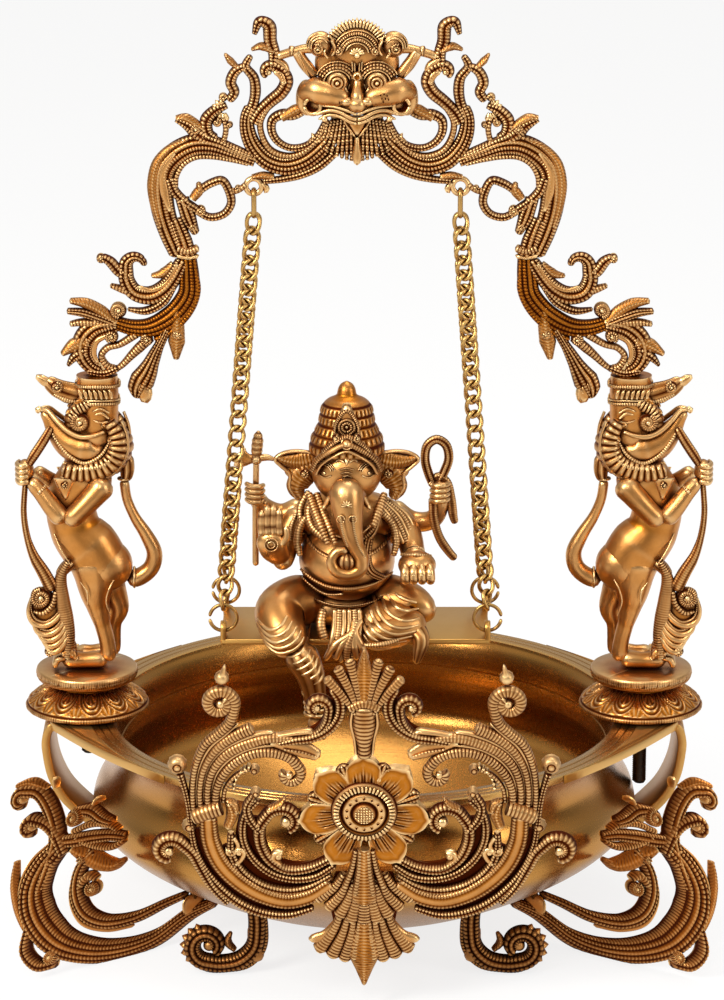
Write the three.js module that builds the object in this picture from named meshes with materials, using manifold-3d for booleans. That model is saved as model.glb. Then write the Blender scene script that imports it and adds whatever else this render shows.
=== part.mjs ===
// A turned brass bowl on cast scroll feet, with a figure on a chain swing that hangs from a cast arch.
// Millimetres, +Z up. The origin is on the floor under the middle of the bowl, the front faces -Y.

import * as THREE from "three";
import { mergeVertices } from "three/addons/utils/BufferGeometryUtils.js";
import Module from "manifold-3d";

const wasm = await Module();
wasm.setup();

// Clearances
const SEAT_GAP = 0.3;
const WELD = 1e-4;

// Bowl
const RIM_RADIUS = 162.5;
const RIM_HEIGHT = 119.5;
const LIP_WIDTH = 14;
const LIP_THICKNESS = 4.5;
const WALL = 3.8;
const NECK_DRAW = 14.5;
const NECK_HEIGHT = 95;
const BELLY_DRAW = 1.5;
const BELLY_HEIGHT = 62;
const FLOOR_RADIUS = 45;
const FLOOR_HEIGHT = 4;
const BOWL_FACES = 30;
// Shares across and up: the flank from foot to belly, the shoulder from neck to belly, the mouth from neck to rim
const FLANK_CURVE = [[0.62, 0.26], [0.82, 0.55], [0.944, 0.79]];
const SHOULDER_CURVE = [[0.77, 0.58], [0.08, 0.18]];
const MOUTH_CURVE = [[0.14, 0.37], [0.48, 0.65]];

// Handles
const HANDLE_STANDOFF = 26.5;
const HANDLE_THICKNESS = 5;
const HANDLE_HALF_WIDTH = 25;
const HANDLE_FOOT_HALF_WIDTH = 18;
const HANDLE_WING_ANGLE = 46;

// Pedestals, with the studs and nuts that hold them
const PEDESTAL_OVERHANG = 1;
const PEDESTAL_HEIGHT = 26;
const FLANGE_RADIUS = 36;
const DISC_RADIUS = 29.5;
const WAIST_RADIUS = 19;
const FLANGE_EDGE = 4;
const WAIST_FOOT = 9;
const WAIST_HEIGHT = 13;
const DISC_EDGE = 5;
const PETALS = 12;
const PETAL_DEPTH = 2;
const STUD_RADIUS = 4.25;
const STUD_SOCKET = 12;
const STUD_LENGTHS = { left: 40, right: 59 };
const NUT_RADIUS = 8.2;
const NUT_HEIGHT = 8;
const NUT_DROP = 5.5;

// Yalis
const YALI_HEIGHT = 177;
const YALI_DEPTH = 13;
const YALI_REACH = 39.5;

// Arch
const ARCH_LEAN = -4;
const ARCH_DRAWN_SPAN = 163.5;
const CAST_DEPTH = 3.4;
const COLLAR_HEIGHT = 69;
const COLLAR_OUT = 97;
const EAR_OUT = 59;
const EAR_HEIGHT = 111;
const EAR_RADIUS = 6;
const EAR_HALF_THICKNESS = 1.8;
const EAR_HOLE = 3;

// Hanging links, chains and split rings
const HANGER_WIRE = 1.45;
const HANGER_BEND = 4.6;
const HANGER_LENGTH = 18.2;
const LINK_WIRE = 1.15;
const LINK_WIDTH = 10.4;
const LINK_END_SHARE = 0.2;
const LINK_COUNT = 26;
const LINK_BITE = 0.25;
const CHAIN_PAIR_GAP = 0.9;
const CHAIN_TWIST = 30;
const RING_WIRE = 1.1;
const RING_RADIUS = 7.9;
const RING_SPLIT = 14;
const RING_HEIGHT = 184;

// Swing seat
const SEAT_CENTRE = -5;
const SEAT_LENGTH = 157;
const SEAT_DEPTH = 62;
const SEAT_THICKNESS = 3.3;
const TAB_WIDTH = 9;
const TAB_HEIGHT = 10;
const TAB_HOLE = 2;
const TAB_HOLE_EDGE = 1.5;
const FIGURE_OFFSET = -5;

// Front ornament
const ORNAMENT_TILT = 9.3;
const ORNAMENT_STANDOFF = 21.5;
const ORNAMENT_RISE = 4.5;
const ORNAMENT_DEPTH = 3.6;
const ROSETTE_RADIUS = 33;
const ROSETTE_PETALS = 12;
const LUG_RADIUS = 5;
const LUG_SPREAD = 34;
const LUG_DROP = 52;

// Legs and feet
const LEG_ANGLE = 34;
const LEG_DEPTH = 5.5;
const BACK_LEG_REACH = 198.7;
const BACK_LEG_SPLIT = 160;
const SIDE_LEG_REACH = 238;
const CURL_FOOT_OUT = 62;
const CURL_FOOT_FORWARD = 117;
const BOSS_RADIUS = 6;
const BOSS_LOW = 12;
const BOSS_HIGH = 40;
const LEG_BOSS_INSET = 41;
const LEG_DRAWN_BELLY = 161;

// Screws
const SCREW_RADIUS = 2;
const SCREW_HEAD_RADIUS = 4;
const SCREW_HEAD_HEIGHT = 2.4;
const SCREW_LENGTH = 12;
const SCREW_SINK = 2.5;
const SCREW_GRIP = 3;
const LONG_SCREW_LENGTH = 16;
const SEAT_SCREW_SPREAD = 13;

// Facet sizes of the sweeps
const MAX_TURN = 0.9;
const MAX_STEP = 22;
const CURL_STEP = Math.PI / 4;

const degrees = THREE.MathUtils.degToRad;
const lerp = THREE.MathUtils.lerp;
const vector = (x, y, z) => new THREE.Vector3(x, y, z);

// Solids from triangles and back

function signedVolume(points, faces) {
  const [a, b, c] = [vector(), vector(), vector()];
  let volume = 0;
  for (const [i, j, k] of faces) {
    a.fromArray(points, 3 * i);
    b.fromArray(points, 3 * j);
    c.fromArray(points, 3 * k);
    volume += a.dot(b.cross(c));
  }
  return volume;
}

function toSolid(geometry) {
  const bare = geometry.clone();
  bare.deleteAttribute("normal");
  bare.deleteAttribute("uv");
  const merged = mergeVertices(bare, WELD);
  const points = merged.getAttribute("position").array;
  const index = merged.getIndex().array;
  const faces = [];
  for (let i = 0; i < index.length; i += 3) {
    const [a, b, c] = index.slice(i, i + 3);
    if (a !== b && b !== c && c !== a) faces.push([a, b, c]);
  }
  const inward = signedVolume(points, faces) < 0;
  const triVerts = new Uint32Array(faces.flatMap(([a, b, c]) => (inward ? [a, c, b] : [a, b, c])));
  const mesh = new wasm.Mesh({ numProp: 3, vertProperties: new Float32Array(points), triVerts });
  return new wasm.Manifold(mesh);
}

function toGeometry(solid) {
  const mesh = solid.getMesh();
  const geometry = new THREE.BufferGeometry();
  geometry.setAttribute("position", new THREE.BufferAttribute(mesh.vertProperties, 3));
  geometry.setIndex(new THREE.BufferAttribute(mesh.triVerts, 1));
  geometry.computeVertexNormals();
  return geometry;
}

// The solid with each of its corners moved by a rule
function reshaped(solid, rule) {
  const geometry = toGeometry(solid);
  const place = geometry.getAttribute("position");
  for (let i = 0; i < place.count; i++) {
    const point = rule(vector().fromBufferAttribute(place, i));
    place.setXYZ(i, point.x, point.y, point.z);
  }
  return toSolid(geometry);
}

const shifted = (solid, x, y, z) => reshaped(solid, (point) => point.add(vector(x, y, z)));
const tilted = (solid, angle) => reshaped(solid, (point) => point.applyAxisAngle(vector(1, 0, 0), degrees(angle)));
const swung = (solid, angle) => reshaped(solid, (point) => point.applyAxisAngle(vector(0, 0, 1), degrees(angle)));
const mirrored = (solid) => reshaped(solid, (point) => point.setX(-point.x));

const join = (solids) => solids.reduce((whole, solid) => whole.add(solid));
const cut = (solid, tools) => tools.reduce((rest, tool) => rest.subtract(tool), solid);

// Shapes

function loft(rings, closed = false) {
  const sides = rings[0].length;
  const points = rings.flat();
  const index = [];
  const spans = closed ? rings.length : rings.length - 1;
  for (let i = 0; i < spans; i++) {
    const next = (i + 1) % rings.length;
    for (let j = 0; j < sides; j++) {
      const k = (j + 1) % sides;
      const [a, b, c, d] = [i * sides + j, i * sides + k, next * sides + j, next * sides + k];
      index.push(a, b, d, a, d, c);
    }
  }
  if (!closed) {
    const last = (rings.length - 1) * sides;
    for (let j = 1; j < sides - 1; j++) {
      index.push(0, j + 1, j);
      index.push(last, last + j, last + j + 1);
    }
  }
  const geometry = new THREE.BufferGeometry().setFromPoints(points);
  geometry.setIndex(index);
  return toSolid(geometry);
}

const regular = (sides) => Array.from({ length: sides }, (_, i) => {
  const turn = (2 * Math.PI * i) / sides;
  return [Math.cos(turn), Math.sin(turn)];
});
const hexagon = regular(6);
const square = regular(4);
const rectangle = [[1, 1], [-1, 1], [-1, -1], [1, -1]];

function valueAt(values, share) {
  const place = share * (values.length - 1);
  const low = Math.min(Math.floor(place), values.length - 2);
  return values.length === 1 ? values[0] : lerp(values[low], values[low + 1], place - low);
}

// Shares of the curve's length where it needs a ring, closer together where it bends
function stations(curve) {
  const fine = 80;
  const span = curve.getLength();
  const shares = [0];
  let tangent = curve.getTangentAt(0);
  for (let i = 1; i < fine; i++) {
    const share = i / fine;
    const here = curve.getTangentAt(share);
    const run = (share - shares.at(-1)) * span;
    if (here.angleTo(tangent) > MAX_TURN || run > MAX_STEP) {
      shares.push(share);
      tangent = here;
    }
  }
  if ((1 - shares.at(-1)) * span < 1.5 && shares.length > 2) shares.pop();
  shares.push(1);
  return shares;
}

function curlPoints(path, { wide, tight, turn }) {
  const [before, end] = path.slice(-2);
  const steps = Math.ceil(Math.abs(degrees(turn)) / CURL_STEP);
  const swing = degrees(turn) / steps;
  let heading = Math.atan2(end[1] - before[1], end[0] - before[0]) + swing / 2;
  let [u, v] = end;
  const points = [];
  for (let i = 0; i < steps; i++) {
    const chord = 2 * lerp(wide, tight, (i + 0.5) / steps) * Math.sin(Math.abs(swing) / 2);
    u += chord * Math.cos(heading);
    v += chord * Math.sin(heading);
    heading += swing;
    points.push([u, v]);
  }
  return points;
}

// One strand of cast scrollwork in the XZ plane: a tapered bar along a smooth path, with a curled end
function strand({ path, half, curl, deep = [CAST_DEPTH], section = rectangle }) {
  const flat = curl ? [...path, ...curlPoints(path, curl)] : path;
  const curve = new THREE.CatmullRomCurve3(flat.map(([u, v]) => vector(u, 0, v)), false, "centripetal");
  const rings = stations(curve).map((share) => {
    const centre = curve.getPointAt(share);
    const tangent = curve.getTangentAt(share);
    const across = vector(-tangent.z, 0, tangent.x);
    const a = valueAt(half, share);
    const b = valueAt(deep, share);
    return section.map(([c, s]) => centre.clone().addScaledVector(across, a * c).add(vector(0, b * s, 0)));
  });
  return loft(rings);
}

// A limb: a round, tapered bar along a path through space
function limb(path, radii, flatten = 1) {
  const curve = new THREE.CatmullRomCurve3(path.map((p) => vector(...p)), false, "centripetal");
  const shares = stations(curve);
  const fine = 80;
  const frames = curve.computeFrenetFrames(fine, false);
  const rings = shares.map((share) => {
    const centre = curve.getPointAt(share);
    const at = Math.round(share * fine);
    const radius = valueAt(radii, share);
    return square.map(([c, s]) => centre.clone()
      .addScaledVector(frames.normals[at], radius * c)
      .addScaledVector(frames.binormals[at], radius * s * flatten));
  });
  return loft(rings);
}

function ball([x, y, z], [rx, ry, rz], around = 6, down = 4) {
  const geometry = new THREE.SphereGeometry(1, around, down);
  geometry.rotateX(Math.PI / 2);
  geometry.scale(rx, ry, rz);
  geometry.translate(x, y, z);
  return toSolid(geometry);
}

function turned(profile, faces) {
  const geometry = new THREE.LatheGeometry(profile.map(([r, z]) => new THREE.Vector2(r, z)), faces);
  geometry.rotateX(Math.PI / 2);
  return toSolid(geometry);
}

// A turned shape whose radius rises and falls with the petals
function petalled(profile, petals, depth) {
  const faces = 2 * petals;
  const geometry = new THREE.LatheGeometry(profile.map(([r, z]) => new THREE.Vector2(r, z)), faces);
  geometry.rotateX(Math.PI / 2);
  const place = geometry.getAttribute("position");
  const widest = Math.max(...profile.map(([r]) => r));
  for (let i = 0; i < place.count; i++) {
    const [x, y] = [place.getX(i), place.getY(i)];
    const r = Math.hypot(x, y);
    const fold = Math.cos(petals * Math.atan2(y, x)) * depth * (r / widest) ** 3;
    const grow = r > 0 ? (r + fold) / r : 1;
    place.setXY(i, x * grow, y * grow);
  }
  return toSolid(geometry);
}

function rod(from, to, radius, faces = 10) {
  const axis = vector(...to).sub(vector(...from));
  const geometry = new THREE.CylinderGeometry(radius, radius, axis.length(), faces);
  geometry.translate(0, axis.length() / 2, 0);
  geometry.applyQuaternion(new THREE.Quaternion().setFromUnitVectors(vector(0, 1, 0), axis.clone().normalize()));
  geometry.translate(...from);
  return toSolid(geometry);
}

function block([x0, y0, z0], [x1, y1, z1]) {
  const geometry = new THREE.BoxGeometry(x1 - x0, y1 - y0, z1 - z0);
  geometry.translate((x0 + x1) / 2, (y0 + y1) / 2, (z0 + z1) / 2);
  return toSolid(geometry);
}

function plate(shape, thickness, curveSegments = 8) {
  return toSolid(new THREE.ExtrudeGeometry(shape, { depth: thickness, bevelEnabled: false, curveSegments }));
}

// The outline as plain points, with none twice where its curves meet
function outline(shape, curveSegments) {
  const points = shape.getPoints(curveSegments);
  const apart = points.filter((point, i) => point.distanceTo(points.at(i - 1)) > 0.01);
  return new THREE.Shape(apart);
}

// A wire bent into a closed or split ring that lies in the plane of the two given directions
function bentWire(path, wire, normal, closed, sides = 6) {
  const count = path.length;
  const rings = path.map((point, i) => {
    const before = path[closed ? (i + count - 1) % count : Math.max(i - 1, 0)];
    const after = path[closed ? (i + 1) % count : Math.min(i + 1, count - 1)];
    const tangent = after.clone().sub(before).normalize();
    const across = tangent.clone().cross(normal);
    const stretch = miter(point, before, after);
    return Array.from({ length: sides }, (_, k) => {
      const turn = Math.PI + (2 * Math.PI * k) / sides;
      return point.clone()
        .addScaledVector(across, wire * stretch * Math.cos(turn))
        .addScaledVector(normal, wire * Math.sin(turn));
    });
  });
  return loft(rings, closed);
}

function miter(point, before, after) {
  const come = point.clone().sub(before);
  const go = after.clone().sub(point);
  if (come.length() === 0 || go.length() === 0) return 1;
  return 1 / Math.cos(come.angleTo(go) / 2);
}

// Placing

const brass = { color: 0xc9973f, roughness: 0.35, metalness: 1 };
const antique = { color: 0xb07a35, roughness: 0.45, metalness: 1 };
const dark = { color: 0x6e4424, roughness: 0.5, metalness: 1 };
const steel = { color: 0x3a3734, roughness: 0.45, metalness: 1 };

const urli = new THREE.Group();

function piece(name, solid, finish, parent = urli) {
  const mesh = new THREE.Mesh(toGeometry(solid), new THREE.MeshStandardMaterial(finish));
  mesh.name = name;
  parent.add(mesh);
  return mesh;
}

function frameAt(x, y, z) {
  const group = new THREE.Group();
  group.position.set(x, y, z);
  urli.add(group);
  return group;
}

// Bowl

const neckRadius = RIM_RADIUS - NECK_DRAW;
const bellyRadius = RIM_RADIUS - BELLY_DRAW;
const pedestalOut = RIM_RADIUS + PEDESTAL_OVERHANG;
const handleReach = RIM_RADIUS + HANDLE_STANDOFF;

// Points at shares of the way from one radius and height to another
const between = (fromRadius, fromHeight, toRadius, toHeight, shares) => shares.map(([across, up]) => [
  lerp(fromRadius, toRadius, across),
  lerp(fromHeight, toHeight, up),
]);
const mouth = between(neckRadius, NECK_HEIGHT, RIM_RADIUS, RIM_HEIGHT, MOUTH_CURVE);
const flank = [
  [FLOOR_RADIUS, FLOOR_HEIGHT],
  ...between(0, FLOOR_HEIGHT, bellyRadius, BELLY_HEIGHT, FLANK_CURVE),
  [bellyRadius, BELLY_HEIGHT],
  ...between(neckRadius, NECK_HEIGHT, bellyRadius, BELLY_HEIGHT, SHOULDER_CURVE),
  [neckRadius, NECK_HEIGHT],
  mouth[0],
];

// The profile moved inward by the wall's thickness
function thinned(profile, wall) {
  return profile.map(([r, z], i) => {
    const before = new THREE.Vector2(...profile[Math.max(i - 1, 0)]);
    const after = new THREE.Vector2(...profile[Math.min(i + 1, profile.length - 1)]);
    const along = after.sub(before).normalize();
    return [r - wall * along.y, z + wall * along.x];
  });
}

const bowlOutside = [
  [0, FLOOR_HEIGHT],
  ...flank,
  mouth[1],
  [RIM_RADIUS, RIM_HEIGHT - LIP_THICKNESS],
  [RIM_RADIUS, RIM_HEIGHT],
];
const inner = [[0, FLOOR_HEIGHT + WALL], [FLOOR_RADIUS, FLOOR_HEIGHT + WALL], ...thinned(flank, WALL).slice(1)];
const bowlInside = [[RIM_RADIUS - LIP_WIDTH, RIM_HEIGHT], ...inner.toReversed()];

// Height of the bowl's outside and inside at a radius below the belly
function heightOn(profile, radius) {
  for (let i = 1; i < profile.length; i++) {
    const [[r0, z0], [r1, z1]] = [profile[i - 1], profile[i]];
    if (radius >= r0 && radius <= r1) return lerp(z0, z1, (radius - r0) / (r1 - r0));
  }
  return FLOOR_HEIGHT;
}
const underBowl = (radius) => heightOn(bowlOutside, radius);
const overBowl = (radius) => heightOn(inner, radius);

// Radius of the bowl's inside at a height above the belly
function radiusInside(height) {
  const at = inner.findIndex(([, z]) => z > height);
  const [[r0, z0], [r1, z1]] = [inner[at - 1], inner[at]];
  return lerp(r0, r1, (height - z0) / (z1 - z0));
}

// The space that the bowl takes, a little larger all round, to seat the castings against
const bowlSpace = turned([
  [0, FLOOR_HEIGHT - SEAT_GAP],
  ...bowlOutside.slice(1).map(([r, z]) => [r + SEAT_GAP, z - SEAT_GAP / 2]),
  [RIM_RADIUS + SEAT_GAP, RIM_HEIGHT + SEAT_GAP],
  [0, RIM_HEIGHT + SEAT_GAP],
], BOWL_FACES);

function screw(length) {
  return turned([
    [0, -length],
    [SCREW_RADIUS, -length],
    [SCREW_RADIUS, 0],
    [SCREW_HEAD_RADIUS, 0],
    [SCREW_HEAD_RADIUS, SCREW_HEAD_HEIGHT * 0.5],
    [SCREW_HEAD_RADIUS * 0.6, SCREW_HEAD_HEIGHT],
    [0, SCREW_HEAD_HEIGHT],
  ], 6);
}
const screwHole = SCREW_RADIUS + 2 * SEAT_GAP;

const legBossOut = bellyRadius - LEG_BOSS_INSET;
const legAngles = { left: 180 + LEG_ANGLE, right: -LEG_ANGLE, back: 90 };
const around = (angle, out) => [out * Math.cos(degrees(angle)), out * Math.sin(degrees(angle))];
const bossPlaces = [
  ...Object.values(legAngles).map((angle) => around(angle, legBossOut)),
  [-CURL_FOOT_OUT, -CURL_FOOT_FORWARD],
  [CURL_FOOT_OUT, -CURL_FOOT_FORWARD],
];
const ornamentHeight = RIM_HEIGHT + ORNAMENT_RISE;
const lugHeight = ornamentHeight - LUG_DROP;
const ornamentOut = RIM_RADIUS + ORNAMENT_STANDOFF;

function makeBowl() {
  const shell = turned([...bowlOutside, ...bowlInside], BOWL_FACES);
  const studHoles = [-1, 1].map((side) => rod(
    [side * pedestalOut, 0, NECK_HEIGHT],
    [side * pedestalOut, 0, RIM_HEIGHT + WALL],
    STUD_RADIUS + SEAT_GAP,
  ));
  const bossHoles = bossPlaces.map(([x, y]) => rod([x, y, 0], [x, y, RIM_HEIGHT / 2], screwHole, 6));
  const lugHoles = [-1, 1].map((side) => rod(
    [side * LUG_SPREAD, -RIM_RADIUS, lugHeight],
    [side * LUG_SPREAD, -RIM_RADIUS / 2, lugHeight],
    screwHole,
    6,
  ));
  return cut(shell, [...studHoles, ...bossHoles, ...lugHoles]);
}
piece("urli_bowl", makeBowl(), brass);

// Handles

function makeHandle() {
  const rim = RIM_RADIUS + SEAT_GAP;
  const wing = degrees(HANDLE_WING_ANGLE);
  const shoulder = handleReach - HANDLE_THICKNESS;
  const [tipX, tipY] = [rim * Math.cos(wing), rim * Math.sin(wing)];
  const shape = new THREE.Shape();
  const nearTip = [lerp(tipX, shoulder, 0.49), lerp(tipY, HANDLE_HALF_WIDTH, 0.36)];
  const nearStrap = [lerp(tipX, shoulder, 0.8), lerp(tipY, HANDLE_HALF_WIDTH, 0.75)];
  shape.absarc(0, 0, rim, wing, -wing, true);
  shape.bezierCurveTo(nearTip[0], -nearTip[1], nearStrap[0], -nearStrap[1], shoulder, -HANDLE_HALF_WIDTH);
  shape.lineTo(shoulder, HANDLE_HALF_WIDTH);
  shape.bezierCurveTo(...nearStrap, ...nearTip, tipX, tipY);
  const top = shifted(plate(outline(shape, 6), HANDLE_THICKNESS), 0, 0, RIM_HEIGHT - HANDLE_THICKNESS);
  const middle = HANDLE_THICKNESS / 2;
  const strap = strand({
    path: [
      [shoulder - 4, RIM_HEIGHT - middle],
      [handleReach - 5, RIM_HEIGHT - 7],
      [handleReach - middle, RIM_HEIGHT - 19],
      [handleReach - 4, RIM_HEIGHT - 34],
      [handleReach - 12, BELLY_HEIGHT + 8],
      [bellyRadius + 4, BELLY_HEIGHT - 3],
      [bellyRadius - 3, BELLY_HEIGHT - 11],
    ],
    half: [middle],
    deep: [HANDLE_HALF_WIDTH, HANDLE_HALF_WIDTH, HANDLE_FOOT_HALF_WIDTH, HANDLE_FOOT_HALF_WIDTH],
  });
  const studHole = rod([pedestalOut, 0, NECK_HEIGHT], [pedestalOut, 0, RIM_HEIGHT + WALL], STUD_RADIUS + SEAT_GAP);
  return cut(join([top, strap]), [bowlSpace, studHole]);
}
const handle = makeHandle();
piece("handle_left", mirrored(handle), brass);
piece("handle_right", handle, brass);

// Pedestals on their studs

const pedestalFoot = RIM_HEIGHT + SEAT_GAP;
const socket = STUD_RADIUS + SEAT_GAP;
const pedestal = petalled([
  [0, STUD_SOCKET],
  [socket, STUD_SOCKET],
  [socket, 0],
  [FLANGE_RADIUS - 3, 0],
  [FLANGE_RADIUS, FLANGE_EDGE],
  [WAIST_RADIUS + 6, WAIST_FOOT],
  [WAIST_RADIUS, WAIST_HEIGHT],
  [DISC_RADIUS, PEDESTAL_HEIGHT - DISC_EDGE],
  [DISC_RADIUS - 1, PEDESTAL_HEIGHT],
  [0, PEDESTAL_HEIGHT],
], PETALS, PETAL_DEPTH);

function makeNut() {
  const shape = new THREE.Shape(hexagon.map(([c, s]) => new THREE.Vector2(NUT_RADIUS * c, NUT_RADIUS * s)));
  const hole = new THREE.Path();
  hole.absarc(0, 0, STUD_RADIUS + SEAT_GAP, 0, 2 * Math.PI, true);
  shape.holes.push(hole);
  return plate(shape, NUT_HEIGHT, 5);
}

for (const [side, sign] of [["left", -1], ["right", 1]]) {
  const stand = frameAt(sign * pedestalOut, 0, pedestalFoot);
  piece(`pedestal_${side}`, pedestal, antique, stand);
  const top = STUD_SOCKET - SEAT_GAP;
  piece(`stud_${side}`, rod([0, 0, top - STUD_LENGTHS[side]], [0, 0, top], STUD_RADIUS, 12), steel, stand);
  const nut = piece(`stud_nut_${side}`, makeNut(), brass, stand);
  nut.position.z = RIM_HEIGHT - HANDLE_THICKNESS - NUT_DROP - NUT_HEIGHT - pedestalFoot;
}

// Yalis: out from the pedestal's axis, toward the front, and up from the pedestal's top

function makeYali() {
  const reach = YALI_REACH;
  const fist = 6.5;
  const foot = [
    ball([12, -4, 6], [9, 9, 6]),
    ball([-9, 3, 6], [9, 9, 6]),
  ];
  const legs = [
    limb([[13, -4, 4], [9, -6, 26], [2, -3, 48], [-4, 0, 64]], [6, 6.5, 9, 13]),
    limb([[-10, 3, 4], [-16, 4, 28], [-16, 3, 46], [-8, 0, 62]], [6, 7, 10, 13]),
  ];
  const body = [
    ball([-8, 0, 62], [19, YALI_DEPTH, 18]),
    limb([[-6, 0, 66], [4, 0, 84], [5, 0, 96], [-4, 0, 112], [-8, 0, 124]], [13, 11, 10, 14, 15]),
    ball([-7, 0, 132], [17, YALI_DEPTH + 2, 13]),
  ];
  const head = [
    limb([[-12, 0, 138], [-2, 0, 136], [10, 0, 138], [19, 0, 146], [23, 0, 158]], [10, 12, 10, 6, 2.5]),
    limb([[-6, 0, 136], [-8, 0, 152], [-9, 0, 168], [-9, 0, YALI_HEIGHT]], [11, 12, 11, 10]),
    limb([[-4, 0, 166], [8, 0, 168], [16, 0, 175], [24, 0, 174]], [4, 6, 5.5, 2], 0.6),
  ];
  const arms = [
    limb([[-14, -9, 122], [0, -13, 104], [10, -14, 92], [22, -11, 106], [33, -9, 121]], [7, 6, 6, 4.5, 4]),
    limb([[-10, 9, 122], [6, 11, 108], [18, 9, 104], [33, 0, 122]], [6, 5.5, 5, 4]),
    ball([reach - fist, -8, 123], [fist, 6, 8]),
  ];
  const tail = limb([[-22, 4, 54], [-36, 5, 58], [-40, 5, 68], [-34, 5, 84], [-26, 4, 96], [-22, 3, 110], [-20, 2, 128]],
    [5, 5, 4.5, 4, 4, 4, 3]);
  const vine = [
    limb([[20, -4, 148], [30, -8, 134], [34, -10, 111], [36, -12, 97], [29, -12, 75], [22, -12, 58]], [2.5, 3, 3, 3, 3, 3]),
    shifted(strand({
      path: [[20, 16], [14, 26], [17, 42], [24, 54]],
      half: [3, 9, 8, 4, 2],
      curl: { wide: 7, tight: 3, turn: -230 },
    }), 0, -12, 0),
    limb([[16, -12, 30], [12, -6, 32], [6, -2, 34]], [4, 4, 4]),
  ];
  return join([...foot, ...legs, ...body, ...head, ...arms, tail, ...vine]);
}
const yaliFoot = pedestalFoot + PEDESTAL_HEIGHT + SEAT_GAP;
const standing = block([-200, -200, 0], [200, 200, YALI_HEIGHT]);
const yali = makeYali().intersect(standing);
piece("yali_left", mirrored(yali), brass, frameAt(-pedestalOut, 0, yaliFoot));
piece("yali_right", yali, brass, frameAt(pedestalOut, 0, yaliFoot));

// Arch: heights are above the yalis' heads, and the whole arch leans a little to one side

const archFoot = yaliFoot + YALI_HEIGHT + SEAT_GAP;
const arch = frameAt(0, 0, archFoot);
const disc = (u, v, radius, depth = CAST_DEPTH) => rod([u, -depth, v], [u, depth, v], radius, 8);

const wingStrands = [
  { path: [[97, 75], [97, 58], [98, 48], [103, 40], [111, 33], [122, 28], [132, 28], [142, 31]], half: [4.5, 5.5, 6, 6, 5, 4] },
  {
    path: [[100, 68], [106, 58], [112, 51], [120, 47], [129, 49], [133, 56], [133, 64]],
    half: [4, 5, 5.5, 5, 4, 1.5],
    curl: { wide: 6, tight: 4, turn: 190 },
  },
  { path: [[131, 58], [137, 61], [142, 67], [147, 70]], half: [3, 3.5, 3.2, 1.8] },
  { path: [[131, 49], [143, 53]], half: [3, 1] },
  { path: [[141, 31], [150, 37], [158, 40], [167, 42]], half: [4, 6, 6.5, 2.5] },
  { path: [[141, 30], [153, 27], [160, 20], [161, 12], [157, 5], [151, 2]], half: [5, 6.5, 7, 6.5, 5, 4] },
  { path: [[158, 20], [174, 13]], half: [5, 1.5] },
  { path: [[130, 24], [140, 18], [147, 16], [151, 11], [148, 5], [143, 3]], half: [2.5, 2, 2, 2.5] },
  { path: [[112, 27], [119, 14], [125, 2], [130, -7], [133, -15]], half: [3, 3, 5, 8, 3] },
  { path: [[122, 22], [133, 12], [139, 6], [143, 4]], half: [3, 3, 1.8] },
  { path: [[106, 40], [106, 16], [108, 8]], half: [3, 5, 1.5] },
  { path: [[106, 66], [112, 59], [119, 58]], half: [2, 3, 1] },
];

// The arch's curves are drawn for one span and follow the pedestals
const archSpan = pedestalOut / ARCH_DRAWN_SPAN;
const spanned = (solid) => reshaped(solid, (point) => point.setX(point.x * archSpan));

function makeWing() {
  const base = 12;
  const strands = wingStrands.map(strand);
  const curls = [disc(139, 37, 4.8, 4), disc(144, 23, 3.8, 4), disc(124, 21, 3.5, 4)];
  const tenon = rod([ARCH_DRAWN_SPAN - 9, 0, 0], [ARCH_DRAWN_SPAN - 9, 0, base], 5, 8);
  const collarSide = COLLAR_OUT + 22;
  const above = block([0, -30, COLLAR_HEIGHT - SEAT_GAP / 2], [collarSide, 30, COLLAR_HEIGHT + 60]);
  const headSide = ARCH_DRAWN_SPAN - 24;
  const headSpace = block([headSide, -30, -40], [headSide + 60, 30, 0]);
  return cut(join([...strands, ...curls, tenon]), [above, headSpace]);
}

// The lean grows from nothing at the yali's head to its full size at the collar
function leaning(solid) {
  return reshaped(solid, (point) => {
    const share = THREE.MathUtils.clamp(point.z / COLLAR_HEIGHT, 0, 1);
    return point.setX(point.x + ARCH_LEAN * share);
  });
}
const wing = makeWing();
piece("arch_wing_left", leaning(spanned(mirrored(wing))), antique, arch);
piece("arch_wing_right", leaning(spanned(wing)), antique, arch);

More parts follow.
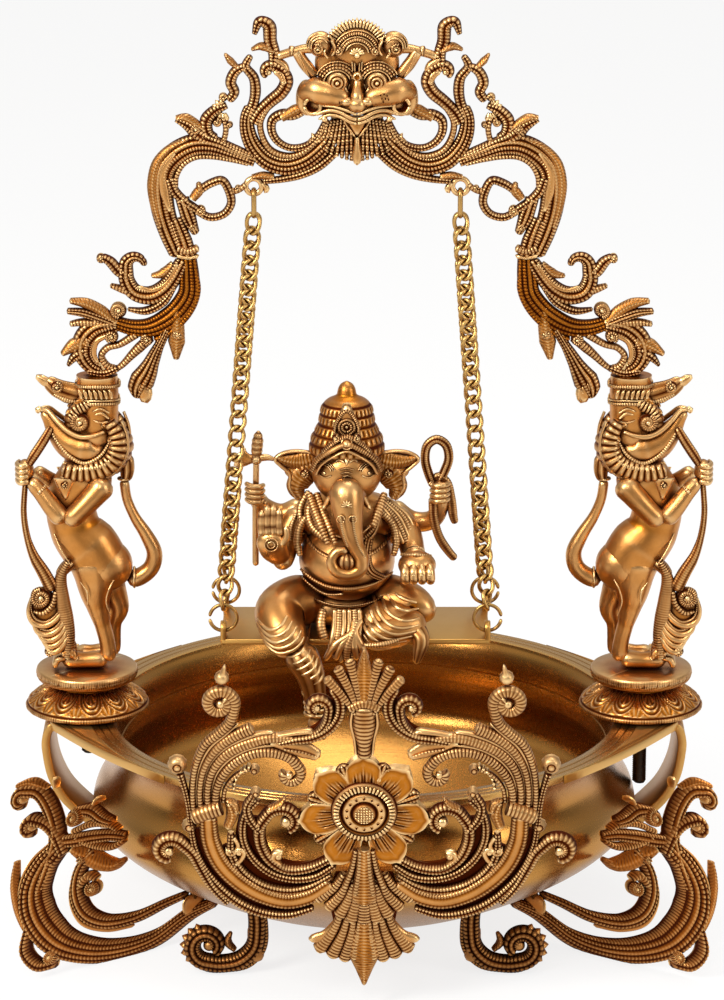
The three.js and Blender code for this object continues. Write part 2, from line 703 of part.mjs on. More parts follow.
const crownStrands = [
  { path: [[10, 133], [21, 123], [31, 118], [42, 115], [EAR_OUT - 5, EAR_HEIGHT + 3]], half: [2.5, 2.8, 2.2] },
  { path: [[12, 144], [22, 132], [31, 125], [41, 123], [51, 126], [58, 133], [62, 142], [62, 151], [59, 157]], half: [5, 5.5, 5.5, 5, 4] },
  {
    path: [[59, 148], [55, 154], [49, 160], [42, 166], [40, 172], [43, 178], [48, 181]],
    half: [3.5, 3.5, 3.5, 2.5, 1.5],
    curl: { wide: 5, tight: 3, turn: -190 },
  },
  { path: [[18, 148], [22, 140], [29, 134], [39, 132], [47, 136], [51, 143], [50, 151], [44, 154], [37, 154], [24, 160]], half: [2.2, 2.2, 2.2, 3, 2.5] },
  { path: [[62, 152], [58, 160], [57, 167], [58, 174], [63, 181]], half: [3, 2.8, 3, 2] },
  { path: [[62, 180], [70, 175], [70, 166], [77, 159], [83, 151], [85, 146], [80, 139]], half: [2, 3, 3.5, 5, 4, 3] },
  { path: [[66, 154], [70, 160]], half: [2.5, 2.5] },
  { path: [[76, 151], [76, 137]], half: [1.7, 1.7] },
  { path: [[102, 151], [95, 144], [88, 140], [78, 136], [68, 131], [60, 128]], half: [1.5, 5, 3, 2.4, 2.2] },
  { path: [[58, 126], [71, 131], [83, 135], [93, 135], [103, 130], [110, 122], [112, 112], [111, 98], [107, 84], [101, 70]], half: [4, 5, 6.5, 7, 7.5, 7, 6.5, 6] },
  { path: [[107, 116], [104, 108], [98, 102], [92, 98], [87, 94]], half: [3, 3, 2.4] },
  { path: [[92, 97], [84, 93], [76, 95], [72, 101], [73, 108], [77, 115], [83, 113], [88, 110], [94, 105]], half: [2.4, 2.2, 2.2] },
  { path: [[100, 104], [96, 92], [92, 84]], half: [4, 4.5, 2] },
  { path: [[104, 92], [99, 80], [COLLAR_OUT - 1, 60]], half: [4, 5, 5] },
  { path: [[20, 190], [29, 191], [36, 189], [46, 186]], half: [3, 2.4, 2.4] },
  { path: [[58, 199], [55, 206], [50, 204], [49, 195], [47, 188], [48, 180]], half: [1.5, 3, 4, 3.5, 3] },
  { path: [[34, 189], [29, 182], [22, 174]], half: [3, 3.2, 3] },
];

function makeEar() {
  const lobe = disc(EAR_OUT, EAR_HEIGHT, EAR_RADIUS, EAR_HALF_THICKNESS);
  const deep = [EAR_HALF_THICKNESS];
  const outer = strand({ path: [[EAR_OUT + 4, EAR_HEIGHT - 1], [74, EAR_HEIGHT - 3]], half: [1.8, 2], deep });
  const inner = strand({ path: [[EAR_OUT - 2, EAR_HEIGHT + 3], [EAR_OUT - 10, EAR_HEIGHT + 5]], half: [3, 3], deep });
  return [lobe, outer, inner];
}

function makeHead() {
  const top = 209.5;
  const sides = [-1, 1].flatMap((side) => [
    ball([side * 19, -6, 165], [14, 11, 9]),
    ball([side * 11.5, -13, 173], [5, 4, 5]),
    ball([side * 20, -5, 191], [10, 9, 9]),
  ]);
  const dome = ball([0, 0, top - 28], [30, 12, 28], 12, 8);
  const nose = ball([0, -13, 166], [7, 6, 8]);
  const beard = strand({ path: [[0, 168], [0, 146], [0, 128]], half: [19, 18, 12], deep: [7, 7, 5] });
  const tongue = strand({ path: [[0, 158], [0, 138], [0, 125]], half: [6, 3, 4], deep: [10, 9, 8] });
  return [dome, ...sides, nose, beard, tongue];
}

function makeCrown() {
  const half = join([...crownStrands.map(strand), ...makeEar()]);
  const whole = join([half, mirrored(half), ...makeHead()]);
  const below = block([-200, -60, 0], [200, 60, COLLAR_HEIGHT + SEAT_GAP / 2]);
  const holes = [-1, 1].map((side) => rod(
    [side * EAR_OUT, -EAR_RADIUS, EAR_HEIGHT],
    [side * EAR_OUT, EAR_RADIUS, EAR_HEIGHT],
    EAR_HOLE,
    12,
  ));
  return cut(whole, [below, ...holes]);
}
piece("arch_crown", shifted(spanned(makeCrown()), ARCH_LEAN, 0, 0), antique, arch);

// Hanging links, which rest in the ears

const earX = EAR_OUT * archSpan;
const earZ = archFoot + EAR_HEIGHT;
const bendInside = HANGER_BEND - HANGER_WIRE;
const bendDrop = bendInside - Math.sqrt(bendInside ** 2 - EAR_HALF_THICKNESS ** 2);
const hangerTop = earZ - EAR_HOLE + bendDrop + SEAT_GAP + HANGER_WIRE;
const hangerBottom = hangerTop - HANGER_LENGTH;

function makeHangingLink() {
  const path = [];
  const steps = 4;
  for (const [centre, from] of [[hangerTop - HANGER_BEND, 0], [hangerBottom + HANGER_BEND, Math.PI]]) {
    for (let i = 0; i <= steps; i++) {
      const turn = from + (Math.PI * i) / steps;
      path.push(vector(0, HANGER_BEND * Math.cos(turn), centre + HANGER_BEND * Math.sin(turn)));
    }
  }
  return bentWire(path, HANGER_WIRE, vector(1, 0, 0), true, 5);
}
const hangingLink = makeHangingLink();
const sides = [["left", -1], ["right", 1]];
const rows = [["front", -1], ["back", 1]];
for (const [side, sign] of sides) {
  piece(`hanging_link_${side}`, hangingLink, brass, frameAt(ARCH_LEAN + sign * earX, 0, 0));
}

// Swing seat, with a drilled tab bent up at each corner

const tabOut = (SEAT_LENGTH - SEAT_THICKNESS) / 2;
const tabRow = (SEAT_DEPTH - TAB_WIDTH) / 2;
const ringInside = RING_RADIUS - RING_WIRE;
const tabRise = ringInside - Math.sqrt(ringInside ** 2 - (SEAT_THICKNESS / 2) ** 2);
const holeZ = RING_HEIGHT - ringInside + tabRise + SEAT_GAP - TAB_HOLE;
const seatTop = holeZ - TAB_HOLE - TAB_HOLE_EDGE;
const seatBottom = seatTop - SEAT_THICKNESS;
const seat = frameAt(SEAT_CENTRE, 0, 0);
const seatScrews = [-1, 1].map((side) => FIGURE_OFFSET + side * SEAT_SCREW_SPREAD);

function makeSeat() {
  const [x, y] = [SEAT_LENGTH / 2, SEAT_DEPTH / 2];
  const shape = new THREE.Shape([
    [-x, -y], [x, -y], [x, y], [-x, y],
  ].map(([u, v]) => new THREE.Vector2(u, v)));
  const board = shifted(plate(shape, SEAT_THICKNESS), 0, 0, seatBottom);
  const tabs = [];
  for (const signX of [-1, 1]) {
    for (const signY of [-1, 1]) {
      const inside = signX * (x - SEAT_THICKNESS);
      const outside = signX * x;
      const low = [Math.min(inside, outside), signY * tabRow - TAB_WIDTH / 2, seatBottom];
      const crest = seatTop + TAB_HEIGHT - TAB_WIDTH / 2;
      const high = [Math.max(inside, outside), signY * tabRow + TAB_WIDTH / 2, crest + TAB_HOLE_EDGE];
      tabs.push(block(low, high));
      tabs.push(rod([low[0], signY * tabRow, crest], [high[0], signY * tabRow, crest], TAB_WIDTH / 2, 8));
    }
  }
  const holes = [-1, 1].map((signY) => rod(
    [-SEAT_LENGTH, signY * tabRow, holeZ],
    [SEAT_LENGTH, signY * tabRow, holeZ],
    TAB_HOLE,
    8,
  ));
  const screwHoles = seatScrews.map((at) => rod([at, 0, seatBottom - 5], [at, 0, seatTop + 5], screwHole, 6));
  return cut(join([board, ...tabs]), [...holes, ...screwHoles]);
}
piece("swing_plank", makeSeat(), brass, seat);

// Split rings through the tabs, and chains from them up to the hanging links

function makeRing() {
  const steps = 12;
  const path = [];
  for (let i = 0; i <= steps; i++) {
    const turn = degrees(lerp(RING_SPLIT / 2, 360 - RING_SPLIT / 2, i / steps));
    path.push(vector(RING_RADIUS * Math.cos(turn), 0, RING_RADIUS * Math.sin(turn)));
  }
  return bentWire(path, RING_WIRE, vector(0, 1, 0), false, 4);
}

// One link, long side along Z, with its ends at the bearing points
function makeLink(halfLength, turn) {
  const width = LINK_WIDTH / 2 - LINK_WIRE;
  const end = LINK_WIDTH * LINK_END_SHARE;
  const corners = [[end, halfLength], [width, 0], [end, -halfLength], [-end, -halfLength], [-width, 0], [-end, halfLength]];
  const direction = vector(Math.cos(turn), Math.sin(turn), 0);
  const normal = vector(-Math.sin(turn), Math.cos(turn), 0);
  const path = corners.map(([u, v]) => direction.clone().multiplyScalar(u).add(vector(0, 0, v)));
  return bentWire(path, LINK_WIRE, normal, true, 3);
}

function makeChain(top, bottom) {
  const run = top.clone().sub(bottom);
  const pitch = (run.length() - 2 * LINK_WIRE + LINK_BITE) / LINK_COUNT;
  const halfLength = (pitch + 2 * LINK_WIRE - LINK_BITE) / 2;
  const lean = new THREE.Quaternion().setFromUnitVectors(vector(0, 0, 1), run.clone().normalize());
  const links = [];
  for (let i = 0; i < LINK_COUNT; i++) {
    const twist = i === 0 ? 0 : CHAIN_TWIST;
    const link = toGeometry(makeLink(halfLength, degrees(i % 2 === 0 ? -twist : 90 - twist)));
    link.translate(0, 0, -halfLength - i * pitch);
    link.applyQuaternion(lean);
    link.translate(top.x, top.y, top.z);
    links.push(toSolid(link));
  }
  return join(links);
}

const ringTop = RING_HEIGHT + RING_RADIUS;
const bear = LINK_WIRE + SEAT_GAP;
const ring = makeRing();
for (const [side, signX] of sides) {
  for (const [row, signY] of rows) {
    const split = signX < 0 ? mirrored(ring) : ring;
    const ringX = SEAT_CENTRE + signX * tabOut;
    piece(`ring_${side}_${row}`, split, brass, frameAt(ringX, signY * tabRow, RING_HEIGHT));
    const startY = signY * (CHAIN_PAIR_GAP / 2 + LINK_WIRE);
    const top = vector(ARCH_LEAN + signX * earX, startY, hangerBottom + HANGER_WIRE + bear + 0.3);
    const bottom = vector(ringX, signY * tabRow, ringTop - RING_WIRE - bear);
    piece(`chain_${side}_${row}`, makeChain(top, bottom), brass);
  }
}

// Seated figure: right of its axis, toward the back, and up from the seat

function makeFigure() {
  const trunk = limb([[0, -30, 92], [0, -38, 78], [1, -41, 62], [0, -41, 48], [-7, -41, 41], [-13, -40, 46], [-11, -39, 53]],
    [11, 9, 7, 6, 5.5, 5, 3.5]);
  const body = [
    ball([0, 0, 16], [40, 25, 17], 8, 4),
    ball([0, -6, 40], [30, 26, 25], 8, 6),
    ball([0, 0, 62], [31, 17, 15], 8, 4),
    ball([-1, -16, 90], [19, 20, 21], 8, 6),
    trunk,
  ];
  const ears = [
    ball([-26, -8, 94], [17, 5, 15]),
    ball([24, -8, 94], [15, 5, 15]),
  ];
  const crown = shifted(turned([
    [0, 100], [22, 102], [24, 108], [20, 112], [19, 118], [14, 128], [13, 134], [6, 139], [5, 143], [0, 147],
  ], 8), -1, -8, 0);
  const arms = [
    limb([[-27, -2, 66], [-36, -4, 54], [-42, -12, 42], [-44, -22, 52], [-43, -26, 64]], [8, 8, 7, 6, 6]),
    ball([-43, -27, 70], [8, 4, 10]),
    limb([[27, -2, 66], [36, -6, 52], [38, -18, 42], [39, -30, 42]], [8, 8, 7, 7]),
    ball([38, -34, 44], [11, 9, 9]),
    limb([[-26, 6, 68], [-42, 8, 64], [-50, 4, 76], [-50, 0, 88]], [7, 7, 6, 5.5]),
    limb([[26, 6, 68], [42, 8, 58], [53, 4, 66], [54, 0, 82]], [7, 7, 6, 5.5]),
  ];
  const held = [
    limb([[-51, -3, 32], [-51, -3, 76], [-50, -3, 118]], [3, 3, 3]),
    shifted(strand({ path: [[-58, 113], [-46, 111]], half: [7, 5], deep: [2] }), 0, -3, 0),
    strand({
      path: [[53, 82], [48, 92], [47, 102]],
      half: [4, 5, 3],
      curl: { wide: 7, tight: 6, turn: -250 },
      deep: [3],
    }),
  ];
  const legs = [
    limb([[-20, -8, 18], [-36, -26, 20], [-26, -44, 8], [-18, -47, -20], [-17, -48, -44]], [16, 16, 15, 10, 7]),
    ball([-17, -51, -46], [7, 12, 6]),
    limb([[18, -6, 16], [42, -18, 16], [36, -36, 12], [14, -40, 9]], [15, 14, 12, 8]),
    ball([6, -38, 7], [10, 8, 6]),
  ];
  const scarf = limb([[34, -26, 12], [42, -37, 2], [40, -38, -10]], [8, 6, 3]);
  return join([...body, ...ears, crown, ...arms, ...held, ...legs, scarf]);
}

// What of the figure lies over the plank is cut flat to sit on it, and the rest hangs in front of it
function seatedFigure() {
  const gap = SEAT_GAP;
  const plank = block(
    [-SEAT_LENGTH, -SEAT_DEPTH / 2 - gap, -60],
    [SEAT_LENGTH, SEAT_DEPTH, 0],
  );
  const holes = [-1, 1].map((side) => rod(
    [side * SEAT_SCREW_SPREAD, 0, -5],
    [side * SEAT_SCREW_SPREAD, 0, SCREW_LENGTH - SEAT_THICKNESS + gap],
    screwHole,
    6,
  ));
  return cut(makeFigure(), [plank, ...holes]);
}
const figure = piece("ganesha", seatedFigure(), antique, seat);
figure.position.set(FIGURE_OFFSET, 0, seatTop + SEAT_GAP);

seatScrews.forEach((at, i) => {
  const upward = tilted(screw(SCREW_LENGTH), 180);
  const mesh = piece(`seat_screw_${i + 1}`, upward, brass, seat);
  mesh.position.set(at, 0, seatBottom - SEAT_GAP);
});

// Front ornament, in its own leaning plane: out from the middle and up from the rosette

const ornamentStrands = [
  { path: [[88, 2], [85, -20], [79, -33], [70, -45], [58, -54], [42, -59], [30, -56], [15, -46]], half: [4.5, 5, 5, 5, 4.5, 3.5] },
  { path: [[88, -4], [91, 14], [87, 32], [79, 44]], half: [8, 8, 7, 6] },
  {
    path: [[85, 40], [78, 50], [71, 58], [69, 67], [74, 75]],
    half: [3, 2.8, 2.8, 2.5, 2],
    curl: { wide: 8, tight: 4, turn: -300 },
  },
  { path: [[80, 40], [70, 50], [59, 56]], half: [3, 2.8, 2.6] },
  { path: [[78, 36], [67, 43], [54, 47], [39, 46], [27, 45], [17, 53], [12, 64], [15, 73]], half: [3, 2.8, 2.8, 3.5, 2.8, 2] },
  { path: [[82, 6], [79, 20], [71, 31], [60, 37], [49, 38], [39, 33], [35, 25], [38, 18], [44, 18]], half: [3, 2.8, 3, 2.8, 2.5, 2] },
  { path: [[103, 27], [99, 6], [95, -23], [89, -38], [81, -51], [68, -63], [53, -69], [36, -68], [20, -58]], half: [2.6, 2, 2, 2, 2] },
  { path: [[88, -48], [94, -36], [98, -25], [105, -19], [110, -24], [109, -32], [104, -33]], half: [2.5, 3.2, 4, 4, 3.5, 2] },
  { path: [[18, -30], [35, -41], [47, -38], [57, -28], [60, -14], [57, -3], [47, 2], [38, -3], [37, -12], [43, -15]], half: [2.5, 3, 3, 3, 2.8, 2.2] },
  { path: [[61, 9], [66, -3], [66, -19], [59, -33], [46, -45], [32, -47], [16, -36]], half: [1.2, 2.5, 2.5, 2.5, 2.5] },
  { path: [[80, -2], [73, -6], [64, -14]], half: [3, 4, 3] },
];

function makeOrnament() {
  const deep = [ORNAMENT_DEPTH];
  const half = join(ornamentStrands.map((shape) => strand({ deep, ...shape })));
  const rosette = tilted(petalled([
    [0, -3],
    [ROSETTE_RADIUS - 1, -3],
    [ROSETTE_RADIUS, 0],
    [ROSETTE_RADIUS * 0.55, 4],
    [ROSETTE_RADIUS * 0.48, 7],
    [7, 6],
    [0, 7.5],
  ], ROSETTE_PETALS, 2.5), 90);
  const top = strand({ path: [[0, 20], [0, 50], [0, 68], [0, 84], [0, 99]], half: [8, 5, 9, 13, 3], deep });
  const link = strand({ path: [[-17, 46], [0, 40], [17, 46]], half: [3, 4, 3], deep });
  const bottom = strand({
    path: [[0, -20], [0, -46], [0, -70], [0, -92], [0, -117]],
    half: [14, 22, 14, 18, 2],
    deep,
  });
  const sprays = [-1, 1].map((side) => strand({
    path: [[side * 10, -56], [side * 20, -72], [side * 31, -84]],
    half: [8, 8, 4],
    deep,
  }));
  return join([half, mirrored(half), rosette, top, link, bottom, ...sprays]);
}

function placedOrnament() {
  const tilt = degrees(ORNAMENT_TILT);
  const flat = shifted(tilted(makeOrnament(), ORNAMENT_TILT), 0, -ornamentOut, ornamentHeight);
  const plateY = -ornamentOut + LUG_DROP * Math.tan(tilt);
  const lugs = [-1, 1].map((side) => rod(
    [side * LUG_SPREAD, plateY, lugHeight],
    [side * LUG_SPREAD, plateY + 30, lugHeight],
    LUG_RADIUS,
  ));
  const holes = [-1, 1].map((side) => rod(
    [side * LUG_SPREAD, plateY + SCREW_GRIP, lugHeight],
    [side * LUG_SPREAD, plateY + 40, lugHeight],
    screwHole,
    6,
  ));
  return cut(join([flat, ...lugs]), [bowlSpace, ...holes]);
}
piece("front_ornament", placedOrnament(), brass);

for (const [side, sign] of sides) {
  const wallAt = Math.sqrt(radiusInside(lugHeight) ** 2 - LUG_SPREAD ** 2);
  const mesh = piece(`ornament_screw_${side}`, tilted(screw(LONG_SCREW_LENGTH), -90), brass);
  mesh.position.set(sign * LUG_SPREAD, -wallAt + SCREW_SINK, lugHeight);
}

// Scroll legs, each in an upright plane: out from the bowl's axis and up from the floor

const legStrands = [
  { path: [[157, 79], [172, 78], [188, 72], [205, 76]], half: [3, 4.5, 5, 5] },
  { path: [[204, 73], [218, 68], [226, 54], [222, 36], [208, 18], [188, 8], [164, 4], [142, 6], [120, 16], [104, 19]], half: [5, 9, 12, 11, 9, 7.5, 6, 5.5, 5, 3] },
  { path: [[198, 78], [200, 96], [212, 112], [224, 116]], half: [4, 5, 4.5, 3], curl: { wide: 6, tight: 4, turn: -200 } },
  { path: [[204, 78], [212, 92], [222, 94]], half: [4, 4.5, 3.5], curl: { wide: 5, tight: 3, turn: -160 } },
  { path: [[184, 72], [194, 64], [198, 48], [192, 30], [177, 20], [155, 18], [135, 24], [122, 25]], half: [3, 3.5, 3.5, 3.5, 3, 2.8] },
  { path: [[195, 57], [184, 58], [172, 49]], half: [4, 5.5, 2] },
  { path: [[196, 38], [186, 35], [180, 43], [187, 49]], half: [3, 3, 3, 2] },
  { path: [[229, 32], [231, 16], [222, 6], [210, 7]], half: [3, 3.5, 3.5, 2.5] },
];
const boss = strand({
  path: [[legBossOut, BOSS_LOW], [legBossOut, BOSS_HIGH]],
  half: [BOSS_RADIUS],
  deep: [BOSS_RADIUS],
});
const floorSpace = block([-400, -400, -50], [400, 400, 0]);

function makeLeg(angle, shift) {
  const shapes = legStrands.map(({ path, ...rest }) => strand({
    ...rest,
    path: path.map(([out, up]) => [shift(out + bellyRadius - LEG_DRAWN_BELLY), up]),
    deep: [LEG_DEPTH],
  }));
  const leg = swung(join([...shapes, boss]), angle);
  const [x, y] = around(angle, legBossOut);
  const hole = rod([x, y, underBowl(legBossOut) - SCREW_LENGTH + SCREW_GRIP], [x, y, RIM_HEIGHT], screwHole, 6);
  return cut(leg, [bowlSpace, floorSpace, hole]);
}

const straight = (out) => out;
const tucked = (out) => {
  const squeeze = (BACK_LEG_REACH - BACK_LEG_SPLIT) / (SIDE_LEG_REACH - BACK_LEG_SPLIT);
  return out > BACK_LEG_SPLIT ? BACK_LEG_SPLIT + (out - BACK_LEG_SPLIT) * squeeze : out;
};
piece("side_leg_left", makeLeg(legAngles.left, straight), dark);
piece("side_leg_right", makeLeg(legAngles.right, straight), dark);
piece("back_leg", makeLeg(legAngles.back, tucked), dark);

// Curled feet under the front of the bowl

function makeCurlFoot() {
  const foot = strand({
    path: [[0, 50], [-1, 29], [1, 16], [9, 7], [20, 5], [28, 6]],
    half: [5.5, 5, 5, 5, 4.5, 3, 2.5],
    curl: { wide: 11, tight: 5, turn: 380 },
    deep: [LEG_DEPTH],
  });
  const hole = rod([0, 0, 22], [0, 0, 60], screwHole, 6);
  return cut(foot, [hole]);
}
const curlFoot = makeCurlFoot();
for (const [side, sign] of sides) {
  const shape = shifted(sign < 0 ? mirrored(curlFoot) : curlFoot, sign * CURL_FOOT_OUT, -CURL_FOOT_FORWARD, 0);
  piece(`curl_foot_${side}`, cut(shape, [bowlSpace, floorSpace]), dark);
}

// Screws down through the bowl's bottom into the legs and feet

const screwNames = ["leg_screw_left", "leg_screw_right", "leg_screw_back", "foot_screw_left", "foot_screw_right"];
bossPlaces.forEach(([x, y], i) => {
  const radius = Math.hypot(x, y) + SCREW_HEAD_RADIUS;
  const mesh = piece(screwNames[i], screw(SCREW_LENGTH), brass);
  mesh.position.set(x, y, overBowl(radius) + SEAT_GAP);
});

export default urli;
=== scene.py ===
# The frame, the camera and the light. The piece is photographed from the front and a little above,
# on a pale table, under soft lamps. Sizes below are millimetres, and MM turns them into metres.
import math

import bpy
import numpy as np
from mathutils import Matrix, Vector
from mathutils.bvhtree import BVHTree


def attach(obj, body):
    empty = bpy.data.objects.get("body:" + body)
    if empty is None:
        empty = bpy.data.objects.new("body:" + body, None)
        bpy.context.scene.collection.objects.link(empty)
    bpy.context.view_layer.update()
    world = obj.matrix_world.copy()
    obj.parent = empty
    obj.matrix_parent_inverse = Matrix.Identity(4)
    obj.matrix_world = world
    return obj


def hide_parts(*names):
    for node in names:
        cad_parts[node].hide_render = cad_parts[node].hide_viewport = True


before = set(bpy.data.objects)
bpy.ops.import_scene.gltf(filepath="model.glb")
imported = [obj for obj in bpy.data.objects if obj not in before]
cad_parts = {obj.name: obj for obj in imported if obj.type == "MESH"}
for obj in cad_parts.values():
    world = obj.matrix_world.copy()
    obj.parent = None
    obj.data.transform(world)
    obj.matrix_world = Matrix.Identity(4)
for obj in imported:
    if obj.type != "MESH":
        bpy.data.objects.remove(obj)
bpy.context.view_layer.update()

MM = 0.001
TARGET = (-1.2, 0.0, 247.5)
CAMERA_DISTANCE = 2500
CAMERA_PITCH = 16.5
LENS = 154.3
SENSOR = 36

pitch = math.radians(CAMERA_PITCH)
camera_data = bpy.data.cameras.new("camera")
camera_data.lens = LENS
camera_data.sensor_width = SENSOR
camera_data.sensor_fit = "AUTO"
camera_data.clip_end = 30
camera = bpy.data.objects.new("camera", camera_data)
bpy.context.scene.collection.objects.link(camera)
camera.location = (
    TARGET[0] * MM,
    (TARGET[1] - CAMERA_DISTANCE * math.cos(pitch)) * MM,
    (TARGET[2] + CAMERA_DISTANCE * math.sin(pitch)) * MM,
)
camera.rotation_euler = (math.pi / 2 - pitch, 0, 0)
bpy.context.scene.camera = camera
bpy.context.scene.view_settings.view_transform = "Standard"


def lamp(name, size, place, power, tint):
    data = bpy.data.lights.new(name, "AREA")
    data.shape = "RECTANGLE"
    data.size, data.size_y = size
    data.energy = power
    data.color = tint
    light = bpy.data.objects.new(name, data)
    light.location = place
    light.rotation_euler = (Vector((0, 0, 0.25)) - Vector(place)).to_track_quat("-Z", "Y").to_euler()
    bpy.context.scene.collection.objects.link(light)


lamp("key_lamp", (0.7, 1.0), (-1.5, -1.6, 1.7), 58, (1, 0.97, 0.92))
lamp("fill_lamp", (0.7, 1.2), (1.9, -1.2, 1.0), 14, (1, 0.98, 0.95))
lamp("top_lamp", (1.2, 0.8), (0.2, 0.3, 2.2), 16, (1, 1, 1))
lamp("strip_lamp", (0.25, 1.4), (-0.25, -2.6, 2.0), 14, (1, 1, 1))


def node(tree, kind, inputs=None, **settings):
    """A new node. Each input is given a value, or is joined to another node's output"""
    made = tree.nodes.new(kind)
    for key, value in settings.items():
        setattr(made, key, value)
    for key, value in (inputs or {}).items():
        if isinstance(value, bpy.types.NodeSocket):
            tree.links.new(value, made.inputs[key])
        else:
            made.inputs[key].default_value = value
    return made


# The room: bright overhead and behind, dimmer on the camera's side, as a studio is
world = bpy.data.worlds.new("studio")
bpy.context.scene.world = world
world.use_nodes = True
tree = world.node_tree
place = node(tree, "ShaderNodeTexCoord")
apart = node(tree, "ShaderNodeSeparateXYZ", {0: place.outputs["Generated"]})
height = node(tree, "ShaderNodeMapRange", {
    "Value": apart.outputs["Z"], "From Min": 0.05, "From Max": 0.75, "To Min": 0.12, "To Max": 0.78,
}, interpolation_type="SMOOTHSTEP")
behind = node(tree, "ShaderNodeMapRange", {
    "Value": apart.outputs["Y"], "From Min": -0.2, "From Max": 0.6, "To Min": 0.0, "To Max": 0.5,
}, interpolation_type="SMOOTHSTEP")
both = node(tree, "ShaderNodeMath", {0: height.outputs[0], 1: behind.outputs[0]}, operation="MAXIMUM")
sky = tree.nodes["Background"]
sky.inputs["Color"].default_value = (1, 0.985, 0.96, 1)
tree.links.new(both.outputs[0], sky.inputs["Strength"])

# The floor is paper that shows white to the camera and a little less so in reflections
CAMERA_GLOW = 0.8
GLOSSY_GLOW = 0.5
bpy.ops.mesh.primitive_plane_add(size=14, location=(0, 2, -0.0002))
floor = bpy.context.object
floor.name = "floor"
paper = bpy.data.materials.new("paper")
paper.use_nodes = True
tree = paper.node_tree
surface = tree.nodes["Principled BSDF"]
surface.inputs["Base Color"].default_value = (0.87, 0.87, 0.87, 1)
surface.inputs["Roughness"].default_value = 0.9
surface.inputs["Specular IOR Level"].default_value = 0.1
glow = node(tree, "ShaderNodeEmission", {"Strength": 1.0})
seen = node(tree, "ShaderNodeLightPath")
bounced = node(tree, "ShaderNodeMath", {
    0: seen.outputs["Is Glossy Ray"], 1: seen.outputs["Is Transmission Ray"],
}, operation="ADD")
any_ray = node(tree, "ShaderNodeMath", {
    0: seen.outputs["Is Camera Ray"], 1: CAMERA_GLOW / GLOSSY_GLOW, 2: bounced.outputs[0],
}, operation="MULTIPLY_ADD")
share = node(tree, "ShaderNodeMath", {0: any_ray.outputs[0], 1: GLOSSY_GLOW}, operation="MULTIPLY")
blend = node(tree, "ShaderNodeMixShader", {
    0: share.outputs[0], 1: surface.outputs[0], 2: glow.outputs[0],
})
tree.links.new(blend.outputs[0], tree.nodes["Material Output"].inputs["Surface"])
floor.data.materials.append(paper)


# Bowl: heavy sand-cast brass, turned on a lathe inside and out, with a broad flat lip in which two fine
# lines are cut. The skin is satin, with the marks of the turning tool, and painted shade makes it browner low
# down and in corners.
def new_group(name, sockets_in, sockets_out):
    group = bpy.data.node_groups.new(name, "ShaderNodeTree")
    for label, kind, value in sockets_in:
        socket = group.interface.new_socket(label, in_out="INPUT", socket_type=kind)
        socket.default_value = value
    for label, kind in sockets_out:
        group.interface.new_socket(label, in_out="OUTPUT", socket_type=kind)
    return group, group.nodes.new("NodeGroupInput"), group.nodes.new("NodeGroupOutput")


FLOAT, COLOUR = "NodeSocketFloat", "NodeSocketColor"

# Patina and painted light: dark wax in the hollows plus painted shade, and bright rubbed high spots plus a
# painted highlight
patina_and_painted_light, given, put = new_group("patina_and_painted_light", [
    ("Body", COLOUR, (0.5, 0.3, 0.1, 1)),
    ("Bright", COLOUR, (0.8, 0.55, 0.2, 1)),
    ("Hollow", COLOUR, (0.1, 0.04, 0.01, 1)),
    ("Reach", FLOAT, 0.006),
    ("Strength", FLOAT, 1.0),
    ("Mottle", FLOAT, 0.3),
    ("Satin", FLOAT, 0.3),
], [("Colour", COLOUR), ("Roughness", FLOAT), ("Grain", FLOAT), ("Hollows", FLOAT)])
where = node(patina_and_painted_light, "ShaderNodeTexCoord")
# Ambient occlusion paints shade into the colour: darker in recesses, low down and where other parts stand
# close
shade = node(patina_and_painted_light, "ShaderNodeAmbientOcclusion", {"Distance": given.outputs["Reach"]}, samples=6)
occlusion_shade = node(patina_and_painted_light, "ShaderNodeMapRange", {
    "Value": shade.outputs["AO"], "From Min": 0.2, "From Max": 0.78, "To Min": 1.0, "To Max": 0.0,
}, interpolation_type="SMOOTHSTEP")
carve = node(patina_and_painted_light, "ShaderNodeAttribute", attribute_name="carve")
cloud = node(patina_and_painted_light, "ShaderNodeTexNoise", {
    "Vector": where.outputs["Object"], "Scale": 90.0, "Detail": 4.0, "Roughness": 0.6,
})
fine = node(patina_and_painted_light, "ShaderNodeTexNoise", {
    "Vector": where.outputs["Object"], "Scale": 900.0, "Detail": 3.0, "Roughness": 0.65,
})
stain = node(patina_and_painted_light, "ShaderNodeMapRange", {
    "Value": cloud.outputs["Fac"], "From Min": 0.42, "From Max": 0.72,
})
stained = node(patina_and_painted_light, "ShaderNodeMath", {0: stain.outputs[0], 1: given.outputs["Mottle"]},
               operation="MULTIPLY")
carved_and_shaded = node(patina_and_painted_light, "ShaderNodeMath", {0: carve.outputs["Fac"], 1: occlusion_shade.outputs[0]},
              operation="MAXIMUM")
scaled = node(patina_and_painted_light, "ShaderNodeMath", {0: carved_and_shaded.outputs[0], 1: given.outputs["Strength"]},
              operation="MULTIPLY")
summed = node(patina_and_painted_light, "ShaderNodeMath", {0: scaled.outputs[0], 1: stained.outputs[0]}, operation="ADD",
              use_clamp=True)
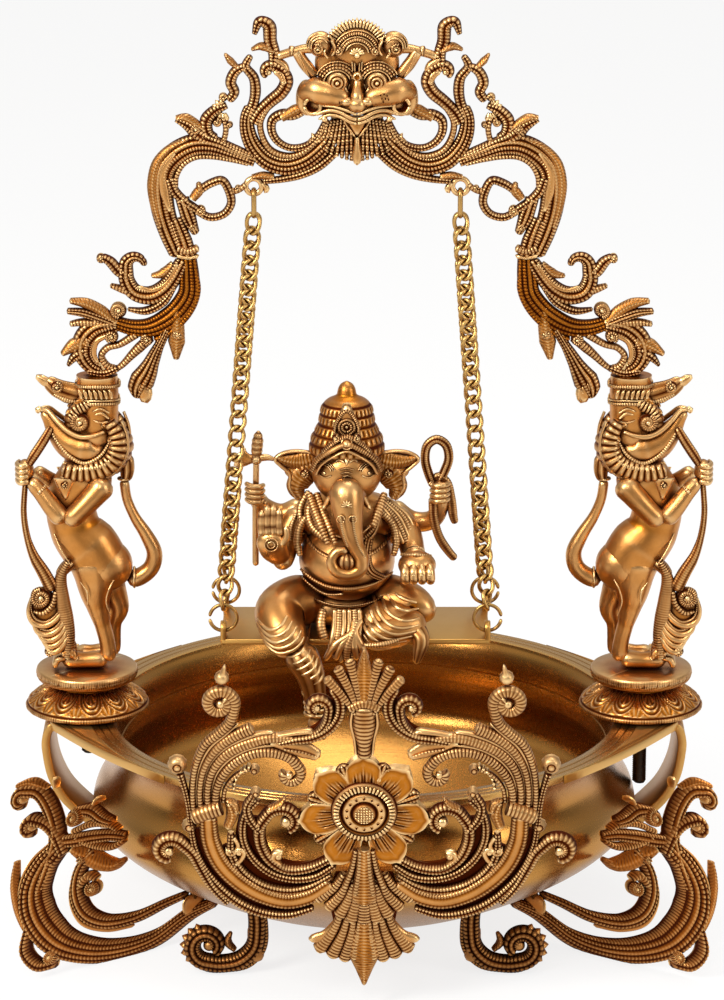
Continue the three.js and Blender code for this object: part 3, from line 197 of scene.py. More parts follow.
# Pointiness paints a highlight on ridges and edges, over the high spots that the buff has really rubbed
# bright
shape = node(patina_and_painted_light, "ShaderNodeNewGeometry")
ridge_wear_and_highlight = node(patina_and_painted_light, "ShaderNodeMapRange", {
    "Value": shape.outputs["Pointiness"], "From Min": 0.5, "From Max": 0.6,
})
darkened_body = node(patina_and_painted_light, "ShaderNodeMix", {
    "Factor": summed.outputs[0], "A": given.outputs["Body"], "B": given.outputs["Hollow"],
}, data_type="RGBA")
free = node(patina_and_painted_light, "ShaderNodeMath", {0: 1.0, 1: summed.outputs[0]}, operation="SUBTRACT")
rubbed_and_highlit = node(patina_and_painted_light, "ShaderNodeMath", {0: ridge_wear_and_highlight.outputs[0], 1: free.outputs[0]}, operation="MULTIPLY")
burnished_and_highlit = node(patina_and_painted_light, "ShaderNodeMix", {
    "Factor": rubbed_and_highlit.outputs[0], "A": darkened_body.outputs["Result"], "B": given.outputs["Bright"],
}, data_type="RGBA")
dulled = node(patina_and_painted_light, "ShaderNodeMath", {0: summed.outputs[0], 1: 0.35, 2: given.outputs["Satin"]},
              operation="MULTIPLY_ADD")
wavering = node(patina_and_painted_light, "ShaderNodeMath", {0: fine.outputs["Fac"], 1: 0.12, 2: dulled.outputs[0]},
                operation="MULTIPLY_ADD")
patina_and_painted_light.links.new(burnished_and_highlit.outputs["Result"], put.inputs["Colour"])
patina_and_painted_light.links.new(wavering.outputs[0], put.inputs["Roughness"])
patina_and_painted_light.links.new(fine.outputs["Fac"], put.inputs["Grain"])
patina_and_painted_light.links.new(summed.outputs[0], put.inputs["Hollows"])


def colour(hex_code):
    """A colour as a painter mixes it, turned into light"""
    parts = [int(hex_code[i:i + 2], 16) / 255 for i in (0, 2, 4)]
    return tuple(p / 12.92 if p <= 0.04045 else ((p + 0.055) / 1.055) ** 2.4 for p in parts) + (1.0,)


def brass(name, body, bright, hollow, satin=0.3, reach=6.0, strength=1.0, mottle=0.25, grain=0.15):
    material = bpy.data.materials.new(name)
    material.use_nodes = True
    tree = material.node_tree
    metal = tree.nodes["Principled BSDF"]
    metal.inputs["Metallic"].default_value = 1.0
    # The group paints shade and highlight into the base colour, besides the wax in the hollows
    aged = node(tree, "ShaderNodeGroup", node_tree=patina_and_painted_light)
    for label, value in (
        ("Body", colour(body)), ("Bright", colour(bright)), ("Hollow", colour(hollow)),
        ("Reach", reach * MM), ("Strength", strength), ("Mottle", mottle), ("Satin", satin),
    ):
        aged.inputs[label].default_value = value
    bump = node(tree, "ShaderNodeBump", {"Height": aged.outputs["Grain"], "Strength": grain,
                                         "Distance": 0.0004})
    tree.links.new(aged.outputs["Colour"], metal.inputs["Base Color"])
    tree.links.new(aged.outputs["Roughness"], metal.inputs["Roughness"])
    tree.links.new(bump.outputs["Normal"], metal.inputs["Normal"])
    return material


# Its hollow colour also serves as painted shade: ambient occlusion over ten millimetres darkens the bowl low
# down and under the parts close to it
turned_brass = brass("turned_brass", "AD7A3C", "E2B870", "7A4618", satin=0.2, reach=10.0, strength=0.3,
                     mottle=0.0, grain=0.05)
tree = turned_brass.node_tree
turned_at = node(tree, "ShaderNodeTexCoord")
axes = node(tree, "ShaderNodeSeparateXYZ", {0: turned_at.outputs["Object"]})
flat = node(tree, "ShaderNodeCombineXYZ", {"X": axes.outputs["X"], "Y": axes.outputs["Y"]})
out = node(tree, "ShaderNodeVectorMath", {0: flat.outputs[0]}, operation="LENGTH")
rise = node(tree, "ShaderNodeMath", {0: axes.outputs["Z"], 1: 1.7}, operation="MULTIPLY")
along = node(tree, "ShaderNodeMath", {0: out.outputs["Value"], 1: rise.outputs[0]}, operation="ADD")
spread = node(tree, "ShaderNodeMath", {0: along.outputs[0], 1: 1400.0}, operation="MULTIPLY")
cuts = node(tree, "ShaderNodeTexNoise", {"W": spread.outputs[0], "Scale": 1.0, "Detail": 3.0},
            noise_dimensions="1D")
marks = node(tree, "ShaderNodeBump", {"Height": cuts.outputs["Fac"], "Strength": 0.14,
                                      "Distance": 0.0003})
tree.links.new(marks.outputs["Normal"], tree.nodes["Principled BSDF"].inputs["Normal"])


def clear():
    """Nothing stays selected from the last piece"""
    if bpy.context.object and bpy.context.object.mode != "OBJECT":
        bpy.ops.object.mode_set(mode="OBJECT")
    bpy.ops.object.select_all(action="DESELECT")


def pick(piece):
    clear()
    piece.select_set(True)
    bpy.context.view_layer.objects.active = piece


def smooth_line(points, parts=4):
    """A smooth line through the points, in the plane or in space, with each point on it"""
    pts = np.array(points, float)
    ends = np.vstack([2 * pts[0] - pts[1], pts, 2 * pts[-1] - pts[-2]])
    gaps = np.maximum(np.linalg.norm(np.diff(ends, axis=0), axis=1), 1e-6)
    knots = np.concatenate([[0], np.cumsum(gaps ** 0.5)])
    found = []
    for i in range(1, len(ends) - 2):
        p0, p1, p2, p3 = ends[i - 1:i + 3]
        t0, t1, t2, t3 = knots[i - 1:i + 3]
        for t in np.linspace(t1, t2, parts, endpoint=False):
            a1 = (t1 - t) / (t1 - t0) * p0 + (t - t0) / (t1 - t0) * p1
            a2 = (t2 - t) / (t2 - t1) * p1 + (t - t1) / (t2 - t1) * p2
            a3 = (t3 - t) / (t3 - t2) * p2 + (t - t2) / (t3 - t2) * p3
            b1 = (t2 - t) / (t2 - t0) * a1 + (t - t0) / (t2 - t0) * a2
            b2 = (t3 - t) / (t3 - t1) * a2 + (t - t1) / (t3 - t1) * a3
            found.append((t2 - t) / (t2 - t1) * b1 + (t - t1) / (t2 - t1) * b2)
    return np.array(found + [pts[-1]])


def spun(name, profile, steps):
    """A turned piece, spun from its profile of (radius, height) in millimetres"""
    clear()
    mesh = bpy.data.meshes.new(name)
    piece = bpy.data.objects.new(name, mesh)
    bpy.context.scene.collection.objects.link(piece)
    corners = [(r * MM, 0, h * MM) for r, h in profile]
    mesh.from_pydata(corners, [(i, i + 1) for i in range(len(corners) - 1)], [])
    pick(piece)
    bpy.ops.object.mode_set(mode="EDIT")
    bpy.ops.mesh.select_all(action="SELECT")
    bpy.ops.mesh.spin(steps=steps, angle=2 * math.pi, center=(0, 0, 0), axis=(0, 0, 1))
    bpy.ops.mesh.select_all(action="SELECT")
    bpy.ops.mesh.remove_doubles(threshold=1e-6)
    bpy.ops.mesh.normals_make_consistent(inside=False)
    bpy.ops.object.mode_set(mode="OBJECT")
    bpy.ops.object.shade_smooth_by_angle(angle=math.radians(38))
    return piece


def finish(piece, material, nodes, body="stand"):
    """The piece gets its metal, rides on its body and stands for its CAD nodes"""
    piece.data.materials.clear()
    piece.data.materials.append(material)
    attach(piece, body)
    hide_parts(*nodes)


GROOVE = 0.45
LIP_TOP = 119.5
outside = smooth_line([
    (45, 4), (72, 9), (100, 19), (132, 36), (152, 50), (160.5, 60), (160.8, 66), (158, 76), (150.5, 87),
    (148.2, 95), (150, 104), (155, 111.3), (161.3, 115),
], 5)
lip = [
    (162.3, 115.8), (162.5, 117), (162.5, 118.9), (162.0, LIP_TOP),
    (158.6, LIP_TOP), (158.3, LIP_TOP - GROOVE), (157.9, LIP_TOP - GROOVE), (157.6, LIP_TOP),
    (154.2, LIP_TOP), (153.9, LIP_TOP - GROOVE), (153.5, LIP_TOP - GROOVE), (153.2, LIP_TOP),
    (149.4, LIP_TOP), (148.7, LIP_TOP - 0.4),
]
inside = smooth_line([
    (148.4, 117.6), (146.2, 114), (144.4, 107), (143.8, 101),
], 5)
step = [(143.8, 100.2), (144.4, 99.9), (144.4, 99.2), (143.7, 98.9)]
inner = smooth_line([
    (143.6, 95), (144.6, 89), (148.5, 83), (153.5, 75), (155.6, 65), (153, 58), (147, 52.4), (128, 39.4),
    (97, 23.6), (70, 14.2), (45, 9),
], 5)
profile = [(0, 4), *outside.tolist(), *lip, *inside.tolist(), *step, *inner.tolist(), (0, 9)]
bowl = spun("bowl", profile, 160)
finish(bowl, turned_brass, nodes=["urli_bowl"])


# Front ornament: one flat sand casting, chased by hand, with a rosette between two C scrolls, a fleuron
# on top and a palmette below. It leans a little forward and is screwed to the bowl behind. Each strand is
# round and crossed by fine chisel cuts, which hold the dark wax.
BACK_SHARE = 0.7


def resampled(line, gap):
    """The line with its points an even gap apart, and how far along each one is"""
    steps = np.linalg.norm(np.diff(line, axis=0), axis=1)
    run = np.concatenate([[0], np.cumsum(steps)])
    count = max(3, int(round(run[-1] / gap)) | 1)
    at = np.linspace(0, run[-1], count + 1)
    return np.column_stack([np.interp(at, run, line[:, k]) for k in range(line.shape[1])]), at


def curl_line(line, wide, tight, turn):
    """Goes on from the end of a line into a spiral, turning through so many degrees"""
    ahead = line[-1] - line[-2]
    heading = math.atan2(ahead[1], ahead[0])
    steps = max(4, int(abs(turn) / 12))
    swing = math.radians(turn) / steps
    u, v = line[-1]
    found = []
    for i in range(steps):
        chord = 2 * (wide + (tight - wide) * (i + 0.5) / steps) * math.sin(abs(swing) / 2)
        heading += swing / 2
        u, v = u + chord * math.cos(heading), v + chord * math.sin(heading)
        heading += swing / 2
        found.append((u, v))
    side = math.copysign(math.pi / 2, turn)
    eye = (u + tight * math.cos(heading + side), v + tight * math.sin(heading + side))
    return np.vstack([line, found]), eye


def chased(kind, across, arc, half, cut):
    """Height of the chasing over a strand in millimetres, and how deep its hollows are from 0 to 1"""
    beat = np.abs(np.sin(np.pi * arc / cut))[:, None]
    side = np.abs(across)[None, :]
    width = half[:, None]
    if kind == "smooth":
        return 0 * beat * side, 0 * beat * side
    if kind == "rope":
        round_off = np.sqrt(np.clip(1 - side ** 2, 0, 1))
        return 0.6 * beat * round_off, 0.95 * (1 - beat) + 0 * side
    if kind == "stitched":
        edge = np.clip((side - 0.4) / 0.2, 0, 1)
        groove = np.exp(-((side - 0.42) / 0.09) ** 2)
        return 0.5 * beat * edge - 0.4 * groove, 0.8 * edge * (1 - beat) + 0.7 * groove * (1 - edge)
    if kind == "pleats":
        return 1.3 * beat ** 0.7 + 0 * side, 0.95 * (1 - beat) + 0 * side
    if kind == "leaf":
        vein = np.abs(np.sin(np.pi * (arc[:, None] - 1.3 * side * width) / cut))
        rib = np.exp(-(side / 0.14) ** 2)
        return 0.6 * vein * (1 - rib) + 0.7 * rib, 0.8 * (1 - vein) * (1 - rib)
    count = int(kind)
    place = (across + 1) / 2 * count
    lobe = np.sin(np.pi * (place - np.floor(np.minimum(place, count - 1e-6))))[None, :] ** 0.6
    lobe = np.nan_to_num(np.clip(lobe, 0, 1))
    plain = (np.floor(np.minimum(place, count - 1e-6)) == count // 2)[None, :] & (count > 2)
    beat = np.where(plain, 0.65 + 0.35 * beat, beat)
    tall = np.minimum(1.5, 1.1 * width / count)
    return tall * lobe * (0.35 + 0.65 * beat), np.clip(1.1 * (1 - lobe) + 0.95 * lobe * (1 - beat), 0, 1)


def shell_grid(rows, carve):
    """Faces over a closed tube of rings, with a point at each end. Rows is rings by points by three"""
    rings, around, _ = rows.shape
    points = np.vstack([rows.reshape(-1, 3), rows[0].mean(axis=0), rows[-1].mean(axis=0)])
    i, j = np.meshgrid(np.arange(rings - 1), np.arange(around), indexing="ij")
    k = (j + 1) % around
    quads = np.stack([i * around + j, i * around + k, (i + 1) * around + k, (i + 1) * around + j],
                     -1).reshape(-1, 4)
    first, last = rings * around, rings * around + 1
    tail = (rings - 1) * around
    caps = [(first, (j + 1) % around, j) for j in range(around)]
    caps += [(last, tail + j, tail + (j + 1) % around) for j in range(around)]
    marks = np.concatenate([carve.reshape(-1), [0.3, 0.3]])
    return points, quads.tolist() + caps, marks


def strand(path, half, kind="rope", curl=None, deep=3.2, y=0.0, cut=1.9, eye=None, tip=0.35, wave=0.0):
    """A cast strand in the upright plane, closed all round, with its chasing on the front and a plain rounded
    back
    """
    line = smooth_line(path, 8)
    centre = None
    if curl:
        line, centre = curl_line(line, *curl)
    gap = {"smooth": 1.6, "leaf": cut / 3, "pleats": cut / 6}.get(kind, cut / 2 if cut < 1.6 else cut / 3)
    line, arc = resampled(line, gap)
    share = arc / arc[-1]
    width = np.interp(share, np.linspace(0, 1, len(half)), half)
    if wave:
        width = width * (1 - wave + wave * np.abs(np.sin(np.pi * arc / (2.2 * cut))))
    width = width * np.clip(np.sqrt(np.clip((1 - share) * arc[-1] / (tip * width + 1e-6), 0, 1)), 0.12, 1)
    ahead = np.gradient(line, axis=0)
    ahead /= np.linalg.norm(ahead, axis=1)[:, None]
    normal = np.column_stack([-ahead[:, 1], ahead[:, 0]])
    count = 4 * int(kind) if kind.isdigit() else {"stitched": 14, "leaf": 12}.get(kind, 8)
    across = np.linspace(-1, 1, count + 1)
    if not kind.isdigit():
        across = np.sin(across * math.pi / 2)
    tall, carve = chased(kind, across, arc, width, cut)
    depth = np.minimum(deep, 1.5 * width + 0.4)[:, None]
    dome = (1 - np.abs(across)[None, :] ** 2.4) ** 0.5
    front = -depth * dome - tall * np.minimum(1, dome * 2)
    back_across = np.array([0.8, 0.0, -0.8])
    back = depth * BACK_SHARE * (1 - np.abs(back_across)[None, :] ** 2.4) ** 0.5
    offsets = np.concatenate([across, back_across])
    lift = np.concatenate([front, back], axis=1)
    place = line[:, None, :] + normal[:, None, :] * (offsets[None, :, None] * width[:, None, None])
    rows = np.stack([place[:, :, 0], y + lift, place[:, :, 1]], -1)
    marks = np.concatenate([carve, np.zeros((len(line), 3))], axis=1)
    shells = [shell_grid(rows, marks)]
    if centre and eye:
        shells.append(boss(centre, [(0, eye * 0.8), (eye * 0.6, eye * 0.55), (eye, 0)], y=y - deep * 0.6,
                           back=deep * 0.6))
    return shells


def boss(centre, profile, y=0.0, back=2.0, steps=20, petals=0, fold=0.0):
    """A round boss that faces the front: its profile goes from the middle out, as (radius, height, hollow)"""
    u, v = centre
    turns = np.linspace(0, 2 * math.pi, steps, endpoint=False)
    rings, marks = [], []
    profile = [tuple(p) + (0.0,) * (3 - len(p)) for p in profile]
    for radius, height, hollow in profile[1:]:
        grown = radius * (1 + fold * np.cos(petals * turns)) if petals else radius + 0 * turns
        rings.append(np.column_stack([u + grown * np.cos(turns), y - height + 0 * turns,
                                      v + grown * np.sin(turns)]))
        marks.append(hollow + 0 * turns)
    outer = rings[-1].copy()
    outer[:, 1] = y + back
    rings.append(outer)
    marks.append(0 * turns)
    count = len(rings)
    points = np.vstack(rings + [[(u, y - profile[0][1], v)], [(u, y + back, v)]])
    faces = []
    for i in range(count - 1):
        for j in range(steps):
            k = (j + 1) % steps
            faces.append((i * steps + j, (i + 1) * steps + j, (i + 1) * steps + k, i * steps + k))
    top, bottom = count * steps, count * steps + 1
    for j in range(steps):
        k = (j + 1) % steps
        faces.append((top, j, k))
        faces.append((bottom, (count - 1) * steps + k, (count - 1) * steps + j))
    return points, faces, np.concatenate(marks + [[profile[0][2]], [0.0]])


def mirrored(shells):
    """The shells turned over from right to left"""
    found = []
    for points, faces, marks in shells:
        found.append((points * (-1, 1, 1), [tuple(reversed(face)) for face in faces], marks))
    return found


def both_sides(shells):
    """The shells and their mirror images across the upright middle line"""
    return shells + mirrored(shells)


def cast(name, shells, move=None):
    """One casting from its shells, each closed, with the hollows kept as an attribute"""
    points = np.vstack([s[0] for s in shells])
    faces, start = [], 0
    for found, indices, _ in shells:
        faces += [tuple(i + start for i in face) for face in indices]
        start += len(found)
    if move:
        points = move(points)
    mesh = bpy.data.meshes.new(name)
    mesh.from_pydata((points * MM).tolist(), [], faces)
    hollows = np.concatenate([s[2] for s in shells]).astype(np.float32)
    mesh.attributes.new("carve", "FLOAT", "POINT").data.foreach_set("value", hollows)
    mesh.validate()
    piece = bpy.data.objects.new(name, mesh)
    bpy.context.scene.collection.objects.link(piece)
    pick(piece)
    bpy.ops.object.mode_set(mode="EDIT")
    bpy.ops.mesh.select_all(action="SELECT")
    bpy.ops.mesh.normals_make_consistent(inside=False)
    bpy.ops.object.mode_set(mode="OBJECT")
    bpy.ops.object.shade_smooth_by_angle(angle=math.radians(70))
    return piece


def tongue(angle, start, length, width, lift):
    """A ribbed tongue between two petals of the rosette, out from its middle"""
    c, s = math.cos(math.radians(angle)), math.sin(math.radians(angle))
    path = [(c * r, s * r) for r in np.linspace(start, start + length, 4)]
    return strand(path, [width * 0.6, width, width], "3", y=-lift, deep=2.4, tip=0.5)


def cup_petal(angle, near, far, spread, lift, flutes=3, point=1.6):
    """A petal like a shallow spoon: rim turned up, a small point, and flutes that fan out from its root"""
    along, across = np.meshgrid(np.linspace(0, 1, 15), np.linspace(-1, 1, 25), indexing="ij")
    reach = far - (far - near) * 0.30 * np.abs(across) ** 2.6 + point * np.exp(-(across / 0.13) ** 2)
    far_out = near + (reach - near) * along
    half = np.radians(spread) * (0.80 + 0.30 * np.sin(along * math.pi * 0.62)) * near / far_out * 1.45
    turn = math.radians(angle) + across * half
    fan = np.clip((0.60 - 0.25 * across ** 2 - along) / 0.15, 0, 1)
    fan = fan * np.clip((0.88 - np.abs(across)) / 0.08, 0, 1)
    flute = np.abs(np.sin(across * math.pi * (flutes + 0.5) / 0.9 + math.pi / 2))
    rim = np.clip((np.abs(across) - 0.80) / 0.1, 0, 1) + np.clip((along - 0.88) / 0.06, 0, 1)
    rim = np.clip(rim, 0, 1)
    rise = 2.2 + 0.5 * rim + 1.1 * flute * fan
    rise += 1.4 * np.sin(along * 2.2) * (1 - 0.5 * np.abs(across) ** 2)
    rise -= 1.2 * along ** 2
    border = np.exp(-((np.abs(across) - 0.82) / 0.05) ** 2)
    border += np.exp(-((along - 0.86) / 0.04) ** 2) * (np.abs(across) < 0.84)
    hollow = np.clip(0.95 * (1 - flute) * fan + 0.3 * border, 0, 1)
    u, v = far_out * np.cos(turn), far_out * np.sin(turn)
    front = np.stack([u, -lift - rise, v], -1)
    under = np.stack([u, 0 * u + 1.5, v], -1)[:, ::-1][:, ::4]
    marks = np.concatenate([hollow, 0.3 + 0 * under[:, :, 0]], axis=1)
    return [shell_grid(np.concatenate([front, under], axis=1), marks)]


def web(path, half, y=1.6):
    """The dark back of the casting between two strands"""
    points, faces, marks = strand(path, half, "smooth", y=y, deep=1.4)[0]
    return [(points, faces, np.full(len(marks), 0.9))]


side = []
# the upper sheaf, from the cuff upwards, outermost strand first
UPPER = [
    ([(93.5, -2), (94.2, 12), (92.5, 28), (87, 42), (79.5, 49), (73, 56), (70.6, 65)],
     [1.7, 1.9, 2.3, 3.0, 3.4, 3.5, 3.3], (8.4, 3.2, -450), "rope", 2.6),
    ([(89.6, 0), (90.2, 13), (87.8, 27), (81, 39), (71.5, 47), (60.5, 52.5)], [1.9, 2.0, 2.4, 3.2, 3.8],
     None, "rope", 0),
    ([(85.4, 0), (86, 13), (83, 26), (75.5, 36), (64, 42.5), (52, 46), (40, 46), (28, 44.8)],
     [2.1, 2.2, 2.6, 3.2, 3.4, 3.2, 2.4, 1.6], None, "rope", 0),
    ([(81.2, 0), (81.4, 12), (78, 22), (70.5, 31), (60, 36.6), (49.5, 37), (40.5, 33.5), (36, 28)],
     [2.4, 2.6, 2.9, 3.2, 3.3, 3.2, 3.0, 2.8], (6.4, 3.0, 265), "rope", 2.2),
    ([(77.5, 6), (76, 15), (70, 23), (62.5, 27)], [1.3, 1.3, 1.2], None, "rope", 0),
    ([(91.6, 0), (92.2, 13), (90, 28), (84, 40.6), (75.6, 48.4), (68.6, 55)],
     [0.8, 0.9, 1.0, 1.3, 1.3, 0.8], None, "smooth", 0),
    ([(87.5, 0), (88, 13), (85.4, 27), (78.4, 37.6), (68, 44.8), (57, 48.8), (49, 49.6)],
     [0.8, 0.9, 1.0, 1.2, 1.4, 1.0], None, "smooth", 0),
    ([(83.2, 0), (83.6, 12), (80.6, 24), (73, 33.6), (62, 39.8), (51, 41.6), (42, 40.6)],
     [0.9, 0.9, 1.1, 1.3, 1.3, 0.8], None, "smooth", 0),
]
for path, half, curl, kind, eye in UPPER:
    side += strand(path, half, kind, curl=curl, eye=eye, y=-0.6, deep=3.4)
side += web([(88, 0), (88, 14), (84, 29), (74, 40), (63, 45)], [8, 8.4, 8.4, 7.4, 4.0])
side += web([(70, 40), (58, 43), (46, 42.5), (34, 41)], [3, 5, 4.6, 2])
# the scroll beside the fleuron, two strands and a curl
side += strand([(47, 43), (38, 45.5), (27, 47.5), (18.5, 53), (13.6, 61), (13.2, 70), (17.5, 77.5)],
               [1.4, 2.6, 3.0, 3.2, 3.4, 3.2, 2.4], "2", y=-1.0, deep=3.6)
side += strand([(30, 47), (24, 52), (20.3, 58), (19.2, 64)], [1.6, 2.6, 3.0, 3.0], "2",
               curl=(6.2, 2.6, -290), eye=2.4, y=-1.2, deep=3.8)
side += web([(36, 46), (24, 50), (17, 60), (17, 70)], [3, 4.4, 4.6, 3.6])
# the lower sheaf: the fat stitched tube, the edge strand, and the strands inside it
side += strand([(86, -3), (84.8, -18), (79.5, -32), (69.5, -44), (57, -52.5), (43, -56.5), (30, -53.5),
                (18, -45)],
               [5.0, 5.4, 5.6, 5.6, 5.4, 5.0, 4.2], "stitched", deep=4.4, y=-1.0)
side += strand([(101, 24), (98.4, 14), (96.6, 3), (95.4, -9), (93.6, -22), (88.4, -36), (80, -48.5),
                (69, -58.5), (56, -64.6), (42, -66), (28, -61.5)],
               [2.2, 1.7, 1.7, 2.0, 2.3, 2.8, 3.2, 3.2, 3.0, 2.6, 2.0], "2", deep=3.2)
side += strand([(76, -58.5), (84.5, -47), (90.5, -35.5), (95, -26), (101, -19.6)],
               [1.8, 3.0, 3.8, 4.4, 4.8], "2", curl=(8.0, 3.6, -250), eye=3.2, deep=4)
side += strand([(18, -29), (30, -35.4), (42.5, -36.6), (52, -30.5), (57.2, -20), (57.5, -9.5),
                (53.5, -2.5)],
               [2.4, 2.8, 3.2, 3.6, 3.8, 3.8, 3.6], "2", curl=(10.0, 4.2, 235), eye=3.4, deep=4)
side += strand([(58.6, 8), (64.2, 1), (66.8, -8), (66.2, -19), (60.6, -30.5), (51, -39), (39, -42.6),
                (27, -41), (16, -33.5)],
               [2.4, 2.6, 2.5, 2.4, 2.5, 2.6, 2.6, 2.4, 2.2], "2", deep=3.4)
side += strand([(73.5, -14), (73.4, -25), (68.4, -37), (57.4, -46.4), (43.6, -50.4), (31, -48.4),
                (18, -40.5)],
               [1.9, 2.7, 3.0, 3.0, 2.9, 2.7, 2.3], "2", deep=3.2)
side += web([(76, -22), (68, -38), (54, -48), (40, -52), (24, -46)], [3, 7, 9, 9, 8])
side += web([(63, -4), (64, -18), (58, -30), (46, -38), (30, -39), (18, -33)], [6, 7, 7, 6.6, 6, 5])
side += web([(92, -12), (88, -30), (78, -46), (62, -58), (44, -62)], [4, 5, 5.6, 5.4, 4])
# cuff, leaves, small curls and knobs
side += strand([(78.6, 3.4), (86.5, 0.8), (95, -3.2)], [4.8, 5.0, 4.8], "rope", deep=6.2, y=-1.2, cut=2.2)
side += strand([(57.5, -12), (63.4, -3), (64.5, 4), (61, 11)], [2.2, 2.6, 2.6, 2.0], "2", y=-1.4)
side += strand([(51, 43.5), (41, 41.2), (31, 38.2), (24, 34.6)], [1.6, 4.2, 5.4, 3.2], "smooth", y=-1.2,
               deep=2.6)
side += strand([(44, 40.6), (34, 38.8), (26, 36)], [0.7, 0.9, 0.6], "rope", y=-3.4, deep=1.4)
side += strand([(47, 47.6), (38.5, 49.4), (31, 50.4)], [1.4, 1.8, 1.6], "smooth", curl=(3.6, 1.8, 250),
               eye=1.8, y=-1)
side += strand([(75, -9), (72.5, -1), (74.5, 7)], [2.6, 3.6, 2.2], "leaf", y=-1.6)
side += strand([(70, 1), (71.5, 6), (76, 8.5)], [1.8, 2.4, 1.0], "leaf", y=-2.4)
side += strand([(72, -16), (69.5, -21), (71.5, -25.5)], [1.5, 1.8, 1.4], "smooth", curl=(2.6, 1.5, 240),
               eye=1.6, y=-1)
side += strand([(38, -38), (44.5, -35.4), (49.4, -31)], [1.3, 2.0, 2.2], "smooth", curl=(3.4, 1.9, 220),
               eye=2.2, y=-1.4)
side += strand([(71, -33), (68, -30), (66.6, -27)], [1.4, 1.8, 2.0], "smooth", curl=(2.8, 1.7, -220),
               eye=1.9, y=-1.4)
side += strand([(52, 2), (46.5, 5), (43.4, 9.4)], [1.8, 2.0, 0.7], "leaf", y=-1.4)
side += strand([(40, -1), (36, -3), (32, -3.4)], [1.4, 1.2, 0.5], "smooth", y=-1)
for i in range(7):
    turn = math.radians(95 + 11 * i)
    bead_at = (60 + 14 * math.sin(turn) * 0.9 - 1, 13.5 - 15.5 * math.cos(turn))
    side.append(boss(bead_at, [(0, 3.1), (0.7, 2.8), (1.1, 0.6)], steps=6, y=-0.2))
side.append(boss((102.3, 28.6), [(0, 5.0), (1.5, 4.7, 0.2), (2.1, 3.9, 1.0), (2.8, 4.2, 0.3),
                                 (4.6, 2.4, 0.2), (5.2, 0, 0.5)], back=2.8, petals=11, fold=0.05))
side.append(boss((77.2, 82.4), [(0, 4.0), (2.2, 3.4, 0.2), (3.6, 1.2, 0.3), (3.8, 0, 0.6)], back=2,
                 petals=9, fold=0.05))
side += strand([(77, 84), (76, 88), (75.4, 91)], [2.0, 1.3, 0.5], "smooth")
side.append(boss((60.2, 25.6), [(0, 3.4), (1.0, 3.1, 0.2), (1.5, 2.5, 1.0), (2.0, 2.6, 0.3),
                                (3.0, 0, 0.5)], back=2))
side.append(boss((59.6, 11.4), [(0, 4.2), (1.0, 3.9, 0.2), (1.4, 3.2, 1.0), (1.9, 3.3, 0.3),
                                (2.9, 0, 0.5)], back=2))
side.append(boss((96.4, -9.8), [(0, 4.2), (1.3, 3.8, 0.2), (1.9, 3.0, 1.0), (2.5, 3.2, 0.3),
                                (4.0, 0, 0.5)], back=2, petals=9, fold=0.05))
ornament = both_sides(side)

# the rosette: eight broad petals but the lowest, ribbed tongues between them
for angle in (91, 48, 136, -7, 187, -57, 240):
    ornament += cup_petal(angle, 16.5, 35.4, 22, 2.2, flutes=4)
for angle in (69, 113, 21, 162, -33, 213):
    ornament += tongue(angle, 14, 18.6, 4.2, 1.4)
# the disc in the middle: a ring of cut beads, a plain ring and a hatched dome, raised from the petals
DISC_LIFT = 2.6


def disc_point(radius, turn):
    return radius * math.cos(turn), DISC_LIFT + radius * math.sin(turn)


ornament.append(boss((0, DISC_LIFT), [
    (0, 11.2, 0), (3, 11.0, 0), (5.2, 10.2, 0.1), (6.3, 9.2, 0.8), (6.9, 8.2, 1.0), (7.6, 8.9, 0.4),
    (8.3, 9.4, 0.0), (11.0, 9.2, 0.0),
    (12.1, 8.2, 0.7), (12.8, 6.8, 1.0), (13.5, 7.4, 0.4), (14.4, 7.8, 0.2), (17.0, 7.4, 0.3),
    (18.2, 6.2, 0.9), (18.8, 4.0, 1.0),
], back=3, steps=64))
for i in range(46):
    u, v = disc_point(15.7, 2 * math.pi * i / 46)
    c, s = u / 15.7, (v - DISC_LIFT) / 15.7
    bar = [(u - 1.7 * c, v - 1.7 * s), (u + 1.7 * c, v + 1.7 * s)]
    ornament += strand(bar, [0.78, 0.86], "smooth", y=-8.4, deep=1.2, tip=0.5)
for i in range(14):
    pit = [(0, 9.5, 1.0), (0.5, 9.7, 0.9), (0.9, 10.0, 0), (1.15, 9.0, 0.7)]
    ornament.append(boss(disc_point(9.7, 2 * math.pi * (i + 0.5) / 14), pit, steps=8, back=-8))
for i in range(-3, 4):
    for j in range(-3, 4):
        if i * i + j * j < 13:
            u, v = 1.5 * i, 1.5 * j
            top = 12.1 - 0.035 * (u * u + v * v)
            stud = [(0, top), (0.5, top - 0.15), (0.7, top - 1.2, 1.0)]
            ornament.append(boss((u, DISC_LIFT + v), stud, steps=4, back=-10))

# fleuron above: a pointed leaf with ribbed strips at each side, tied by a rope over a fat bud
for lean, reach, wide, low, kind in (
    (0, 101, 5.6, 68, "leaf"), (8.2, 95, 3.0, 66, "rope"), (14.8, 90.5, 3.1, 64, "rope"),
    (21, 84, 2.9, 62, "rope"),
):
    path = [(0.22 * lean, low), (0.55 * lean, 0.5 * (low + reach)), (lean, reach)]
    half = [1.4, wide * 0.8, wide * 0.95] if lean else [1.6, wide * 0.8, wide, 3.2, 0.6]
    found = strand(path, half, kind, y=-2.2, deep=3.4, tip=0.6)
    ornament += both_sides(found) if lean else found
ornament += web([(0, 64), (0, 78), (0, 88)], [4, 11, 13])
ornament += strand([(0, 36), (0, 42), (0, 50), (0, 57), (0, 63), (0, 67)], [4.0, 3.8, 5.4, 6.6, 6.2, 4.6],
                   "rope", deep=5.6, y=-1.6, cut=2.4)
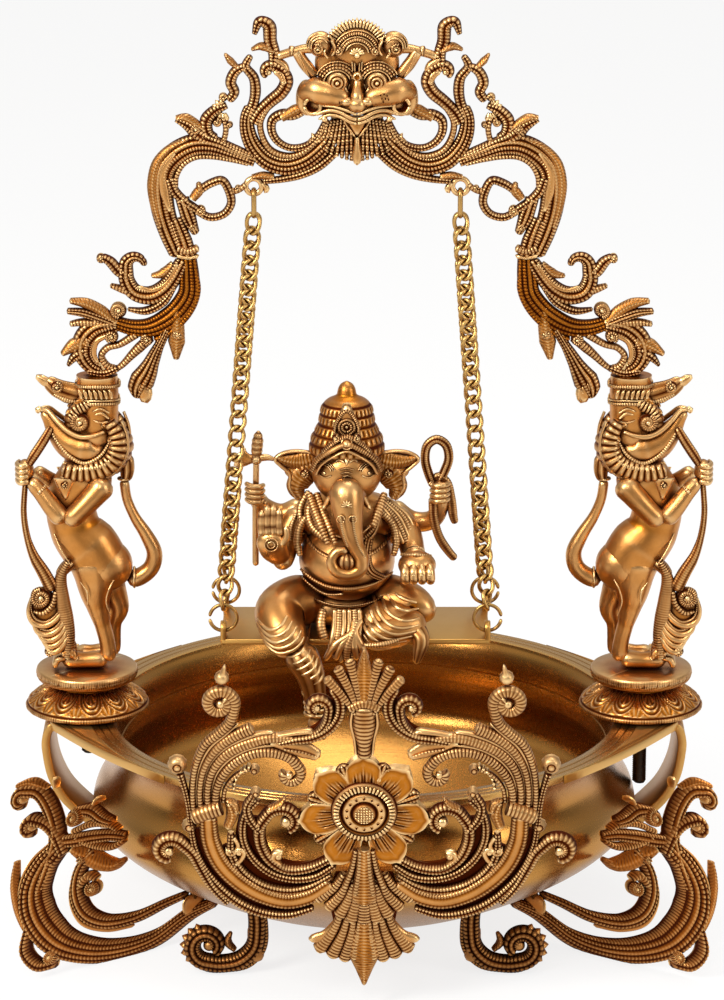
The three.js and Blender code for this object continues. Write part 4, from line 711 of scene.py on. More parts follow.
for edge in (-1, 1):
    ornament += strand([(edge * 4.4, 37), (edge * 5.4, 47), (edge * 7.2, 56), (edge * 6.2, 65)],
                       [1.0, 1.1, 1.2, 1.0], "smooth", y=-2.2, deep=2.6)
ornament += strand([(-8.5, 66), (0, 69), (8.5, 66)], [2.0, 2.6, 2.0], "rope", y=-4.0, cut=1.8)

# palmette below: three tiers of flat strips that fan out and touch each other
TIERS = (
    (0, -21, -57, (4.0, 5.0, 6.6, 7.2), 5.0, "leaf"), (5.0, -22, -50, (1.4, 1.7, 2.0), 5.4, "rope"),
    (10.8, -22, -46, (1.5, 1.8, 2.0), 4.4, "rope"),
    (0, -44, -70, (3.0, 3.9, 4.2), 3.6, "rope"), (7.4, -45, -69, (2.0, 3.4, 3.9), 3.2, "rope"),
    (14.4, -44, -66.5, (2.0, 3.2, 3.8), 2.8, "rope"),
    (21, -42, -61.5, (2.0, 3.2, 3.6), 2.4, "rope"), (27, -39, -56, (2.0, 2.9, 3.3), 2.0, "rope"),
    (0, -60, -111, (3.0, 4.2, 7.4, 9.6, 5.0, 1.0), 1.8, "leaf"),
    (5.6, -60, -94, (1.2, 1.8, 2.6), 1.6, "rope"), (11.4, -60, -96, (1.5, 2.6, 3.8), 1.2, "rope"),
    (18.5, -59, -94, (1.5, 2.8, 4.2), 0.8, "rope"), (26, -58, -90, (1.5, 2.8, 4.4), 0.4, "rope"),
)
for lean, near, far, half, lift, kind in TIERS:
    path = [(0.42 * lean, near), (0.62 * lean, 0.5 * (near + far)), (lean, far)]
    found = strand(path, half, kind, y=-lift, deep=3.0, tip=0.45)
    ornament += both_sides(found) if lean else found
ornament += both_sides(strand([(12, -64), (16, -73), (22.5, -81), (31, -82.5)], [1.6, 2.6, 3.6, 3.8],
                              "smooth", y=0, deep=2.6, tip=1.4))
ornament += web([(0, -40), (0, -56), (0, -76), (0, -90)], [16, 20, 17, 22])

ORNAMENT_TILT = math.radians(9.3)
ORNAMENT_Y = -184
ORNAMENT_Z = 124
FRONT_LIMIT = -200


def on_the_bowl(points):
    """Leans the ornament forward. What stands furthest out is pressed back by half"""
    found = points.copy()
    c, s = math.cos(ORNAMENT_TILT), math.sin(ORNAMENT_TILT)
    forward = points[:, 1] * c - points[:, 2] * s + ORNAMENT_Y
    found[:, 1] = np.where(forward < FRONT_LIMIT, FRONT_LIMIT + (forward - FRONT_LIMIT) * 0.5, forward)
    found[:, 2] = points[:, 1] * s + points[:, 2] * c + ORNAMENT_Z
    return found


cast_brass = brass("cast_brass", "B87020", "FFE0A4", "4C1B06", satin=0.25, reach=5.0, strength=1.2,
                   mottle=0.25)
front_ornament = cast("rosette_ornament", ornament, on_the_bowl)
finish(front_ornament, cast_brass, nodes=["front_ornament"])


# Handles: flat straps cast with wings that lie flush against the lip. The lip's two lines run on along
# them. The strap bends down and is riveted to the belly.
def shell_of(rows):
    rows = np.array(rows, float)
    return shell_grid(rows, np.zeros(rows.shape[:2]))


def handle_shells():
    rim, shoulder, half = 162.8, 184.0, 25.0
    wing = math.radians(46)
    tip = np.array([rim * math.cos(wing), rim * math.sin(wing)])
    near_tip = tip + (np.array([shoulder, half]) - tip) * (0.49, 0.36)
    near_strap = tip + (np.array([shoulder, half]) - tip) * (0.8, 0.75)
    t = np.linspace(0, 1, 26)[:, None]
    ends = np.array([shoulder, half])
    edge = (1 - t) ** 3 * tip + 3 * t * (1 - t) ** 2 * near_tip
    edge += 3 * t * t * (1 - t) * near_strap
    edge += t ** 3 * ends
    outer = np.vstack([edge * (1, -1), [(shoulder, y) for y in np.linspace(-half, half, 12)[1:-1]],
                       edge[::-1]])
    rows = []
    for x, y in outer:
        inner = math.sqrt(max(rim ** 2 - y ** 2, 0))
        room = max(x - inner, 0.4)
        d = np.minimum(np.array([0, 0.5, 1.6, 2.0, 2.5, 3.0, 5.6, 6.0, 6.5, 7.0]),
                       room * np.linspace(0, 0.98, 10))
        drop = np.array([0.5, 0, 0, 0.45, 0.45, 0, 0, 0.45, 0.45, 0])
        top = [(x - a, y, LIP_TOP - b) for a, b in zip(d, drop)] + [(inner, y, LIP_TOP)]
        rows.append(top + [(inner, y, 114.8), (inner + room * 0.5, y, 114.5),
                           (x - min(0.5, room * 0.3), y, 114.5)])
    shells = [shell_of(rows)]
    line = smooth_line([(180, 117), (184.5, 114.4), (186.8, 107), (186.6, 99), (184, 84), (177.5, 70),
                        (168, 59.5), (160.5, 53)], 6)
    count = len(line)
    ahead = np.gradient(line, axis=0)
    ahead /= np.linalg.norm(ahead, axis=1)[:, None]
    normal = np.column_stack([-ahead[:, 1], ahead[:, 0]])
    wide = np.interp(np.linspace(0, 1, count), [0, 0.35, 0.8, 1], [25, 24.6, 19, 18])
    rows = []
    for (x, z), (nx, nz), w in zip(line, normal, wide):
        section = [(1, -0.5), (1, -2), (0.96, -2.5), (0, -2.9), (-0.96, -2.5), (-1, -2), (-1, -0.5),
                   (-1, 2)]
        section += [(-0.98, 2.5), (-0.9, 2.5), (-0.88, 2.1), (-0.86, 2.5), (-0.79, 2.5), (-0.77, 2.1),
                    (-0.75, 2.5), (0, 2.7)]
        section += [(0.75, 2.5), (0.77, 2.1), (0.79, 2.5), (0.86, 2.5), (0.88, 2.1), (0.9, 2.5),
                    (0.98, 2.5), (1, 2)]
        rows.append([(x + nx * h, a * w, z + nz * h) for a, h in section])
    return shells + [shell_of(rows)]


SIDES = (("left", -1), ("right", 1))
handle_brass = brass("handle_brass", "A56E2C", "E4BA74", "6E3C14", satin=0.32, reach=8.0, strength=0.35,
                     mottle=0.0)
for side_name, side_sign in SIDES:
    shells = handle_shells() if side_sign > 0 else mirrored(handle_shells())
    handle = cast("strap_handle_" + side_name, shells)
    finish(handle, handle_brass, nodes=["handle_" + side_name])


# Pedestals: cast lotus stands, each with a plain disc on top, a corded edge, chased petals round the
# flange and a beaded rim. A threaded steel stud runs down from each through the handle to a rough nut.
def lathe(profile, steps, relief, place=(0, 0, 0)):
    """A turned shell whose skin is raised by relief(turn, share along the profile) in millimetres"""
    profile = np.array(profile, float)
    run = np.concatenate([[0], np.cumsum(np.linalg.norm(np.diff(profile, axis=0), axis=1))])
    ahead = np.gradient(profile, axis=0)
    ahead /= np.maximum(np.linalg.norm(ahead, axis=1), 1e-9)[:, None]
    turns = np.linspace(0, 2 * math.pi, steps, endpoint=False)
    tall, marks = relief(turns[None, :] + 0 * run[:, None], run[:, None] + 0 * turns[None, :])
    radius = profile[:, 0:1] + ahead[:, 1:2] * tall
    height = profile[:, 1:2] - ahead[:, 0:1] * tall
    x, y, z = place
    rows = np.stack([x + radius * np.cos(turns), y + radius * np.sin(turns), z + height + 0 * turns], -1)
    return shell_grid(rows, marks)


PEDESTAL_X, PEDESTAL_Z = 163.5, 119.8
PETAL_COUNT = 11
RIM_BEADS, CORD_TWISTS, EDGE_NOTCHES = 78, 66, 60
under = [(4, 0.4), (30, 0.2), (33.5, 0.6)]
rim_edge = smooth_line([(33.5, 0.6), (35.4, 1.6), (36, 3.2), (35.2, 4.8)], 4)
petal_run = smooth_line([(35.2, 4.8), (31, 8.4), (26.5, 11), (22, 13), (19, 14.4)], 14)
cord = smooth_line([(19, 14.4), (19.2, 16.2), (22.5, 17.8), (27, 18.8), (28.6, 19.4), (29, 21),
                    (28.6, 22.4)], 4)
disc_edge = [(29.3, 23), (29.6, 23.8), (29.5, 25.2), (29, 25.8), (20, 26), (1, 26)]
pedestal_line = np.vstack([under[:2], rim_edge, petal_run[1:], cord[1:], disc_edge])
pedestal_run = np.concatenate([[0], np.cumsum(np.linalg.norm(np.diff(pedestal_line, axis=0), axis=1))])
RIM_AT = pedestal_run[2 + len(rim_edge) // 2]
PETALS_FROM = pedestal_run[1 + len(rim_edge)]
PETALS_TO = pedestal_run[len(rim_edge) + len(petal_run)]
CORD_AT = pedestal_run[-9]
EDGE_AT = pedestal_run[-6] - 0.4


def lotus(turn, run):
    """Petals as three arcs round a small fan, with a cord above and beads below"""
    share = (PETALS_TO - run) / (PETALS_TO - PETALS_FROM)
    sector = turn * PETAL_COUNT / (2 * math.pi)
    across = 2 * np.abs(sector - np.floor(sector) - 0.5)
    arch = np.sqrt(across ** 2 + (share * 1.02) ** 2)
    corner = np.abs(np.sin(4.5 * np.arctan2(1 - across, 1.15 - share)))
    arcs = 0.5 + 0.5 * np.cos(2 * math.pi * (arch - 0.95) / 0.19)
    fan = 0.5 + 0.5 * np.cos(8 * np.arctan2(across, share + 0.05))
    inside_arcs = (arch > 0.5) & (arch < 1.01)
    tall = np.where(inside_arcs, arcs, np.where(arch <= 0.5, 0.85 * fan, 0.15 + 0.75 * corner))
    on = ((share > 0) & (share < 1)).astype(float)

    def near(at, width):
        return np.exp(-((run - at) / width) ** 2)

    beads = np.abs(np.sin(turn * RIM_BEADS))
    twists = np.abs(np.sin(turn * CORD_TWISTS + 0.8 * (run - CORD_AT)))
    notches = np.abs(np.sin(turn * EDGE_NOTCHES))
    groove = near(PETALS_FROM - 0.3, 0.5)
    raised = 0.95 * on * tall - 0.5 * groove
    raised += 0.7 * beads * near(RIM_AT, 1.5) + 0.8 * twists * near(CORD_AT, 1.5)
    raised += 0.8 * notches * near(EDGE_AT, 1.3)
    hollow = on * np.clip(0.7 - 1.4 * tall, 0, 1) + groove + 0.8 * (1 - beads) * near(RIM_AT, 1.8)
    hollow += 0.8 * (1 - twists) * near(CORD_AT, 1.8) + 0.8 * (1 - notches) * near(EDGE_AT, 1.7)
    return raised, np.clip(hollow, 0, 1)


def thread(turn, run):
    """A rolled thread on the stud, dark in its grooves"""
    phase = (run / 1.25 - turn / (2 * math.pi)) % 1.0
    tall = np.abs(2 * phase - 1)
    return 0.55 * tall - 0.45, 0.5 * (1 - tall)


def six_flats(turn, run):
    """The six flats of a nut"""
    off = (turn + math.pi / 6) % (math.pi / 3) - math.pi / 6
    chamfer = np.clip(np.minimum(run - 7.0, 22.5 - run) / 1.0, 0, 1)
    return (7.3 / np.cos(off) - 8.2) * chamfer + 0.12 * np.sin(7 * turn + run), 0 * turn


steel = bpy.data.materials.new("oiled_steel")
steel.use_nodes = True
steel_surface = steel.node_tree.nodes["Principled BSDF"]
steel_surface.inputs["Metallic"].default_value = 1.0
steel_tree = steel.node_tree
oil = node(steel_tree, "ShaderNodeTexNoise", {"Scale": 260.0, "Detail": 4.0})
oil_tint = node(steel_tree, "ShaderNodeMix", {
    "Factor": oil.outputs["Fac"], "A": (0.035, 0.03, 0.027, 1), "B": (0.11, 0.085, 0.065, 1),
}, data_type="RGBA")
steel_tree.links.new(oil_tint.outputs["Result"], steel_surface.inputs["Base Color"])
oil_gloss = node(steel_tree, "ShaderNodeMapRange", {
    "Value": oil.outputs["Fac"], "To Min": 0.3, "To Max": 0.6,
})
steel_tree.links.new(oil_gloss.outputs[0], steel_surface.inputs["Roughness"])

for side_name, side_sign in SIDES:
    stand_shell = [lathe(pedestal_line, 288, lotus, (side_sign * PEDESTAL_X, 0, PEDESTAL_Z))]
    stand = cast("lotus_pedestal_" + side_name, stand_shell)
    finish(stand, cast_brass, nodes=["pedestal_" + side_name])
    reach = 40 if side_sign < 0 else 59
    low = 131.5 - reach
    threaded = [(4.1, z) for z in np.arange(low + 1.5, 131, 0.22)]
    rod_line = [(0.5, low), (3.0, low + 0.1), (3.9, low + 1.2)] + threaded + [(3.6, 131.4), (0.5, 131.5)]
    rod = lathe(rod_line, 16, thread, (side_sign * PEDESTAL_X, 0, 0))
    stud = cast("threaded_stud_" + side_name, [rod])
    finish(stud, steel, nodes=["stud_" + side_name])
    nut_line = np.array([(4.6, 101), (7.4, 101), (8.2, 102), (8.2, 108), (7.4, 109), (4.6, 109)])
    nut_line = resampled(nut_line, 0.8)[0]
    nut_line = np.vstack([nut_line, [(4.6, 108), (4.6, 102)]])
    nut = cast("rough_nut_" + side_name, [lathe(nut_line, 36, six_flats, (side_sign * PEDESTAL_X, 0, 0))])
    finish(nut, turned_brass, nodes=["stud_nut_" + side_name])


# Arch: two wings and a crown, cast flat and chased on both faces. Its bands are bundles of beaded cords
# with plain ones between. The crown holds the lion face and, at each side, a pierced ear for the swing.
ARCH_FOOT = 323.4
ARCH_LEAN = -4.0
COLLAR = 69.0


def limb(path, radii, kind="smooth", flat=1.0, around=14, cut=1.4, deep=0.35, fold=0, up=(0, 1, 0),
         parts=6):
    """A round cast limb along a line in space. Rings cross it, or beaded cords run along it"""
    line = smooth_line(path, parts)
    ringed = kind in ("rope", "pleat")
    plain_gap = max(0.8, min(radii[0], 4) * 0.45)
    line, arc = resampled(line, cut / 3 if ringed or kind == "cords" else plain_gap)
    share = arc / arc[-1]
    radius = np.interp(share, np.linspace(0, 1, len(radii)), radii)
    near_end = np.minimum(arc, arc[-1] - arc) / np.maximum(radius, 0.1)
    radius = radius * np.sqrt(np.clip(1 - (1 - np.clip(near_end, 0, 1)) ** 2, 0.02, 1))
    ahead = np.gradient(line, axis=0)
    ahead /= np.maximum(np.linalg.norm(ahead, axis=1), 1e-9)[:, None]
    across = np.cross(ahead, np.array(up, float))
    bad = np.linalg.norm(across, axis=1) < 0.2
    across[bad] = np.cross(ahead[bad], [0.0, 0.0, 1.0])
    across /= np.linalg.norm(across, axis=1)[:, None]
    front = np.cross(across, ahead)
    turns = np.linspace(0, 2 * math.pi, around, endpoint=False)
    beat = np.abs(np.sin(math.pi * arc / cut))[:, None] + 0 * turns
    lobe = np.abs(np.sin(fold * turns / 2))[None, :] + 0 * arc[:, None]
    tall, marks = 0 * beat, 0 * beat
    if ringed:
        tall, marks = deep * beat, 0.8 * (1 - beat)
    elif kind == "cords":
        tall = deep * 2 * lobe ** 0.7 * (0.65 + 0.35 * beat)
        marks = np.clip(1 - 1.1 * lobe + 0.4 * lobe * (1 - beat), 0, 1)
    elif kind == "folds":
        tall, marks = deep * lobe, 0.8 * (1 - lobe)
    grown = radius[:, None] + tall
    c, s = np.cos(turns)[None, :, None], (flat * np.sin(turns))[None, :, None]
    out = across[:, None, :] * c + front[:, None, :] * s
    return [shell_grid(line[:, None, :] + grown[:, :, None] * out, marks)]


def blob(centre, radii, around=24, down=14, relief=None):
    """A rounded lump with its poles up and down; relief(turn, dip) raises its skin"""
    dips = np.linspace(-math.pi / 2, math.pi / 2, down + 2)[1:-1]
    turns = np.linspace(0, 2 * math.pi, around, endpoint=False)
    dip, turn = np.meshgrid(dips, turns, indexing="ij")
    tall, marks = relief(turn, dip) if relief else (0 * turn, 0 * turn)
    unit = np.stack([np.cos(dip) * np.cos(turn), np.cos(dip) * np.sin(turn), np.sin(dip)], -1)
    rows = np.array(centre, float) + unit * (np.array(radii, float) + tall[:, :, None])
    return [shell_grid(rows, marks)]


def arc_of(centre, radius, start, stop, count=9, flat=1.0):
    """Points on part of a circle, pressed flat where asked"""
    angles = np.radians(np.linspace(start, stop, count))
    return [(centre[0] + radius * math.cos(a), centre[1] + flat * radius * math.sin(a)) for a in angles]


def snail(centre, radius, y, turns=1.6, start=90, side=1, half=1.3, lift=1.2):
    """A rolled-up curl: a cord wound in to a bead, on a small cushion"""
    steps = np.linspace(0, 1, 18)
    angles = np.radians(start + side * 360 * turns * steps)
    radii = (radius - half) * (1 - 0.78 * steps)
    path = [(centre[0] + r * math.cos(a), centre[1] + r * math.sin(a)) for r, a in zip(radii, angles)]
    found = strand(path, [half, half, half * 0.7], "rope", y=y - lift, deep=1.7, cut=1.2)
    found.append(boss(centre, [(0, lift + 2.4), (radius * 0.16, lift + 2.2), (radius * 0.26, lift + 0.8)],
                      y=y, back=1.5, steps=10))
    found.append(boss(centre, [(0, lift, 1), (radius * 0.75, lift, 1), (radius * 0.86, 0, 0.5)], y=y,
                      back=2.4, steps=18))
    return found


def band(path, half, cords, y=0.0, curl=None, eye=None):
    """A bundle of beaded cords, about three millimetres apart"""
    return strand(path, half, str(cords), y=y, deep=3.0, curl=curl, eye=eye, tip=0.5)


wing = []
wing += band([(97, 75), (97, 58), (98, 48), (103, 40), (111, 33), (122, 28), (132, 28), (142, 31)],
             [4.5, 5.8, 6.6, 6.4, 5.4, 4.2], 4, y=-0.3)
wing += strand([(94, 72), (93, 60), (92.5, 50), (96, 40), (103, 31), (110, 25.5), (120, 21)],
               [1.4, 1.6, 1.7, 1.6], "rope", y=-0.2)
wing += band([(100, 68), (106, 58), (112, 51), (120, 47), (129, 49), (133, 56), (133, 64)],
             [4, 5, 5.6, 5, 4, 1.8], 3, curl=(6.4, 4, 190), y=-0.6)
wing += strand([(103, 66), (110, 55), (119, 50.5), (127, 53)], [1.2, 1.3, 1.3, 1.2], "smooth", y=-3.4,
               deep=1.0)
wing += band([(106, 52), (113, 43), (123, 38), (134, 39)], [1.5, 2.6, 2.6, 1.2], 2, y=-0.4)
wing += band([(131, 58), (137, 61), (142, 67), (147, 70)], [3, 3.5, 3.4, 2.4], 2)
wing += snail((147, 69), 3.0, -0.6, 1.2, 200, 1)
wing += strand([(131, 49), (137, 51), (143, 53)], [3, 2.4, 1.4], "rope")
wing += strand([(141, 31), (150, 38.5), (158, 42.5), (167, 44)], [2.6, 3.6, 3.4, 1.6], "leaf", y=-0.4)
wing += strand([(141, 30), (151, 34), (160, 37), (169, 38)], [2.6, 2.8, 2.8, 1.8], "3", y=-0.8)
wing += strand([(143, 29), (153, 30.5), (162, 31), (168, 30)], [2.2, 2.6, 2.6, 1.6], "rope", y=-0.4)
wing += band([(141, 30), (153, 27), (160, 20), (161, 12), (157, 5), (151, 2)],
             [4.6, 6.4, 7, 6.6, 5.4, 4.2], 4, y=-0.2)
wing += strand([(146, 24), (153, 20), (155, 13), (153, 7)], [1.4, 1.6, 1.6, 1.2], "smooth", y=-3.0,
               deep=1.2)
wing += strand([(158, 20), (166, 17.5), (174, 12)], [4.6, 4.2, 1.4], "leaf", y=-0.3)
wing += strand([(160, 14), (167, 10), (171, 5)], [3.2, 3.0, 1.0], "2", y=-0.1)
wing += strand([(130, 24), (140, 18), (147, 16), (151, 11), (148, 5), (143, 3)], [2.5, 2.1, 2.1, 2.5],
               "rope")
wing += strand([(112, 27), (119, 14), (125, 2), (130, -7), (132, -14)], [2.6, 3, 4.6, 7.4, 5.6], "4",
               y=-0.2, tip=0.8)
wing += strand([(131, -4), (127, -13), (129, -16)], [1.4, 5.6, 3.0], "smooth", y=-1.2, deep=2.6)
wing += strand([(122, 22), (133, 12), (139, 6), (143, 3)], [3, 3, 2.2, 1.6], "rope")
wing += strand([(106, 40), (106, 30), (107, 20), (108, 9)], [2.6, 4.2, 5.0, 1.6], "leaf", y=-0.2)
wing += snail((106, 24), 3.4, -1.6, 1.3, 60, -1)
wing += strand([(106, 66), (112, 60), (119, 58.5)], [1.6, 3, 1.2], "leaf")
wing += snail((139, 38.5), 5.4, -1.4, 1.7, -90, 1, 1.4)
wing += snail((144, 23), 4.4, -2.2, 1.6, -60, 1, 1.2)
wing += snail((124, 21), 4.2, -1.4, 1.6, 90, -1, 1.2)
wing += band([(142, 4), (150, 1), (160, 2.4)], [2.0, 2.6, 1.8], 2, y=-1)
wing.append(boss((154.5, 3), [(0, 3.0), (5.4, 2.6), (5.8, 0)], back=3, steps=24))


def on_the_arch(side):
    def move(points):
        found = points.copy()
        share = np.clip(points[:, 2] / COLLAR, 0, 1)
        found[:, 0] = side * points[:, 0] + ARCH_LEAN * share
        found[:, 2] += ARCH_FOOT
        return found
    return move


def cut_off(shells, level, above=True):
    """Squashes what lies past a level flat against it, so that the casting is cut straight there"""
    found = []
    for points, faces, marks in shells:
        spot = points.copy()
        if above:
            spot[:, 2] = np.where(spot[:, 0] < 122, np.minimum(spot[:, 2], level), spot[:, 2])
        else:
            spot[:, 2] = np.maximum(spot[:, 2], level)
        if np.ptp(spot[:, 2]) > 0.05:
            found.append((spot, faces, marks))
    return found


wing = cut_off(wing, COLLAR - 0.15)
for side_name, side_sign in SIDES:
    wing_piece = cast("scroll_wing_" + side_name, wing, on_the_arch(side_sign))
    finish(wing_piece, cast_brass, nodes=["arch_wing_" + side_name])

EAR_U, EAR_V = 59.0, 111.0
crown = []
# the two lower bundles, from the beard out to the ears and up into the scroll
crown += band([(10, 133), (21, 123), (31, 118), (42, 115.4), (54, 114)], [2.4, 2.6, 2.4, 1.9], 2, y=-0.2)
crown += band([(12, 144), (22, 132), (31, 125.4), (41, 123), (51, 126), (58, 133), (62, 142), (62.5, 151),
               (60, 158)], [5, 5.6, 5.8, 5.4, 4.6, 3.6], 4, y=-0.4)
crown += strand([(17, 150), (22, 139.5), (30, 131.5), (39, 129), (48.5, 132), (53.5, 139), (55, 148),
                 (51, 156), (44.5, 162.5)], [1.2, 1.7, 1.9, 1.9, 1.6], "rope", y=-1.0)
crown += band([(59, 148), (55.5, 154), (49.5, 160), (42.6, 166), (40, 172), (42.6, 178), (47, 180.6)],
              [3.4, 3.6, 3.9, 4.0, 3.4, 2.4], 2, y=-0.8, curl=(4.2, 2.2, -200), eye=1.8)
crown += strand([(41, 171), (43.5, 176), (47.5, 178)], [1.4, 2.2, 1.2], "smooth", y=-3.4, deep=1.4)
crown += band([(18, 148), (22.5, 140), (29, 134.6), (38, 133.4), (45, 137), (48.5, 143), (48, 149.5),
               (43, 152.6), (36, 152.6), (26, 158)], [2.0, 2.2, 2.2, 2.6, 3.4, 2.6], 2, y=-0.2)
crown += strand([(43, 151), (35, 155.4), (27, 159.6)], [2.6, 3.4, 1.2], "leaf", y=-1.2)
crown += strand([(28, 136), (24.6, 139.6), (26, 142)], [1.2, 1.6, 1.0], "smooth", y=-0.4)
# the stalk with its pierced loop, and the shell fan
crown += band([(62, 152), (58.6, 160), (57.6, 167), (58.6, 174), (63, 180.6), (60, 187)],
              [3, 3, 3.2, 3.0, 2.6, 1.8], 2, y=-0.6)
crown += band([(62.5, 181), (69, 177.4), (71.6, 171), (69.6, 165.6), (73, 160.4)], [2, 3, 3.2, 3.0, 2.6],
              2, y=-0.4)
crown += strand([(68, 180), (72, 184), (75, 188)], [1.6, 2.2, 0.8], "leaf", y=-0.6)
for k in range(8):
    turn = math.radians(75 - 26 * k)
    fan = [(75.6 + r * math.cos(turn), 155.4 + r * math.sin(turn)) for r in (2, 7.4)]
    crown += strand(fan, [0.8, 1.7, 1.4], "smooth", y=-0.6, deep=2.2)
crown += snail((76, 162.6), 3.0, -1.2, 1.2, 180, -1, 1.0)
crown += snail((79.6, 148.4), 3.2, -1.2, 1.4, 90, 1, 1.0)
crown += band([(74, 158), (80.6, 155), (85.6, 149), (84.6, 142), (79.6, 138.6)],
              [2.0, 3.4, 4.0, 3.4, 2.4], 2, y=-0.3)
crown += strand([(76, 151), (74.6, 144), (76, 136.6)], [1.5, 1.7, 1.7], "rope", y=-0.2)
crown += snail((72.4, 146.6), 2.2, -0.4, 1.1, -90, 1, 0.8)
# the curled leaf on the shoulder, and the outer bundle down to the collar
crown += band([(103, 150), (96, 146.4), (88, 140), (78, 136), (68, 131), (60, 128)],
              [1.6, 4.4, 3.2, 2.5, 2.2], 2, y=-0.7)
crown += strand([(103, 151), (97.6, 151), (91.6, 147.6), (87, 144)], [1.4, 2.8, 2.6, 1.2], "leaf", y=-1.2)
crown += snail((91.6, 144.4), 3.6, -1.8, 1.4, 90, -1, 1.1)
crown += band([(58, 126), (71, 131), (83, 135), (93, 135), (103, 130), (110, 122), (112, 112), (111, 98),
               (107, 84), (101, 70)], [3.8, 5, 6.4, 7, 7.4, 7, 6.5, 6], 4, y=-0.3)
crown += strand([(62, 124), (72, 126.6), (83, 128.4), (92, 128), (99, 124), (103, 117), (103.6, 110)],
                [1.2, 1.6, 1.7, 1.7, 1.5], "rope", y=-0.6)
crown += strand([(96, 138.6), (106, 134), (113.6, 125.6), (116.6, 114), (115.6, 100), (112, 87)],
                [1.0, 2.2, 3.0, 3.2, 2.6, 1.2], "leaf", y=-1.4)
crown += strand([(104, 131), (110.6, 120), (110, 108), (106.6, 96)], [1.4, 2.6, 3.0, 1.2], "smooth",
                y=-2.6, deep=2.0)
crown += band([(107, 116), (104, 108), (98, 102), (92, 98), (87, 94)], [3, 3, 2.6, 2.0], 2, y=-0.6)
# the loop that links to the ear
crown += band([(92, 97), (84, 93), (76, 95), (72, 101), (73, 108), (77, 114.4), (83, 113), (88, 110),
               (94, 105)], [2.4, 2.4, 2.6, 2.6, 2.4], 2, y=-0.3)
crown += snail((89.6, 97), 3.6, -1.4, 1.5, 90, 1, 1.1)
crown += strand([(94, 104), (90, 109.6), (90.6, 114)], [2.4, 3.0, 1.2], "leaf", y=-1.6)
crown += band([(100, 104), (96, 92), (92, 83)], [4, 4.6, 2.2], 3, y=-0.3)
crown += snail((93.6, 87), 2.8, -1.4, 1.3, 0, 1, 0.9)
crown += band([(104, 92), (99.6, 80), (96, 66)], [4, 5, 5], 3, y=-0.6)
crown += strand([(103, 75.6), (96.6, 73.6), (90.6, 75.6)], [2.4, 2.6, 2.4], "rope", y=-1.8, deep=3.8)
crown += strand([(103, 71), (96.6, 69.6), (90.6, 71)], [1.6, 1.8, 1.6], "smooth", y=-1.8, deep=3.6)
# arms beside the head, with their leafy finials
crown += strand([(20, 190), (29, 190.6), (36, 189), (46, 186)], [3, 2.6, 2.5], "smooth", y=-1.2, deep=3.2)
crown += strand([(36, 189), (37, 189.2), (39, 189)], [3.0, 3.2, 3.0], "rope", y=-1.6)
crown += band([(58, 199), (55, 206), (50, 204), (49, 195), (47, 188), (48, 180)],
              [1.5, 3, 4, 3.8, 3.4, 2.4], 2, y=-0.5)
crown += strand([(47, 189), (54, 192), (60, 190)], [1.6, 2.6, 1.0], "leaf", y=-1.0)
crown += strand([(47, 185), (41, 181), (39, 176.6)], [1.8, 2.2, 1.4], "smooth", y=-0.8)
crown += strand([(34, 189), (29.6, 182), (23, 174)], [3.2, 3.6, 3.0], "smooth", y=-1.6)
crown += strand([(33, 188), (30, 180), (26.6, 175)], [0.7, 1.0, 0.7], "smooth", y=-4.6, deep=0.8)


def ring_faces(rings, around):
    """Faces over rings of so many points each, where the last ring joins the first"""
    faces = []
    for i in range(rings):
        j = (i + 1) % rings
        for a in range(around):
            b = (a + 1) % around
            faces.append((i * around + a, i * around + b, j * around + b, j * around + a))
    return faces


def eyelet(u, v):
    """A pierced ear: a ring with a rounded edge and an open hole"""
    section = [(3.0, -1.2), (3.2, -1.7), (4.4, -2.0), (5.6, -1.6), (6.1, -0.6)]
    section += [(r, -y) for r, y in reversed(section)]
    points = []
    for t in np.linspace(0, 2 * math.pi, 28, endpoint=False):
        points += [(u + r * math.cos(t), y, v + r * math.sin(t)) for r, y in section]
    return np.array(points), ring_faces(28, len(section)), np.zeros(len(points))


crown.append(eyelet(EAR_U, EAR_V))
crown += strand([(EAR_U + 4.4, EAR_V + 1), (68, 108.6), (73.6, 108)], [1.8, 1.7, 2.4], "rope", deep=2.2)
crown += snail((68, 109.6), 2.2, 0.2, 1.1, 0, 1, 0.7)
crown += strand([(EAR_U + 1, EAR_V + 5.6), (EAR_U - 5, EAR_V + 6.4), (EAR_U - 12, EAR_V + 5.4)],
                [1.4, 2.4, 2.4], "leaf", deep=2.6, y=-0.4)
crown += strand([(EAR_U - 5, EAR_V + 2), (EAR_U - 7.4, EAR_V - 1.6), (EAR_U - 6, EAR_V - 4)],
                [1.4, 2.0, 1.4], "smooth", deep=2.2)
crown = both_sides(crown)

# the lion face: bulging ringed eyes under beaded brows, broad nose, smooth cheeks and a hanging tongue
EYE_U, EYE_V = 11.2, 173.2
face = blob((0, 0.5, 182), (24, 8, 22), 40, 20)
DOME = (15.6, 8.6)
for muzzle_u in (-12, 12):
    face += blob((muzzle_u, -3.4, 159.6), (17, 7.4, 7.6), 30, 14)
face += blob((0, -0.5, 189), (DOME[0], DOME[1], DOME[0]), 40, 16)


def on_the_dome(radius):
    return -0.9 - DOME[1] * math.sqrt(max(0.0, 1 - (radius / DOME[0]) ** 2))


